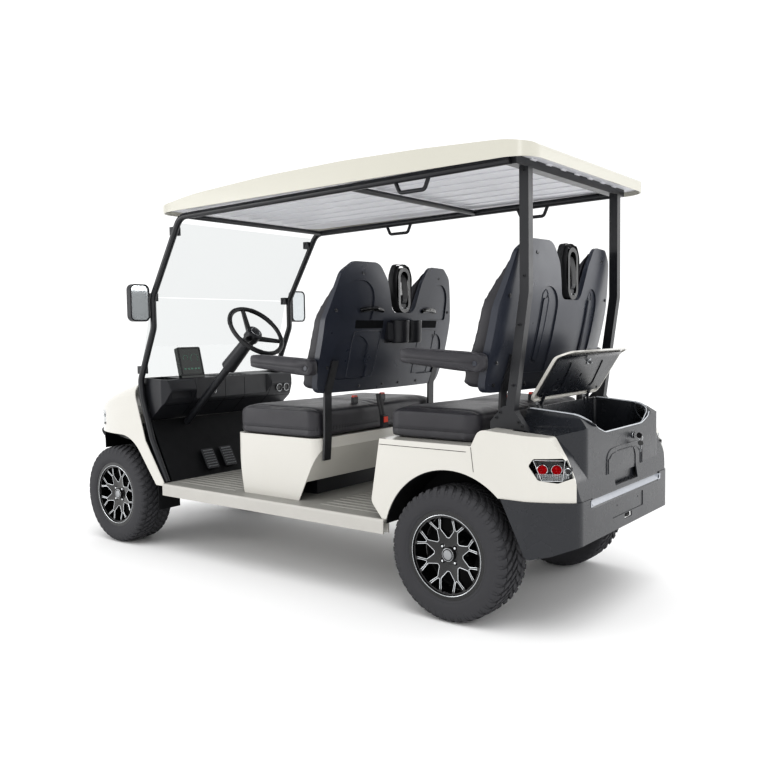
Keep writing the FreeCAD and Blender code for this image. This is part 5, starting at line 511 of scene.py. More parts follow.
class Stock:
    """Mesh in the making, in millimetres, that becomes one piece."""

    def __init__(self) -> None:
        """Start with no points and no faces."""
        self.points: list[Vector] = []
        self.faces: list[tuple[int, ...]] = []

    def loft(self, rings: Sequence[Sequence[Vector]], closed: bool = True, capped: bool = True) -> "Stock":
        """Skin rings of equal length.

        Args:
            rings: Rings of points in order.
            closed: Whether each ring closes.
            capped: Whether both ends get a face.

        Returns:
            The stock itself.
        """
        base = len(self.points)
        size = len(rings[0])
        for ring in rings:
            self.points += [Vector(p) for p in ring]
        last = size if closed else size - 1
        for i in range(len(rings) - 1):
            for k in range(last):
                a, b = base + i * size + k, base + i * size + (k + 1) % size
                self.faces.append((a, b, b + size, a + size))
        if capped and closed:
            self.faces.append(tuple(base + k for k in reversed(range(size))))
            self.faces.append(tuple(base + (len(rings) - 1) * size + k for k in range(size)))
        return self

    def turned(self, profile: Points, centre: Point, axis: Point, steps: int = 40) -> "Stock":
        """Turn a profile about an axis.

        Args:
            profile: Pairs of place along the axis and radius.
            centre: Point that the places count from.
            axis: Direction of the axis.
            steps: Number of facets.

        Returns:
            The stock itself.
        """
        along = Vector(axis).normalized()
        side = along.orthogonal().normalized()
        other = along.cross(side)
        return self.loft([circle(Vector(centre) + along * place, side, other, max(radius, 0.01), steps)
                          for place, radius in profile])

    def pipe(self, path: Points, radius: float, steps: int = 10, closed: bool = False,
             flat: float = 1.0, up: Point | None = None) -> "Stock":
        """Sweep a round or flattened section along a path.

        Args:
            path: Points of the centreline.
            radius: Half width of the section.
            steps: Number of facets.
            closed: Whether the path closes.
            flat: Section height as a share of its width.
            up: Direction of the height, or None to carry it along.

        Returns:
            The stock itself.
        """
        line = [Vector(p) for p in path]
        total = len(line)
        normal = None
        rings = []
        for i, point in enumerate(line):
            ahead = line[(i + 1) % total] if closed or i + 1 < total else point
            behind = line[(i - 1) % total] if closed or i > 0 else point
            along = (ahead - behind).normalized()
            guide = Vector(up) if up is not None else normal or along.orthogonal()
            normal = (guide - along * guide.dot(along)).normalized()
            side = along.cross(normal)
            rings.append([point + side * math.cos(t) * radius + normal * math.sin(t) * radius * flat
                          for t in (2 * math.pi * k / steps for k in range(steps))])
        if closed:
            rings.append(rings[0])
        return self.loft(rings, capped=not closed)

    def bead(self, line: Points, radius: float, steps: int = 6, least: int = 4, **sweep: object) -> None:
        """Sweep a pipe along a line that was found on a surface, if enough of it was found.

        Args:
            line: Points that were found.
            radius: Half width of the section.
            steps: Number of facets.
            least: Fewest points that still make a line.
            **sweep: Further settings of the pipe.
        """
        if len(line) >= least:
            self.pipe(line, radius, steps, **sweep)

    def slab(self, outline: Points, thickness: Point, edge: float = 0.0) -> "Stock":
        """Extrude a flat outline, its far edge eased.

        Args:
            outline: Points of the outline in order.
            thickness: Vector from the near face to the far face.
            edge: How far the far face's edge is drawn in.

        Returns:
            The stock itself.
        """
        ring = [Vector(p) for p in outline]
        rise = Vector(thickness)
        if not edge:
            return self.loft([ring, [p + rise for p in ring]])
        middle = sum(ring, Vector()) / len(ring)
        reach = max((p - middle).length for p in ring)
        share = 1 - edge / reach
        eased = [middle + (p - middle) * share for p in ring]
        step = rise.normalized() * min(edge, rise.length / 2)
        return self.loft([ring, [p + rise - step for p in ring], [p + rise for p in eased]])

    def bolt(self, place: Point, axis: Point, radius: float, height: float | None = None) -> "Stock":
        """Round bolt head with a hexagon socket, on a thin washer.

        Args:
            place: Point on the surface.
            axis: Direction away from the surface.
            radius: Radius of the head.
            height: Height of the head, or None for a usual one.

        Returns:
            The stock itself.
        """
        rise = height or radius * 0.7
        washer = radius * 1.45
        self.turned([(-1.0, washer), (rise * 0.18, washer), (rise * 0.22, radius),
                     (rise * 0.75, radius * 0.94), (rise, radius * 0.7), (rise, radius * 0.5)], place, axis,
                     18)
        return self.turned([(rise, radius * 0.52), (rise * 0.4, radius * 0.42), (rise * 0.38, 0.0)], place,
                           axis, 6)

    def piece(self, name: str, finish: Finishes, body: str = "chassis", sharp_deg: float = 32.0,
              stands_for: Sequence[str] = (), slot: str | None = None) -> bpy.types.Object:
        """Turn the stock into an object that rides on a body.

        Args:
            name: Name of the piece.
            finish: Its finish.
            body: CAD body that it rides on.
            sharp_deg: Edges that turn more than this stay crisp.
            stands_for: CAD nodes that it replaces.
            slot: Not used.

        Returns:
            The new object.
        """
        mesh = bpy.data.meshes.new(name)
        mesh.from_pydata([p * MM for p in self.points], [], self.faces)
        work = bmesh.new()
        work.from_mesh(mesh)
        bmesh.ops.remove_doubles(work, verts=work.verts, dist=0.00002)
        bmesh.ops.recalc_face_normals(work, faces=work.faces)
        work.to_mesh(mesh)
        work.free()
        return placed(name, mesh, finish, body, sharp_deg, stands_for)


def placed(name: str, mesh: bpy.types.Mesh, finish: Finishes, body: str, sharp_deg: float = 32.0,
           stands_for: Sequence[str] = ()) -> bpy.types.Object:
    """Show a mesh as a piece that rides on a body.

    Args:
        name: Name of the piece.
        mesh: Finished mesh in metres.
        finish: Its finish.
        body: CAD body that it rides on.
        sharp_deg: Edges that turn more than this stay crisp.
        stands_for: CAD nodes that it replaces.

    Returns:
        The new object.
    """
    mesh.polygons.foreach_set("use_smooth", [True] * len(mesh.polygons))
    mesh.set_sharp_from_angle(angle=math.radians(sharp_deg))
    made = bpy.data.objects.new(name, mesh)
    bpy.context.scene.collection.objects.link(made)
    dress(made, finish)
    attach(made, body)
    if stands_for:
        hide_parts(*stands_for)
    LOG.info("piece %s: %d faces", name, len(mesh.polygons))
    return made


def mirrored(points: Points, side: float) -> list[Vector]:
    """Points on the left side, or their mirror images on the right.

    Args:
        points: Points on the left side.
        side: 1 for left and -1 for right.

    Returns:
        The points on that side.
    """
    return [Vector((p[0] * side, p[1], p[2])) for p in points]


# Wheels

@dataclass
class Tyre:
    """Directional all-terrain tyre: carcass, side rings and V-shaped tread blocks."""

    name: str
    body: str
    centre: Vector
    outward: float
    radius: float = 292.0
    half_width: float = 110.0
    bead: float = 178.6
    groove: float = 8.0
    pitches: int = 44
    facets: int = 120

    def section(self) -> list[tuple[float, float]]:
        """Section of the carcass under the tread.

        Returns:
            Pairs of distance outward and radius, from the outer bead round to the inner one.
        """
        top = self.radius - self.groove
        half = self.half_width
        flank = [(92.5, self.bead), (94.0, 186.0), (97.0, 189.0), (99.5, 193.0), (104.0, 197.0),
                 (106.5, 203.0), (106.0, 205.5), (108.0, 209.0), (109.3, 220.0), (109.6, 232.0),
                 (108.6, 246.0), (106.0, 258.0), (106.8, 260.5), (105.0, 263.0), (102.0, 270.0),
                 (97.0, 276.5), (88.0, 281.0), (60.0, top - 0.6), (24.0, top), (0.0, top)]
        flank = [(x * half / 110.0, r) for x, r in flank]
        return flank + [(-x, r) for x, r in reversed(flank[:-1])]

    def place(self, across: float, radius: float, turn: float) -> Vector:
        """Point of the tyre.

        Args:
            across: Distance outward from the middle plane.
            radius: Distance from the axle.
            turn: Angle about the axle.

        Returns:
            The point in millimetres.
        """
        return self.centre + Vector((across * self.outward, math.sin(turn) * radius, math.cos(turn) * radius))

    def crown(self, across: float) -> float:
        """Radius of the tread's outer face.

        Args:
            across: Distance from the middle plane.

        Returns:
            Radius in millimetres.
        """
        share = min(abs(across) / 96.0, 1.0)
        return self.radius - 2.0 * share ** 2 - 6.0 * share ** 8

    def lug(self, stock: Stock, line: Points, width: float, phase: float, side: float) -> None:
        """Add one tread block.

        Args:
            stock: Mesh that gets the block.
            line: Distance from the middle, turn in pitches and outer radius along the block.
            width: Its width as a share of the pitch.
            phase: Place round the tyre in pitches.
            side: 1 for the outer half and -1 for the inner.
        """
        pitch = 2 * math.pi / self.pitches
        rings = []
        for k, (across, lag, outer) in enumerate(line):
            end = 0.12 if k in (0, len(line) - 1) else 0.0
            half = width / 2 * pitch * (1 - end)
            mid = (phase + lag) * pitch
            half_section = ((outer - self.groove - 3.0, half * 1.12), (outer - 1.2, half),
                            (outer, half * 0.86))
            behind = [self.place(across * side, radius, mid - turn) for radius, turn in half_section]
            ahead = [self.place(across * side, radius, mid + turn) for radius, turn in reversed(half_section)]
            rings.append(behind + ahead)
        stock.loft(rings)

    def build(self) -> None:
        """Build the carcass and the tread, in place of the plain tyre."""
        carcass = Stock()
        carcass.loft([[self.place(x, r, 2 * math.pi * k / self.facets) for x, r in self.section()]
                      for k in range(self.facets + 1)], closed=False, capped=False)
        carcass.piece(self.name + "_carcass", Finishes.RUBBER, self.body, 40.0, [self.name], "tyre_rubber")
        inner = [(x, lag, self.crown(x)) for x, lag in ((3.0, 0.0), (12.0, 0.22), (24.0, 0.5), (36.0, 0.72))]
        outer = [(x, lag, self.crown(x)) for x, lag in ((42.0, 0.92), (52.0, 1.08), (64.0, 1.26),
                                                        (74.0, 1.40))]
        shoulder = [(80.0, 1.50, self.crown(80.0)), (90.0, 1.60, self.crown(90.0)), (98.0, 1.66, 281.5),
                    (103.0, 1.68, 273.0), (106.6, 1.69, 262.0), (108.6, 1.69, 252.0)]
        flank = [(98.0, 2.16, 279.0), (102.0, 2.17, 273.5), (105.4, 2.18, 267.0)]
        tread = Stock()
        for i in range(self.pitches):
            for side, shift in ((1.0, 0.0), (-1.0, 0.5)):
                for line, width in ((inner, 0.56), (outer, 0.60), (shoulder, 0.58), (flank, 0.30)):
                    self.lug(tread, line, width, i + shift, side)
        tread.piece(self.name + "_tread", Finishes.RUBBER, self.body, 28.0, (), "tyre_rubber")


@dataclass
class WheelTrim:
    """Bright edges of the spokes and small parts of one wheel: nuts, cap, valve, lip ring and dust shield."""

    name: str
    body: str
    centre: Vector
    outward: float
    line_mm: float = 1.75
    face_radius: float = 171.0
    face_depth: float = 60.0
    nut_circle: float = 45.3

    @property
    def axis(self) -> Vector:
        """Direction away from the cart."""
        return Vector((self.outward, 0, 0))

    def off_axle(self, point: Vector) -> float:
        """Distance of a point from the axle."""
        return math.hypot(point.y - self.centre.y, point.z - self.centre.z)

    def window_loops(self) -> list[list[Vector]]:
        """Outlines of the openings on the spokes' outer face.

        Returns:
            Closed lines in millimetres.
        """
        work = bmesh.new()
        work.from_mesh(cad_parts[self.name].data)
        bmesh.ops.remove_doubles(work, verts=work.verts, dist=0.00001)
        after: dict[int, list[int]] = {}
        points = {v.index: v.co / MM for v in work.verts}
        flat = set()
        for face in work.faces:
            middle = face.calc_center_median() / MM
            deep = (middle.x - self.centre.x) * self.outward > self.face_depth
            if face.normal.x * self.outward > 0.95 and self.off_axle(middle) < self.face_radius and deep:
                flat.add(face.index)
        for edge in work.edges:
            if len([f for f in edge.link_faces if f.index in flat]) == 1:
                a, b = (v.index for v in edge.verts)
                after.setdefault(a, []).append(b)
                after.setdefault(b, []).append(a)
        work.free()
        loops = []
        left = set(after)
        while left:
            start = min(left)
            line = [start]
            left.discard(start)
            step = next((k for k in after[start] if k in left), None)
            while step is not None:
                line.append(step)
                left.discard(step)
                step = next((k for k in after[step] if k in left), None)
            loops.append([points[i] for i in line])
        return loops

    def edges(self) -> None:
        """Lay the turned bright edge round every opening between the spokes."""
        lines = Stock()
        for loop in self.window_loops():
            middle = sum(loop, Vector()) / len(loop)
            reach = max(self.off_axle(p) for p in loop)
            # The rim's own edge and the hub's holes aren't openings between spokes.
            if len(loop) < 8 or reach > 169.0 or self.off_axle(middle) < 60.0:
                continue
            eased = []
            for p in loop:
                away = p - middle
                away.x = 0.0
                eased.append(p + away.normalized() * self.line_mm * 0.9 + self.axis * 0.2)
            # The side of an opening that runs along the rim's barrel gets no line.
            far = [self.off_axle(p) > 158.0 for p in eased]
            start = next((i for i in range(len(eased)) if far[i - 1] and not far[i]), 0)
            turned = [(eased + eased)[start + i] for i in range(len(eased)) if not (far + far)[start + i]]
            kept = [turned[0]]
            for p in turned[1:]:
                if (p - kept[-1]).length > 2.5:
                    kept.append(p)
            lines.pipe(kept, self.line_mm, 6, flat=0.55, up=self.axis)
        lines.piece(self.name + "_turned_edges", Finishes.MACHINED, self.body, 50.0)

    def shield(self) -> None:
        """Dark dust shield round the brake drum, seen between the spokes."""
        disc = Stock()
        profile = [(-9.0, 90.0), (-9.0, 166.0), (-4.0, 169.5), (-2.0, 169.5), (-2.0, 166.0), (-6.0, 160.0),
                   (-6.0, 90.0)]
        disc.loft([circle(self.centre + self.axis * place, REARWARD, UP, radius, 64)
                   for place, radius in profile + profile[:1]], capped=False)
        disc.piece(self.name + "_dust_shield", Finishes.CHASSIS_BLACK, self.body)

    def build(self) -> None:
        """Build the trim on the cast rim."""
        self.edges()
        self.shield()
        axis = self.axis
        face = self.centre + axis * 72.0
        nuts, cap, plate, ring, valve = Stock(), Stock(), Stock(), Stock(), Stock()
        for i in range(4):
            turn = 2 * math.pi * (i + 0.5) / 4
            radial = Vector((0, math.cos(turn), math.sin(turn))) * self.nut_circle
            nuts.turned([(-8.5, 8.6), (-3.0, 8.6), (-2.0, 7.4), (4.0, 7.2), (6.5, 5.4), (7.4, 0.0)],
                        face + radial, axis, 6)
        nuts.piece(self.name + "_lug_nuts", Finishes.CHROME, self.body)
        cap.turned([(8.8, 31.2), (10.5, 31.2), (12.2, 29.5), (12.4, 25.0), (11.2, 24.2), (11.0, 20.0),
                    (13.0, 10.0), (13.6, 0.0)],
                   face, axis, 48)
        cap.piece(self.name + "_centre_cap", Finishes.PIANO_BLACK, self.body)
        plate.turned([(11.2, 21.5), (13.2, 21.0), (14.6, 10.0), (15.0, 0.0)], face, axis, 40)
        plate.piece(self.name + "_cap_plate", Finishes.ZINC, self.body)
        ring.pipe(circle(face + axis * 11.6, REARWARD, UP, 27.6, 64), 1.1, 8, closed=True)
        ring.pipe(circle(self.centre + axis * 99.8, REARWARD, UP, 175.0, 128), 2.0, 8, closed=True)
        ring.piece(self.name + "_bright_rings", Finishes.MACHINED, self.body)
        foot = self.centre + axis * 84.0 + DOWN * 168.0
        valve.turned([(0.0, 4.6), (9.0, 4.2), (11.0, 3.0), (25.0, 2.8), (25.5, 3.6), (33.0, 3.6), (34.0, 2.2),
                      (34.2, 0.0)],
                     foot, axis * 0.9 + UP * 0.4, 14)
        valve.piece(self.name + "_valve", Finishes.RUBBER, self.body)


@dataclass
class Wheels:
    """Four wheels with their tyres."""

    def build(self) -> None:
        """Build every wheel's dressed parts."""
        for end in ("front", "rear"):
            for side, sign in SIDES:
                low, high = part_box("tyre_%s_%s" % (end, side))
                centre = (low + high) / 2 / MM
                body = "wheel_%s_%s" % (end, side)
                Tyre("tyre_%s_%s" % (end, side), body, centre, sign).build()
                WheelTrim("rim_%s_%s" % (end, side), body, centre, sign).build()


# Soft parts

@dataclass
class Seam:
    """Sewn line: rays that find it on the pad, how deep the vinyl draws in, and the thread or piping in it."""

    starts: list[Vector]
    aim: Vector
    depth_mm: float = 4.0
    width_mm: float = 9.0
    cord_mm: float = 1.5
    closed: bool = False
    outward: bool = False


@dataclass
class Pad:
    """Upholstered pad grown from its CAD solid: remeshed, blown up by a cloth run, held back, then sewn."""

    node: str
    body: str
    fill: float
    seams: list[Seam]
    voxel_mm: float = 14.0
    shrink_mm: float = 7.0
    cap_mm: float = 16.0
    proud_mm: float = 9.0
    flat_sides: tuple[Vector, ...] = ()
    rest_facing: float = 0.75
    rest_gap_mm: float = 0.6
    pressure: float = 4.0
    stiffness: float = 22.0
    bending: float = 1.2
    frames: int = 20

    def skin(self) -> bpy.types.Object:
        """Copy the solid with an even mesh, a little smaller than it is.

        Returns:
            The copy.
        """
        copy = bpy.data.objects.new(self.node + "_pad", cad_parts[self.node].data.copy())
        bpy.context.scene.collection.objects.link(copy)
        remesh = copy.modifiers.new("even", "REMESH")
        remesh.mode = "VOXEL"
        remesh.voxel_size = self.voxel_mm * MM
        self.bake(copy)
        relax = copy.modifiers.new("relax", "SMOOTH")
        relax.iterations = 6
        relax.factor = 0.5
        self.bake(copy)
        for vertex, normal in zip(copy.data.vertices, [v.normal.copy() for v in copy.data.vertices]):
            vertex.co -= normal * self.shrink_mm * MM
        return copy

    def bake(self, target: bpy.types.Object) -> None:
        """Apply every modifier of an object.

        Args:
            target: Object whose evaluated mesh becomes its own.
        """
        graph = bpy.context.evaluated_depsgraph_get()
        mesh = bpy.data.meshes.new_from_object(target.evaluated_get(graph))
        target.modifiers.clear()
        target.data = mesh

    def blow_up(self, target: bpy.types.Object) -> None:
        """Swell the pad with a short cloth run.

        Args:
            target: The evenly meshed pad.
        """
        before = [v.co.copy() for v in target.data.vertices]
        cloth = target.modifiers.new("swell", "CLOTH")
        cloth.settings.use_pressure = True
        cloth.settings.uniform_pressure_force = self.pressure
        cloth.settings.effector_weights.gravity = 0.0
        cloth.settings.quality = 4
        cloth.settings.mass = 0.4
        cloth.settings.tension_stiffness = self.stiffness
        cloth.settings.compression_stiffness = self.stiffness
        cloth.settings.bending_stiffness = self.bending
        cloth.collision_settings.use_collision = False
        cloth.point_cache.frame_start = 1
        cloth.point_cache.frame_end = self.frames
        for step in range(1, self.frames + 1):
            bpy.context.scene.frame_set(step)
        graph = bpy.context.evaluated_depsgraph_get()
        swollen = target.evaluated_get(graph).data
        after = [v.co.copy() for v in swollen.vertices]
        target.modifiers.clear()
        bpy.context.scene.frame_set(1)
        cap = self.cap_mm * MM
        for vertex, old, new in zip(target.data.vertices, before, after):
            step = new - old
            if step.length > cap:
                step *= cap / step.length
            vertex.co = old + step

    def hold_back(self, target: bpy.types.Object) -> None:
        """Keep the pad in its CAD solid's room, flat where it rests on something.

        Args:
            target: The swollen pad.
        """
        solid = surface(self.node)
        for vertex in target.data.vertices:
            near, normal, _, _ = solid.find_nearest(vertex.co)
            if near is None:
                continue
            out = (vertex.co - near).dot(normal) / MM
            rests = any(normal.dot(side) > self.rest_facing for side in self.flat_sides)
            limit = -self.rest_gap_mm if rests else self.proud_mm
            if out > limit:
                vertex.co -= normal * (out - limit) * MM

    def draw_in(self, target: bpy.types.Object, line: list[Vector], seam: Seam) -> None:
        """Press a sewn channel into the pad along a line.

        Args:
            target: The pad.
            line: Points on it in millimetres.
            seam: The seam's depth and width.
        """
        tree = KDTree(len(line))
        for i, point in enumerate(line):
            tree.insert(point * MM, i)
        tree.balance()
        reach = seam.width_mm * 2.4 * MM
        points = [v.co.copy() for v in target.data.vertices]
        normals = [v.normal.copy() for v in target.data.vertices]
        flat = []
        for point, normal in zip(points, normals):
            _, _, distance = tree.find(point)
            if distance < reach:
                point -= normal * seam.depth_mm * MM * math.exp(-(distance / (seam.width_mm * MM)) ** 2)
            flat.extend(point)
        target.data.vertices.foreach_set("co", flat)
        target.data.update()

    def sew(self, target: bpy.types.Object) -> None:
        """Press every seam in and lay its piping.

        Args:
            target: The pad.
        """
        found = []
        tree = search_tree(target.data)
        for seam in self.seams:
            if seam.outward:
                middle = sum(seam.starts, Vector()) / len(seam.starts)
                line = []
                for start in seam.starts:
                    line += draped(tree, [start], Vector((middle.x - start.x, middle.y - start.y, 0)))
            else:
                line = draped(tree, seam.starts, seam.aim)
            if len(line) > 3:
                found.append((seam, line))
        for seam, line in found:
            self.draw_in(target, resampled(line, 3, seam.closed), seam)
        target.data.update()
        final = search_tree(target.data)
        piping = Stock()
        for seam, line in found:
            snapped = []
            for point in line:
                near, normal, _, _ = final.find_nearest(point * MM)
                snapped.append(near / MM + normal * seam.cord_mm * 0.2)
            piping.pipe(resampled(snapped, 2, seam.closed), seam.cord_mm, 6, seam.closed)
        if found:
            piping.piece(self.node + "_piping", Finishes.PIPING, self.body, 60.0)

    def build(self) -> None:
        """Build the pad and its piping in place of the plain solid."""
        target = self.skin()
        self.blow_up(target)
        self.hold_back(target)
        relax = target.modifiers.new("relax", "SMOOTH")
        relax.iterations = 2
        smooth = target.modifiers.new("fine", "SUBSURF")
        smooth.levels = smooth.render_levels = 1
        self.bake(target)
        self.sew(target)
        mesh = target.data
        bpy.data.objects.remove(target)
        made = placed(self.node + "_pad", mesh, Finishes.VINYL, self.body, 180.0, [self.node])


@dataclass
class Seats:
    """Cushions, backs and armrests of both benches."""

    # Long seams of a back, as places across and heights
    bolster: Points = ((415, 985), (428, 1080), (432, 1200), (428, 1320), (405, 1430), (372, 1520),
                       (330, 1568))
    inner: Points = ((108, 985), (112, 1100), (118, 1220), (135, 1330), (160, 1420), (190, 1500), (225, 1556))
    back_starts: float = -60.0

    def ring(self, low: Vector, high: Vector, height: float, count: int = 64) -> list[Vector]:
        """Points round a cushion from outside, at one height.

        Args:
            low: Lowest corner in millimetres.
            high: Highest corner in millimetres.
            height: Height of the ring.
            count: Number of points.

        Returns:
            Points outside the cushion.
        """
        middle = (low + high) / 2
        half = (high - low) / 2
        found = []
        for k in range(count):
            turn = 2 * math.pi * k / count
            x, y = math.cos(turn), math.sin(turn)
            grow = 1.25 / max(abs(x), abs(y))
            found.append(Vector((middle.x + half.x * x * grow, middle.y + half.y * y * grow, height)))
        return found

    def cushion(self, node: str) -> None:
        """Build one bench cushion.

        Args:
            node: Name of the CAD node.
        """
        low, high = (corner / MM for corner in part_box(node))
        over = high.z + 60
        seams = [Seam(self.ring(low, high, low.z + 42), UP, 3.5, 7.0, 1.8, closed=True, outward=True)]
        front, rear = low.y + 62, high.y - 40
        for side in BOTH:
            rows = [(side * 62, rear), (side * 62, front), (side * 455, front), (side * 470, rear)]
            line = [Vector((x, y, over)) for x, y in rows]
            dense = [a.lerp(b, t / 14) for a, b in zip(line, line[1:]) for t in range(14)] + [line[-1]]
            seams.append(Seam(dense, -UP, 3.6, 9.0, 1.1))
        split = [Vector((0, low.y + 20 + (high.y - low.y - 40) * k / 24, over)) for k in range(25)]
        seams.append(Seam(split, -UP, 7.0, 12.0, 1.0))
        Pad(node, "chassis", 0.75, seams, flat_sides=(-UP,)).build()

    def backrest(self, node: str, shift: Vector) -> None:
        """Build one bench back.

        Args:
            node: Name of the CAD node.
            shift: Place of the bench against the front one.
        """
        seams = []

        def sewn(line: Points, depth: float, width: float, cord: float) -> None:
            """Add a seam to the back's face.

            Args:
                line: Pairs of place across and height.
                depth: How deep the vinyl draws in.
                width: Width of the channel.
                cord: Radius of the thread.
            """
            starts = [Vector((x, self.back_starts, z)) + shift for x, z in line]
            seams.append(Seam(starts, REARWARD, depth, width, cord))

        for side in BOTH:
            for corners, settings in ((self.bolster, (6.0, 12.0, 1.3)), (self.inner, (5.0, 11.0, 1.2))):
                smooth = resampled([(side * x, z, 0) for x, z in corners], 5)
                sewn([(q.x, q.y) for q in smooth], *settings)
            for height, span in ((1385, 0.99), (1180, 1.0)):
                sewn([(side * (120 + 305 * k / 16) * span, height) for k in range(17)], 4.0, 10.0, 1.0)
        Pad(node, "chassis", 0.7, seams, flat_sides=(REARWARD,), proud_mm=10.0).build()

    def armrest(self, node: str, body: str) -> None:
        """Build one armrest.

        Args:
            node: Name of the CAD node.
            body: CAD body that it rides on.
        """
        low, high = (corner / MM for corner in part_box(node))
        seams = []
        for out in BOTH:
            x = (low.x + high.x) / 2 + out * 60
            loop = [Vector((x, y, z)) for y, z in (
                (low.y + 18, high.z - 40), (low.y + 120, high.z - 46), (low.y + 230, high.z - 54),
                (high.y - 60, high.z - 62), (high.y - 22, high.z - 62))]
            seams.append(Seam(resampled(loop, 6), Vector((-out, 0, 0)), 2.2, 6.0, 1.0))
        Pad(node, body, 0.8, seams, voxel_mm=7.0, shrink_mm=0.5, cap_mm=7.0, proud_mm=4.5).build()

    def build(self) -> None:
        """Build every soft part."""
        for end, _ in BENCHES:
            self.cushion(end + "_cushion")
        for end, shift in BENCHES:
            self.backrest(end + "_backrest", shift)
        for end, _ in BENCHES:
            for side, _ in SIDES:
                self.armrest("armrest_%s_%s" % (end, side), "armrest_body_%s_%s" % (end, side))


# Cabin and body fittings

@dataclass
class BackShells:
    """Bolts, plugs, hand grips, painted pocket-mouth shade, panel edges and ribs of the hard shells behind the
    pads.
    """

    start_y: float = 900.0

    def found(self, tree: BVHTree, plan: Points, shift: Vector = NO_SHIFT,
              lift_mm: float = 0.0) -> list[Vector]:
        """Drop a plan of places across and heights on the back of a shell.

        Args:
            tree: Search tree of the shell.
            plan: Pairs of place across and height.
            shift: Place of the bench against the front one.
            lift_mm: How far each point stands off the shell.

        Returns:
            Points on the shell.
        """
        starts = [Vector((x, self.start_y, z)) + shift for x, z in plan]
        return draped(tree, starts, FORWARD, lift_mm)

    def fasteners(self, node: str, shift: Vector) -> None:
        """Bolts round the shell's edge and a plug in each hump.

        Args:
            node: Name of the shell's node.
            shift: Place of the bench against the front one.
        """
        tree = surface(node)
        bolts, plugs = Stock(), Stock()
        for side in BOTH:
            holes = [(side * x, z) for x, z in ((470, 985), (250, 978), (70, 978), (488, 1080), (486, 1360))]
            for place in self.found(tree, holes, shift):
                bolts.bolt(place, (0, 1, 0.25), 7.5, 4.5)
            for place in self.found(tree, [(side * 330, 1545)], shift):
                plug = [(-1, 10), (1.2, 9.5), (1.4, 7.0), (-1.0, 6.2), (-1.2, 0)]
                plugs.turned(plug, place, (0, 1, 0.2), 24)
        bolts.piece(node + "_bolts", Finishes.POWDER_BLACK)
        plugs.piece(node + "_plugs", Finishes.PIANO_BLACK)

    def outline(self, tree: BVHTree, corners: Points, side: float, shift: Vector = NO_SHIFT) -> list[Vector]:
        """Rounded closed line on a shell.

        Args:
            tree: Search tree of the shell.
            corners: Pairs of place across and height on the left.
            side: 1 for left and -1 for right.
            shift: Place of the bench against the front one.

        Returns:
            Points of the line.
        """
        smooth = resampled([(x, z, 0) for x, z in corners], 5, True)
        return self.found(tree, [(side * q.x, q.y) for q in smooth], shift, 0.4)

    def front(self) -> None:
        """Hand grips, painted shade at the pocket mouths and panel edges on the back of the front bench."""
        tree = surface("front_back_shell")
        grips, mouth_shade, lines = Stock(), Stock(), Stock()
        for side in BOTH:
            bar = self.found(tree, [(side * (175 + 150 * k / 14), 1360 + 9 * math.sin(math.pi * k / 14))
                                    for k in range(15)])
            # The bar bows away from the shell between its ends.
            bow = [13 * math.sin(math.pi * i / (len(bar) - 1)) ** 0.6 for i in range(len(bar))]
            grips.pipe([p + REARWARD * b for p, b in zip(bar, bow)], 13.0, 14, flat=0.9, up=(0, 0.3, 1))
            # A thin near-black sheet on the shell below each grip is painted shade for a pocket's mouth.
            rows = []
            for k in range(25):
                row = self.found(tree, [(side * (158 + 196 * k / 24), z) for z in range(1310, 1269, -10)],
                                 lift_mm=0.3)
                rows.append(row + [q + REARWARD * 0.9 for q in reversed(row)])
            mouth_shade.loft(rows)
            lines.bead(self.outline(tree, (
                (168, 1236), (172, 1250), (186, 1256), (338, 1256), (352, 1250), (356, 1236), (352, 1040),
                (346, 1026), (330, 1022), (196, 1022), (182, 1028), (176, 1042)), side), 2.6, 8, closed=True)
        grips.piece("shell_hand_grips", Finishes.PIANO_BLACK)
        mouth_shade.piece("shell_pocket_shade", Finishes.GAP_DARK)
        lines.piece("shell_panel_edges", Finishes.SEAT_SHELL)

    def rear(self) -> None:
        """Long raised ribs on the back of the rear bench."""
        tree = surface("rear_back_shell")
        lines = Stock()
        for side in BOTH:
            lines.bead(self.outline(tree, (
                (212, 1130), (218, 1112), (232, 1106), (246, 1112), (252, 1130), (250, 1380), (244, 1410),
                (228, 1424), (214, 1410), (208, 1380)), side, REARWARD * self.start_y), 2.4, 8, closed=True)
        lines.piece("rear_shell_ribs", Finishes.SEAT_SHELL)

    def build(self) -> None:
        """Fit out both shells."""
        for end, shift in BENCHES:
            self.fasteners(end + "_back_shell", shift)
        self.front()
        self.rear()


@dataclass
class Organizer:
    """Cup holder and pockets on the back of the front bench, in place of the plain block."""

    cup_y: float = 500.0
    cup_x: float = 55.0
    low: float = 1192.0
    high: float = 1308.0

    def build(self) -> None:
        """Build the organizer."""
        tall = self.high - self.low
        body, rims = Stock(), Stock()
        cup = [(2, 0), (0, 40), (3, 45), (10, 48), (tall - 14, 52), (tall - 3, 52.8), (tall, 50.5),
               (tall - 1, 46), (tall - 5, 43), (24, 38), (22, 34), (22, 0)]
        for side in BOTH:
            body.turned(cup, (side * self.cup_x, self.cup_y, self.low), UP, 48)
        for side in BOTH:
            wing = mirrored([(96, 452, self.low + 6), (128, 452, self.low + 16), (128, 478, self.low + 22),
                             (104, 496, self.low + 14)], side)
            body.slab(wing if side > 0 else wing[::-1], UP * (tall - 26), 5.0)
        body.slab(oblong(0, 467, 58, 15, self.low + 4), UP * (tall - 10), 4.0)
        foot = self.low + 2
        back = [(-128, 449, foot), (128, 449, foot), (124, 456, foot), (-124, 456, foot)]
        body.slab(back, UP * (tall - 6), 3.0)
        body.piece("organizer_cups", Finishes.MOULDED_BLACK, "chassis", 32.0, ["seat_organizer"])
        for side in BOTH:
            mouth = (side * self.cup_x, self.cup_y, self.high - 1.0)
            rims.pipe(circle(mouth, ACROSS, REARWARD, 51.0, 48), 2.4, 8, closed=True)
        rims.piece("organizer_rims", Finishes.PIANO_BLACK)


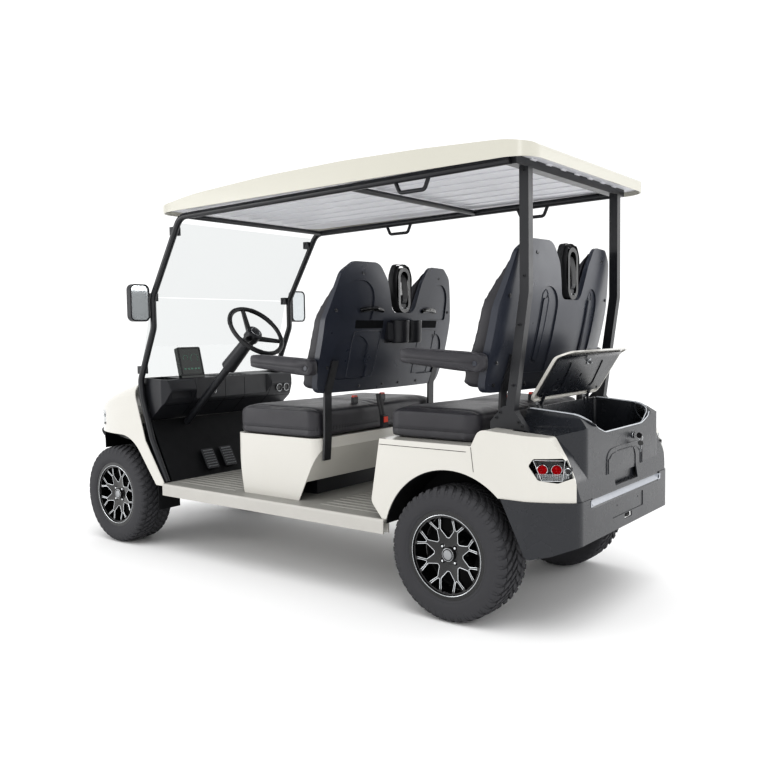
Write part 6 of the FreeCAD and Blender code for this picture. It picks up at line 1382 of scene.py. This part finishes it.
@dataclass
class CornerHoops:
    """Short tubes from the front bumper's ends up and back under the fenders."""

    def build(self) -> None:
        """Build both hoops."""
        hoops = Stock()
        for _, side in SIDES:
            path = mirrored([(426, -1601, 602), (436, -1618, 626), (441, -1622, 643), (444, -1608, 653),
                             (446, -1560, 648), (446, -1460, 630), (440, -1350, 616), (425, -1250, 609),
                             (405, -1150, 606)], side)
            hoops.pipe(resampled(path, 5), 13.0, 16)
        hoops.piece("corner_hoops", Finishes.POWDER_BLACK)


@dataclass
class BeltGuides:
    """Retractor, folded webbing and latch tongues in each oval guide, and the buckles."""

    depth: float = 46.0
    height: float = 236.0
    half_width: float = 52.5

    def reel(self, name: str, y: float, foot: float) -> None:
        """Retractor at the foot of a guide.

        Args:
            name: Name of the bench.
            y: Middle of the guide.
            foot: Height of its foot.
        """
        reel = Stock()
        hub = (0, y + 2, foot + 68)
        reel.turned([(-19, 0), (-19, 22), (-17, 25), (17, 25), (19, 22), (19, 0)], hub, ACROSS, 28)
        reel.turned([(-24, 0), (-24, 11), (24, 11), (24, 0)], hub, ACROSS, 20)
        reel.slab(oblong(0, y, 22, 16, foot + 22), UP * 26, 2.0)
        reel.piece(name + "_belt_reel", Finishes.MOULDED_BLACK)

    def webbing(self, name: str, y: float, foot: float, top: float) -> None:
        """Webbing folded inside and round a guide.

        Args:
            name: Name of the bench.
            y: Middle of the guide.
            foot: Height of its foot.
            top: Height of its top.
        """
        webbing = Stock()
        for side in BOTH:
            fold = [(4, y + 26, foot + 70), (8, y + 27, foot + 120), (12, y + 12, foot + 188),
                    (14, y - 8, foot + 196), (17, y - 30, foot + 176), (22, y - 37, foot + 130),
                    (27, y - 38, foot + 92)]
            webbing.pipe(resampled(mirrored(fold, side), 6), 17.0, 8, flat=0.07, up=(0, -1, 0.15))
            for reach, shift in ((14.0, 7.0), (27.0, -8.0)):
                half = self.half_width + reach
                loop = [(14, y + shift, top + 2 + reach * 0.6),
                        (half * 0.62, y + shift, top - 4 + reach * 0.5),
                        (half * 0.93, y + shift * 1.3, top - 42), (half, y + shift, top - 88),
                        (half - 5, y + shift * 0.6, foot + 82), (50 + reach * 0.3, y + shift, foot + 46),
                        (36, y + shift, foot + 8)]
                webbing.pipe(resampled(mirrored(loop, side), 6), 15.0, 8, flat=0.09, up=(side, 0, 0.02))
        webbing.piece(name + "_belt_webbing", Finishes.WEBBING)

    def guide(self, low: Vector, high: Vector, name: str) -> None:
        """Fill one oval guide.

        Args:
            low: Lowest corner of the guide.
            high: Highest corner of the guide.
            name: Name of the bench.
        """
        y, foot = (low.y + high.y) / 2, low.z
        self.reel(name, y, foot)
        self.webbing(name, y, foot, high.z)
        tongues, screws = Stock(), Stock()
        for side in BOTH:
            plate = ((-17, 16), (17, 16), (13, -8), (9, -34), (-9, -34), (-13, -8))
            tongues.slab([(side * 24 + a, y - 43, foot + 96 + b) for a, b in plate], FORWARD * 2.4, 0.8)
            screws.bolt((side * 20, high.y - 1, foot + 22), REARWARD, 4.5)
            screws.bolt((side * 20, low.y + 1, foot + 22), FORWARD, 4.5)
        tongues.piece(name + "_belt_tongues", Finishes.CHROME)
        screws.piece(name + "_guide_screws", Finishes.ZINC)

    def buckles(self) -> None:
        """Sleeves round the plain buckle blocks, and one buckle on two straps behind the front cushion."""
        low, high = (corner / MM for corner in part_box("belt_buckles"))
        sleeves, straps, buttons = Stock(), Stock(), Stock()
        for y, z in ((low.y + 8, low.z), (high.y - 8, low.z + 32)):
            for side in BOTH:
                sleeves.slab(oblong(side * 120, y, 17, 10, z + 1), UP * 34, 1.5)
        for x, drop in ((86.0, 0.0), (62.0, 5.0)):
            strap = [(x + 8, 372, 925), (x + 5, 378, 880), (x, 386, 835 - drop), (x - 2, 392, 790 - drop)]
            straps.pipe(resampled(strap, 6), 12.0, 8, flat=0.12, up=(0, 1, 0.1))
        sleeves.slab(oblong(71, 399, 21, 11, 742), UP * 66, 3.0)
        buttons.slab(oblong(71, 410.5, 16, 2.5, 772), UP * 30, 2.0)
        sleeves.piece("buckle_sleeves", Finishes.MOULDED_BLACK)
        straps.piece("buckle_straps", Finishes.WEBBING)
        buttons.piece("buckle_button", Finishes.RED_BUTTON)

    def build(self) -> None:
        """Build both guides and the buckles."""
        low, high = (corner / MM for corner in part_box("belt_towers"))
        size = Vector((high.x - low.x, self.depth, self.height))
        self.guide(low, low + size, "front")
        self.guide(high - size, high, "rear")
        self.buckles()


@dataclass
class Boot:
    """Rim trim, lip, lock, keys, arched beads, painted step highlight and lid fittings of the open boot."""

    lock_face: tuple[float, float, float] = (-101.0, 1694.0, 769.0)
    rim_floor: float = 790.0

    def rim_path(self, half: float, rear: float, corner: float) -> list[Vector]:
        """Plan line round the tub's rim, from its left front to its right front.

        Args:
            half: Its distance from the middle.
            rear: Place of its rear run.
            corner: Radius of its corners.

        Returns:
            Points above the rim.
        """
        side = [(half, y) for y in range(1412, int(rear - corner), 18)]
        turn = [(half - corner + corner * math.cos(t), rear - corner + corner * math.sin(t))
                for t in (math.pi / 2 * k / 12 for k in range(13))]
        back = [(x, rear) for x in range(int(half - corner) - 14, 0, -18)]
        left = side + turn + back
        plan = left + [(0.0, rear)] + [(-x, y) for x, y in reversed(left)]
        return [Vector((x, y, OVER_BOOT)) for x, y in plan]

    def flange(self, tree: BVHTree) -> None:
        """Moulded lip that caps the tub's edge all round.

        Args:
            tree: Search tree of the tub.
        """
        plan = self.rim_path(342.0, 1687.5, 60.0)
        known = {}
        for i, point in enumerate(plan):
            hit = draped(tree, [point], DOWN)
            if hit and hit[0].z > self.rim_floor:
                known[i] = hit[0].z
        rings = []
        for i, point in enumerate(plan):
            below = max((k for k in known if k <= i), default=min(known))
            above = min((k for k in known if k >= i), default=max(known))
            share = (i - below) / (above - below) if above > below else 0.0
            z = known[below] * (1 - share) + known[above] * share
            ahead = plan[min(i + 1, len(plan) - 1)] - plan[max(i - 1, 0)]
            out = Vector((ahead.y, -ahead.x, 0)).normalized()
            spot = Vector((point.x, point.y, z + 0.6))
            wide = 13.0 if abs(point.x) > 300.0 else 5.0
            section = ((-wide - 2.0, -9.0), (-wide, 0.0), (-wide * 0.5, 1.6), (wide * 0.5, 1.6), (wide, 0.0),
                       (wide, -4.0))
            rings.append([spot + out * a + UP * b for a, b in section])
        Stock().loft(rings).piece("boot_rim_flange", Finishes.SATIN_GREY)

    def keys(self) -> None:
        """Two keys on a ring, one of them in the lock."""
        metal, heads = Stock(), Stock()
        face = Vector(self.lock_face) + REARWARD * 3
        metal.slab([face + Vector((a, 0, b)) for a, b in ((-3.4, -1), (3.4, -1), (3.4, 1), (-3.4, 1))],
                   REARWARD * 14)
        heads.turned([(-2.6, 0), (-2.6, 11.5), (-1.4, 13), (1.4, 13), (2.6, 11.5), (2.6, 0)],
                     face + REARWARD * 24, ACROSS, 28)
        metal.pipe(circle(face + Vector((0, 30, -11)), DOWN * 11, REARWARD * 9, 1.0, 28), 0.9, 6, closed=True)
        hang = face + Vector((0, 30, -34))
        heads.turned([(-2.4, 0), (-2.4, 10.5), (-1.2, 12), (1.2, 12), (2.4, 10.5), (2.4, 0)], hang,
                     (1, 0.25, 0), 28)
        blade = [hang + Vector((-1.1, a, b)) for a, b in (
            (-3.6, -10), (3.6, -10), (3.6, -26), (1.6, -28), (3.2, -31), (1.6, -34), (2.8, -37), (0, -41),
            (-3.6, -38))]
        metal.slab(blade, ACROSS * 2.2)
        metal.piece("boot_keys", Finishes.CHROME)
        heads.piece("boot_key_heads", Finishes.PIANO_BLACK)

    def arch(self, tub: BVHTree) -> None:
        """Raised arched beads on the tub's rear wall.

        Args:
            tub: Search tree of the tub.
        """
        beads = Stock()
        for half, crown in ((204.0, 738.0), (184.0, 716.0)):
            left = [(half, 632.0), (half, 660.0), (half - 1, 690.0), (half - 12, crown - 22),
                    (half - 40, crown - 6), (half - 90, crown)]
            plan = left + [(0.0, crown + 2)] + [(-x, z) for x, z in reversed(left)]
            line = resampled([(x, BEHIND, z) for x, z in plan], 5)
            beads.bead(draped(tub, line, FORWARD, 0.2), 3.2, 10)
        beads.piece("boot_arch_beads", Finishes.SATIN_GREY)

    def step_highlight(self) -> None:
        """Pale blue-grey strip on the sloping step of the bumper: a painted highlight."""
        bumper = surface("rear_bumper")
        heights = (553, 546, 539, 532, 527)
        rows = []
        for x in range(-400, 401, 10):
            row = draped(bumper, [(x, BEHIND, z) for z in heights], FORWARD, 0.3)
            if len(row) == len(heights):
                rows.append(row + [p + Vector((0, 1.6, 1.0)) for p in reversed(row)])
        Stock().loft(rows).piece("bumper_step_highlight", Finishes.STEP_PAD)

    def lid_fittings(self) -> None:
        """Hinge pins, striker and screws of the lid."""
        pins, latch, screws = Stock(), Stock(), Stock()
        pin = [(-25, 0), (-25, 6), (-23, 7), (-21, 7), (-21, 4.2), (21, 4.2), (21, 7), (23, 7), (25, 6), (25, 0)]
        for side in BOTH:
            pins.turned(pin, (side * 240, 1400, 928), ACROSS, 20)
        pins.piece("lid_hinge_pins", Finishes.ZINC)
        lid = surface("lid_inner")
        out = (0, 0.88, -0.47)
        for place in draped(lid, [(0, 1760, 1128)], (0, -1, -0.1)):
            latch.turned([(-2, 17), (2, 16.5), (3, 13), (3, 6), (17, 5.4), (18, 4), (18, 0)], place, out, 24)
        latch.piece("lid_striker", Finishes.ZINC, "lid")
        for place in draped(lid, [(x, 1760, 985) for x in (-285, -60, 60, 285)], (0, -1, -0.05)):
            screws.bolt(place, out, 5.5, 3.0)
        screws.piece("lid_screws", Finishes.POWDER_BLACK, "lid")

    def build(self) -> None:
        """Build the boot's fittings."""
        tub = surface("trunk_box")
        trim, lock = Stock(), Stock()
        for half, rear, corner, radius in ((335.0, 1684.5, 53.0, 2.2), (350.0, 1691.0, 64.0, 2.6)):
            path = draped(tub, self.rim_path(half, rear, corner), DOWN, 2.2)
            trim.pipe([p for p in path if p.z > self.rim_floor - 10], radius, 8)
        trim.piece("boot_rim_trim", Finishes.TRIM_GREY)
        self.flange(tub)
        self.keys()
        self.arch(tub)
        self.step_highlight()
        place = Vector(self.lock_face)
        lock.turned([(-0.5, 15.4), (1.6, 15.0), (2.2, 12.0), (1.4, 11.0), (2.4, 9.5), (2.6, 0.0)], place,
                    REARWARD, 32)
        lock.slab([place + Vector((a, 2.4, b)) for a, b in ((-1.2, -5), (1.2, -5), (1.2, 5), (-1.2, 5))],
                  REARWARD * 0.9)
        lock.piece("boot_lock", Finishes.CHROME)
        self.lid_fittings()


@dataclass
class Lamps:
    """Insides of the lamps behind their clear lenses."""

    facets: int = 28

    def reds(self, side: float, name: str) -> None:
        """Two ringed red lamps with bright bezels, and a clear reversing lamp beside them.

        Args:
            side: 1 for left and -1 for right.
            name: Side's name.
        """
        red, bezel, clear = Stock(), Stock(), Stock()
        radius = 18.5
        ribs = [(-14, 0), (-14, radius), (2, radius)]
        for k in range(5):
            ribs += [(5.5, radius * (0.92 - 0.18 * k)), (2.0, radius * (0.86 - 0.18 * k))]
        wall = [(a, radius + b) for a, b in ((-8, 0.6), (4, 0.6), (5, 2.0), (4, 3.4), (-8, 3.4))]
        for place, axis in (((556, 1574, 692), (0.93, 0.36, 0)), ((531, 1624, 692), (0.87, 0.5, 0))):
            middle, aim = mirrored([place, axis], side)
            red.turned(ribs + [(5.5, 0)], middle, aim, 40)
            bezel.turned(wall, middle, aim, 40)
        red.piece("tail_red_" + name, Finishes.RED_LENS)
        bezel.piece("tail_bezel_" + name, Finishes.CHROME)
        middle, aim = mirrored([(514, 1664, 686), (0.87, 0.5, 0)], side)
        clear.turned([(-10, 0), (-10, 13), (0, 15), (1.5, 13), (-3, 9), (-5, 0)], middle, aim, 28)
        clear.piece("tail_reverse_" + name, Finishes.CHROME)

    def tail(self, side: float, name: str) -> None:
        """Dark housing, lamps, reflector grid and bright frame of one tail lamp.

        Args:
            side: 1 for left and -1 for right.
            name: Side's name.
        """
        housing, rim, grid = Stock(), Stock(), Stock()
        wall = mirrored([(560, 1536, 724), (545, 1554, 648), (530, 1606, 652), (507, 1676, 664),
                         (507, 1682, 700), (528, 1626, 728)], side)
        housing.slab(wall, (-side * 8, -4, 0))
        housing.piece("tail_housing_" + name, Finishes.PIANO_BLACK)
        self.reds(side, name)
        lens = surface("tail_lamps")

        def line(plan: Points, lift_mm: float) -> list[Vector]:
            """Drop pairs of place along and height on the lens.

            Args:
                plan: The pairs.
                lift_mm: How far the line stands off the lens.

            Returns:
                Points of the line.
            """
            return draped(lens, [(side * BESIDE, y, z) for y, z in plan], (-side, 0, 0), lift_mm)

        for k in range(7):
            grid.bead(line([(y, 652 + k * 4.0) for y in range(1552, 1676, 6)], -7.0), 0.7, 5)
        for k in range(21):
            grid.bead(line([(1550 + k * 6, z) for z in (650, 658, 666, 676)], -7.0), 0.6, 5, least=3)
        low, high = (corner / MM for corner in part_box("tail_lamps"))
        along = list(range(1546, 1680, 8))
        edge = [(y, high.z - 8) for y in along] + [(y, low.z + 9) for y in reversed(along)]
        rim.pipe(line(edge, 0.3), 1.6, 6, closed=True)
        rim.piece("tail_frame_" + name, Finishes.CHROME)
        grid.piece("tail_reflector_" + name, Finishes.CHROME)

    def head(self, side: float, name: str) -> None:
        """Three bowls with their projector lenses, laid on the lamp's face.

        Args:
            side: 1 for left and -1 for right.
            name: Side's name.
        """
        tree = surface("headlamps")
        bowls, lenses = Stock(), Stock()
        bowl = ((1.0, 0.2), (0.97, 2.2), (0.88, 2.6), (0.74, 0.8), (0.5, 0.4))
        lens = ((0.56, 0.3), (0.5, 1.8), (0.3, 2.9), (0.08, 3.2))
        for x, z, radius in ((330, 742, 20.0), (392, 742, 18.0), (446, 744, 14.0)):
            middle = (x * side, AHEAD, z)
            rings = [draped(tree, circle(middle, ACROSS, UP, radius * share, self.facets), REARWARD, lift)
                     for share, lift in bowl + lens]
            if all(len(ring) == self.facets for ring in rings):
                bowls.loft(rings[:len(bowl)])
                lenses.loft(rings[len(bowl):])
        bowls.piece("head_bowls_" + name, Finishes.CHROME)
        lenses.piece("head_lenses_" + name, Finishes.LAMP_GLASS)

    def build(self) -> None:
        """Build all four lamps."""
        for name, side in SIDES:
            self.tail(side, name)
            self.head(side, name)


@dataclass
class Cockpit:
    """Dash fittings, screen bezel, steering wheel and pedal details."""

    screen_x: float = 280.0
    grip_radius: float = 167.0
    hub_place: tuple[float, float, float] = (280.0, -345.0, 1267.0)
    hub_axis: tuple[float, float, float] = (0.0, 0.75585, 0.65474)

    def dash(self) -> None:
        """Ignition, outlets, posts, ribs and gaps of the dash, the gaps as painted shade."""
        tree = surface("dashboard")
        rings, dark, posts, ribs, gaps = Stock(), Stock(), Stock(), Stock(), Stock()
        for place in draped(tree, [(x, CABIN, 905) for x in (196.0, 150.0)], FORWARD):
            rings.pipe(circle(place + REARWARD * 3.0, ACROSS, UP, 14.0, 32), 1.3, 8, closed=True)
            dark.turned([(0, 15.0), (2.6, 14.6), (3.4, 12.0), (1.4, 10.4), (3.8, 8.6), (4.4, 0)], place,
                        (0, 1, 0.1), 28)
        for x in (-380.5, -446.5):
            middle = Vector((x, -838, 893))
            rings.pipe(circle(middle + REARWARD * 1.6, ACROSS, UP, 24.5, 40), 1.4, 8, closed=True)
            outlet = [(-10, 0), (-10, 22.4), (-4, 22.2), (-4, 16), (-7, 14), (-7, 0)]
            dark.turned(outlet, middle, REARWARD, 36)
        rings.piece("dash_bright_rings", Finishes.CHROME)
        dark.piece("dash_plugs", Finishes.PIANO_BLACK)
        for x, y in ((375, -905), (-375, -900)):
            posts.turned([(0, 9), (2, 9), (3, 6.5), (30, 6.0), (31, 8.5), (35, 8.5), (36, 7), (36.5, 0)],
                         (x, y, 925), (0, 0.1, 1), 24)
        posts.piece("bin_posts", Finishes.CHROME)
        for i in range(9):
            found = draped(tree, [(-150 + i * 34, y, OVER_BOOT) for y in range(-985, -850, 12)], DOWN, 0.8)
            ribs.bead([p for p in found if p.z > 960], 4.2, 8, flat=0.5, up=UP)
        ribs.piece("dash_top_ribs", Finishes.MOULDED_BLACK)
        # The dash's gaps are painted shade: near-black beads laid along its panel joints.
        for x in (312, -312, 60, -100):
            gaps.bead(draped(tree, [(x, CABIN, z) for z in range(770, 985, 9)], FORWARD, 0.2), 1.1)
        gaps.bead(draped(tree, [(x, CABIN, 838) for x in range(-505, 506, 12)], FORWARD, 0.2), 1.2)
        gaps.piece("dash_gaps", Finishes.GAP_DARK)

    def screen(self) -> None:
        """Glass, bezel and blank gauges of the display."""
        glass, bezel, marks = Stock(), Stock(), Stock()
        starts = [(self.screen_x, -600.0, z) for z in (1030.0, 1090.0, 1150.0)]
        base, middle, top = draped(surface("display"), starts, FORWARD)
        up = (top - base).normalized()
        normal = up.cross(ACROSS).normalized()

        def on_face(plan: Points, lift: float) -> list[Vector]:
            """Lay pairs of place across and up on the screen.

            Args:
                plan: The pairs, from the screen's middle.
                lift: How far they stand off the screen.

            Returns:
                The points.
            """
            return [middle + ACROSS * a + up * b + normal * lift for a, b in plan]

        glass.slab(on_face(((-74, -78), (74, -78), (74, 78), (-74, 78)), 0.4), normal * 1.4, 1.0)
        glass.piece("display_glass", Finishes.SCREEN)
        loop = ((-79, -70), (-70, -83), (70, -83), (79, -70), (79, 70), (70, 83), (-70, 83), (-79, 70))
        bezel.pipe(resampled(on_face(loop, 0.8), 4, True), 2.6, 8, closed=True)
        bezel.piece("display_bezel", Finishes.MOULDED_BLACK)
        for a, b, radius in ((-30, 18, 27.0), (36, 22, 17.0)):
            dial = [(a + radius * math.cos(t), b + radius * math.sin(t))
                    for t in (math.radians(-40 + 260 * k / 40) for k in range(41))]
            marks.pipe(on_face(dial, 2.0), 1.2, 6)
        for a in range(-52, 53, 26):
            marks.slab(on_face([(a + x, y - 46) for x, y in ((-8, -5), (8, -5), (8, 5), (-8, 5))], 1.9),
                       normal * 0.4)
        marks.piece("display_gauges", Finishes.SCREEN_GLOW)

    def wheel(self) -> None:
        """Hub cover, bright ring and grip mouldings of the steering wheel."""
        centre, axis = Vector(self.hub_place), Vector(self.hub_axis)
        body = "steering_wheel_body"
        hub, ring, grips = Stock(), Stock(), Stock()
        other = axis.cross(ACROSS)
        hub.turned([(-34, 45.5), (-14, 46), (-9, 43), (-5, 34), (-3.5, 20), (-3, 0)], centre, axis, 48)
        hub.piece("steering_hub_cover", Finishes.MOULDED_BLACK, body)
        ring.pipe(circle(centre - axis * 4.6, ACROSS, other, 27, 48), 1.2, 8, closed=True)
        ring.piece("steering_hub_ring", Finishes.CHROME, body)
        for start in (20, 110, 200, 290):
            grips.pipe([centre + (ACROSS * math.cos(t) + other * math.sin(t)) * self.grip_radius
                        for t in (math.radians(start + 50 * k / 20) for k in range(21))], 13.4, 16)
        grips.piece("steering_grips", Finishes.GRIP, body)

    def pedals(self) -> None:
        """Ribbed pads of both pedals."""
        tree = surface("pedals")
        ribs = Stock()
        for x in (225.0, 82.0):
            for z in range(452, 543, 15):
                row = draped(tree, [(x - 36 + 72 * i / 8, -600, z) for i in range(9)], FORWARD, 1.2)
                ribs.bead(row, 3.2, 8, flat=0.7, up=REARWARD)
        ribs.piece("pedal_ribs", Finishes.PEDAL_GREY)

    def build(self) -> None:
        """Build the cockpit's fittings."""
        self.dash()
        self.screen()
        self.wheel()
        self.pedals()


@dataclass
class BodyLines:
    """Panel gaps, roof ribs, floor ribs and fasteners on the body."""

    gap_radius: float = 1.3
    pillar_face: float = 480.5
    floor_top: float = 399.8

    def roof(self) -> None:
        """Ribs under the roof liner."""
        low, high = (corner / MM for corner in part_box("roof_liner"))
        ribs = Stock()
        for x in range(-420, 421, 140):
            foot = oblong(x, (low.y + high.y) / 2, 24, (high.y - low.y) / 2 - 80, low.z - 0.2)
            ribs.slab(foot, DOWN * 5.0, 6.0)
        ribs.piece("liner_ribs", Finishes.ROOF_LINING)

    def floor(self) -> None:
        """Raised ribs along the floor."""
        ribs = Stock()
        for start, end in ((-790, -300), (330, 715)):
            for x in range(-500, 501, 50):
                ribs.slab(oblong(x, (start + end) / 2, 9, (end - start) / 2, self.floor_top), UP * 2.2, 2.0)
        ribs.piece("floor_ribs", Finishes.FLOOR_GREY)

    def gaps(self) -> None:
        """Panel gaps on the white body, drawn as painted shade: near-black beads."""
        lines = Stock()
        rear, front = surface("rear_body"), surface("front_body")
        for side in BOTH:
            level = [(side * BESIDE, y, 742) for y in range(735, 1250, 14)]
            upright = [(side * BESIDE, 1262 + (768 - z) * 0.12, z) for z in range(660, 800, 8)]
            for starts in (level, upright):
                found = draped(rear, starts, (-side, 0, 0))
                lines.bead([p for p in found if abs(p.x) > 560], self.gap_radius)
            lines.bead(draped(front, [(side * 430, y, OVER_BODY) for y in range(-1420, -960, 16)], DOWN),
                       self.gap_radius)
        bow = [(x, -1395 - 0.00012 * (430 * 430 - x * x), OVER_BODY) for x in range(-430, 431, 20)]
        lines.bead(draped(front, bow, DOWN), self.gap_radius)
        lines.piece("body_gaps", Finishes.GAP_DARK)

    def pillars(self) -> None:
        """Bolts of the pillar feet and of what the pillars carry."""
        bolts = Stock()
        tube = surface("rear_pillars")
        for side in BOTH:
            for y, z, radius in ((1322, 882, 6.5), (1340, 905, 6.5), (1428, 868, 6.5), (1444, 852, 6.5),
                                 (1456, 1895, 5.5), (1456, 1470, 5.5)):
                bolts.bolt((side * self.pillar_face, y, z), (side, 0, 0), radius, 4.0)
            for z in (1020, 1271):
                hits = draped(tube, [(side * 700, y, z) for y in range(1290, 1490, 6)], (-side, 0, 0))
                bolts.bolt(sum(hits, Vector()) / len(hits), (side, 0, 0), 4.5, 12.0)
        bolts.piece("pillar_bolts", Finishes.POWDER_BLACK)

    def build(self) -> None:
        """Build the body's small forms."""
        self.roof()
        self.floor()
        self.gaps()
        self.pillars()


@dataclass
class CarriedNodes:
    """CAD nodes that keep their shape and get a real finish."""

    finishes: dict[Finishes, str]

    def build(self) -> None:
        """Dress each node."""
        for finish, names in self.finishes.items():
            for name in names.split():
                dress(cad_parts[name], finish)
                LOG.info("finish %s on %s", finish.value.name, name)


@dataclass
class Studio:
    """Pale floor, soft lamps and the camera at the photograph's place."""

    eye: tuple[float, float, float] = (3.4826, 3.0660, 1.2469)
    turn: float = math.radians(37.983)
    dip: float = math.radians(-3.596)
    lean: float = math.radians(-0.861)
    lens_mm: float = 38.30
    sensor_mm: float = 36.0
    floor_size: float = 160.0
    far_power: float = 0.7
    far_angle: float = math.radians(38.0)
    far_tilt: tuple[float, float, float] = (math.radians(-16.0), math.radians(14.0), 0.0)
    cards: tuple[tuple[str, Point, Point, float, float], ...] = (
        ("left_card", (5.0, -4.2, 1.7), (0.3, 0.2, 0.9), 2.5, 60.0),
        ("rear_card", (-4.4, 5.4, 1.9), (0.0, 1.2, 0.8), 2.5, 60.0),
        ("near_card", (4.6, 5.6, 3.4), (0.2, 0.8, 0.8), 1.2, 24.0))

    def camera(self) -> None:
        """Place the camera."""
        ahead = Vector((-math.cos(self.turn) * math.cos(self.dip), -math.sin(self.turn) * math.cos(self.dip),
                        math.sin(self.dip)))
        flat = ahead.cross(UP).normalized()
        up = flat.cross(ahead)
        right = flat * math.cos(self.lean) + up * math.sin(self.lean)
        top = up * math.cos(self.lean) - flat * math.sin(self.lean)
        data = bpy.data.cameras.new("view")
        data.lens = self.lens_mm
        data.sensor_width = self.sensor_mm
        data.clip_end = self.floor_size * 2
        view = bpy.data.objects.new("view", data)
        turn = Matrix((right, top, -ahead)).transposed().to_4x4()
        view.matrix_world = Matrix.Translation(Vector(self.eye)) @ turn
        bpy.context.scene.collection.objects.link(view)
        bpy.context.scene.camera = view

    def lamp(self, name: str, place: Point, target: Point, size: float, power: float) -> None:
        """Hang one soft lamp.

        Args:
            name: Name of the lamp.
            place: Where it hangs.
            target: What it points at.
            size: Width of its square face in metres.
            power: Its power in watts.
        """
        data = bpy.data.lights.new(name, "AREA")
        data.shape = "SQUARE"
        data.size = size
        data.energy = power
        lamp = bpy.data.objects.new(name, data)
        lamp.location = place
        lamp.rotation_euler = (Vector(target) - Vector(place)).to_track_quat("-Z", "Y").to_euler()
        bpy.context.scene.collection.objects.link(lamp)

    def sun(self) -> None:
        """Hang one far, wide lamp that lights the whole floor alike and grounds the wheels."""
        data = bpy.data.lights.new("far_lamp", "SUN")
        data.energy = self.far_power
        data.angle = self.far_angle
        lamp = bpy.data.objects.new("far_lamp", data)
        lamp.rotation_euler = self.far_tilt
        bpy.context.scene.collection.objects.link(lamp)

    def floor(self) -> None:
        """Lay the pale floor."""
        half = self.floor_size / 2
        mesh = bpy.data.meshes.new("studio_floor")
        mesh.from_pydata([(-half, -half, 0), (half, -half, 0), (half, half, 0), (-half, half, 0)], [],
                         [(0, 1, 2, 3)])
        ground = bpy.data.objects.new("studio_floor", mesh)
        bpy.context.scene.collection.objects.link(ground)
        # Matt paper roll: pale, so that only the contact shadow shows.
        paper = Finish("studio_paper", "#efefef", "#ededed", 0.95, 3.0, 0.0, 2000.0, specular=0.0)
        ground.data.materials.append(paper.build())

    def build(self) -> None:
        """Set up the whole studio."""
        scene = bpy.context.scene
        world = bpy.data.worlds.new("studio")
        world.use_nodes = True
        sky = world.node_tree.nodes["Background"].inputs
        sky["Color"].default_value = linear("#ffffff")
        sky["Strength"].default_value = 1.0
        scene.world = world
        scene.view_settings.view_transform = "Standard"
        scene.view_settings.look = "Medium High Contrast"
        self.floor()
        self.sun()
        for name, place, target, size, power in self.cards:
            self.lamp(name, place, target, size, power)
        self.camera()


def main() -> None:
    """Build every sub-assembly in order."""
    Studio().build()
    CarriedNodes(NODE_FINISH).build()
    Wheels().build()
    Seats().build()
    BackShells().build()
    Organizer().build()
    CornerHoops().build()
    BeltGuides().build()
    Boot().build()
    Lamps().build()
    Cockpit().build()
    BodyLines().build()


if __name__ == "__main__":
    logging.basicConfig(level=logging.INFO, format="%(message)s")
    main()
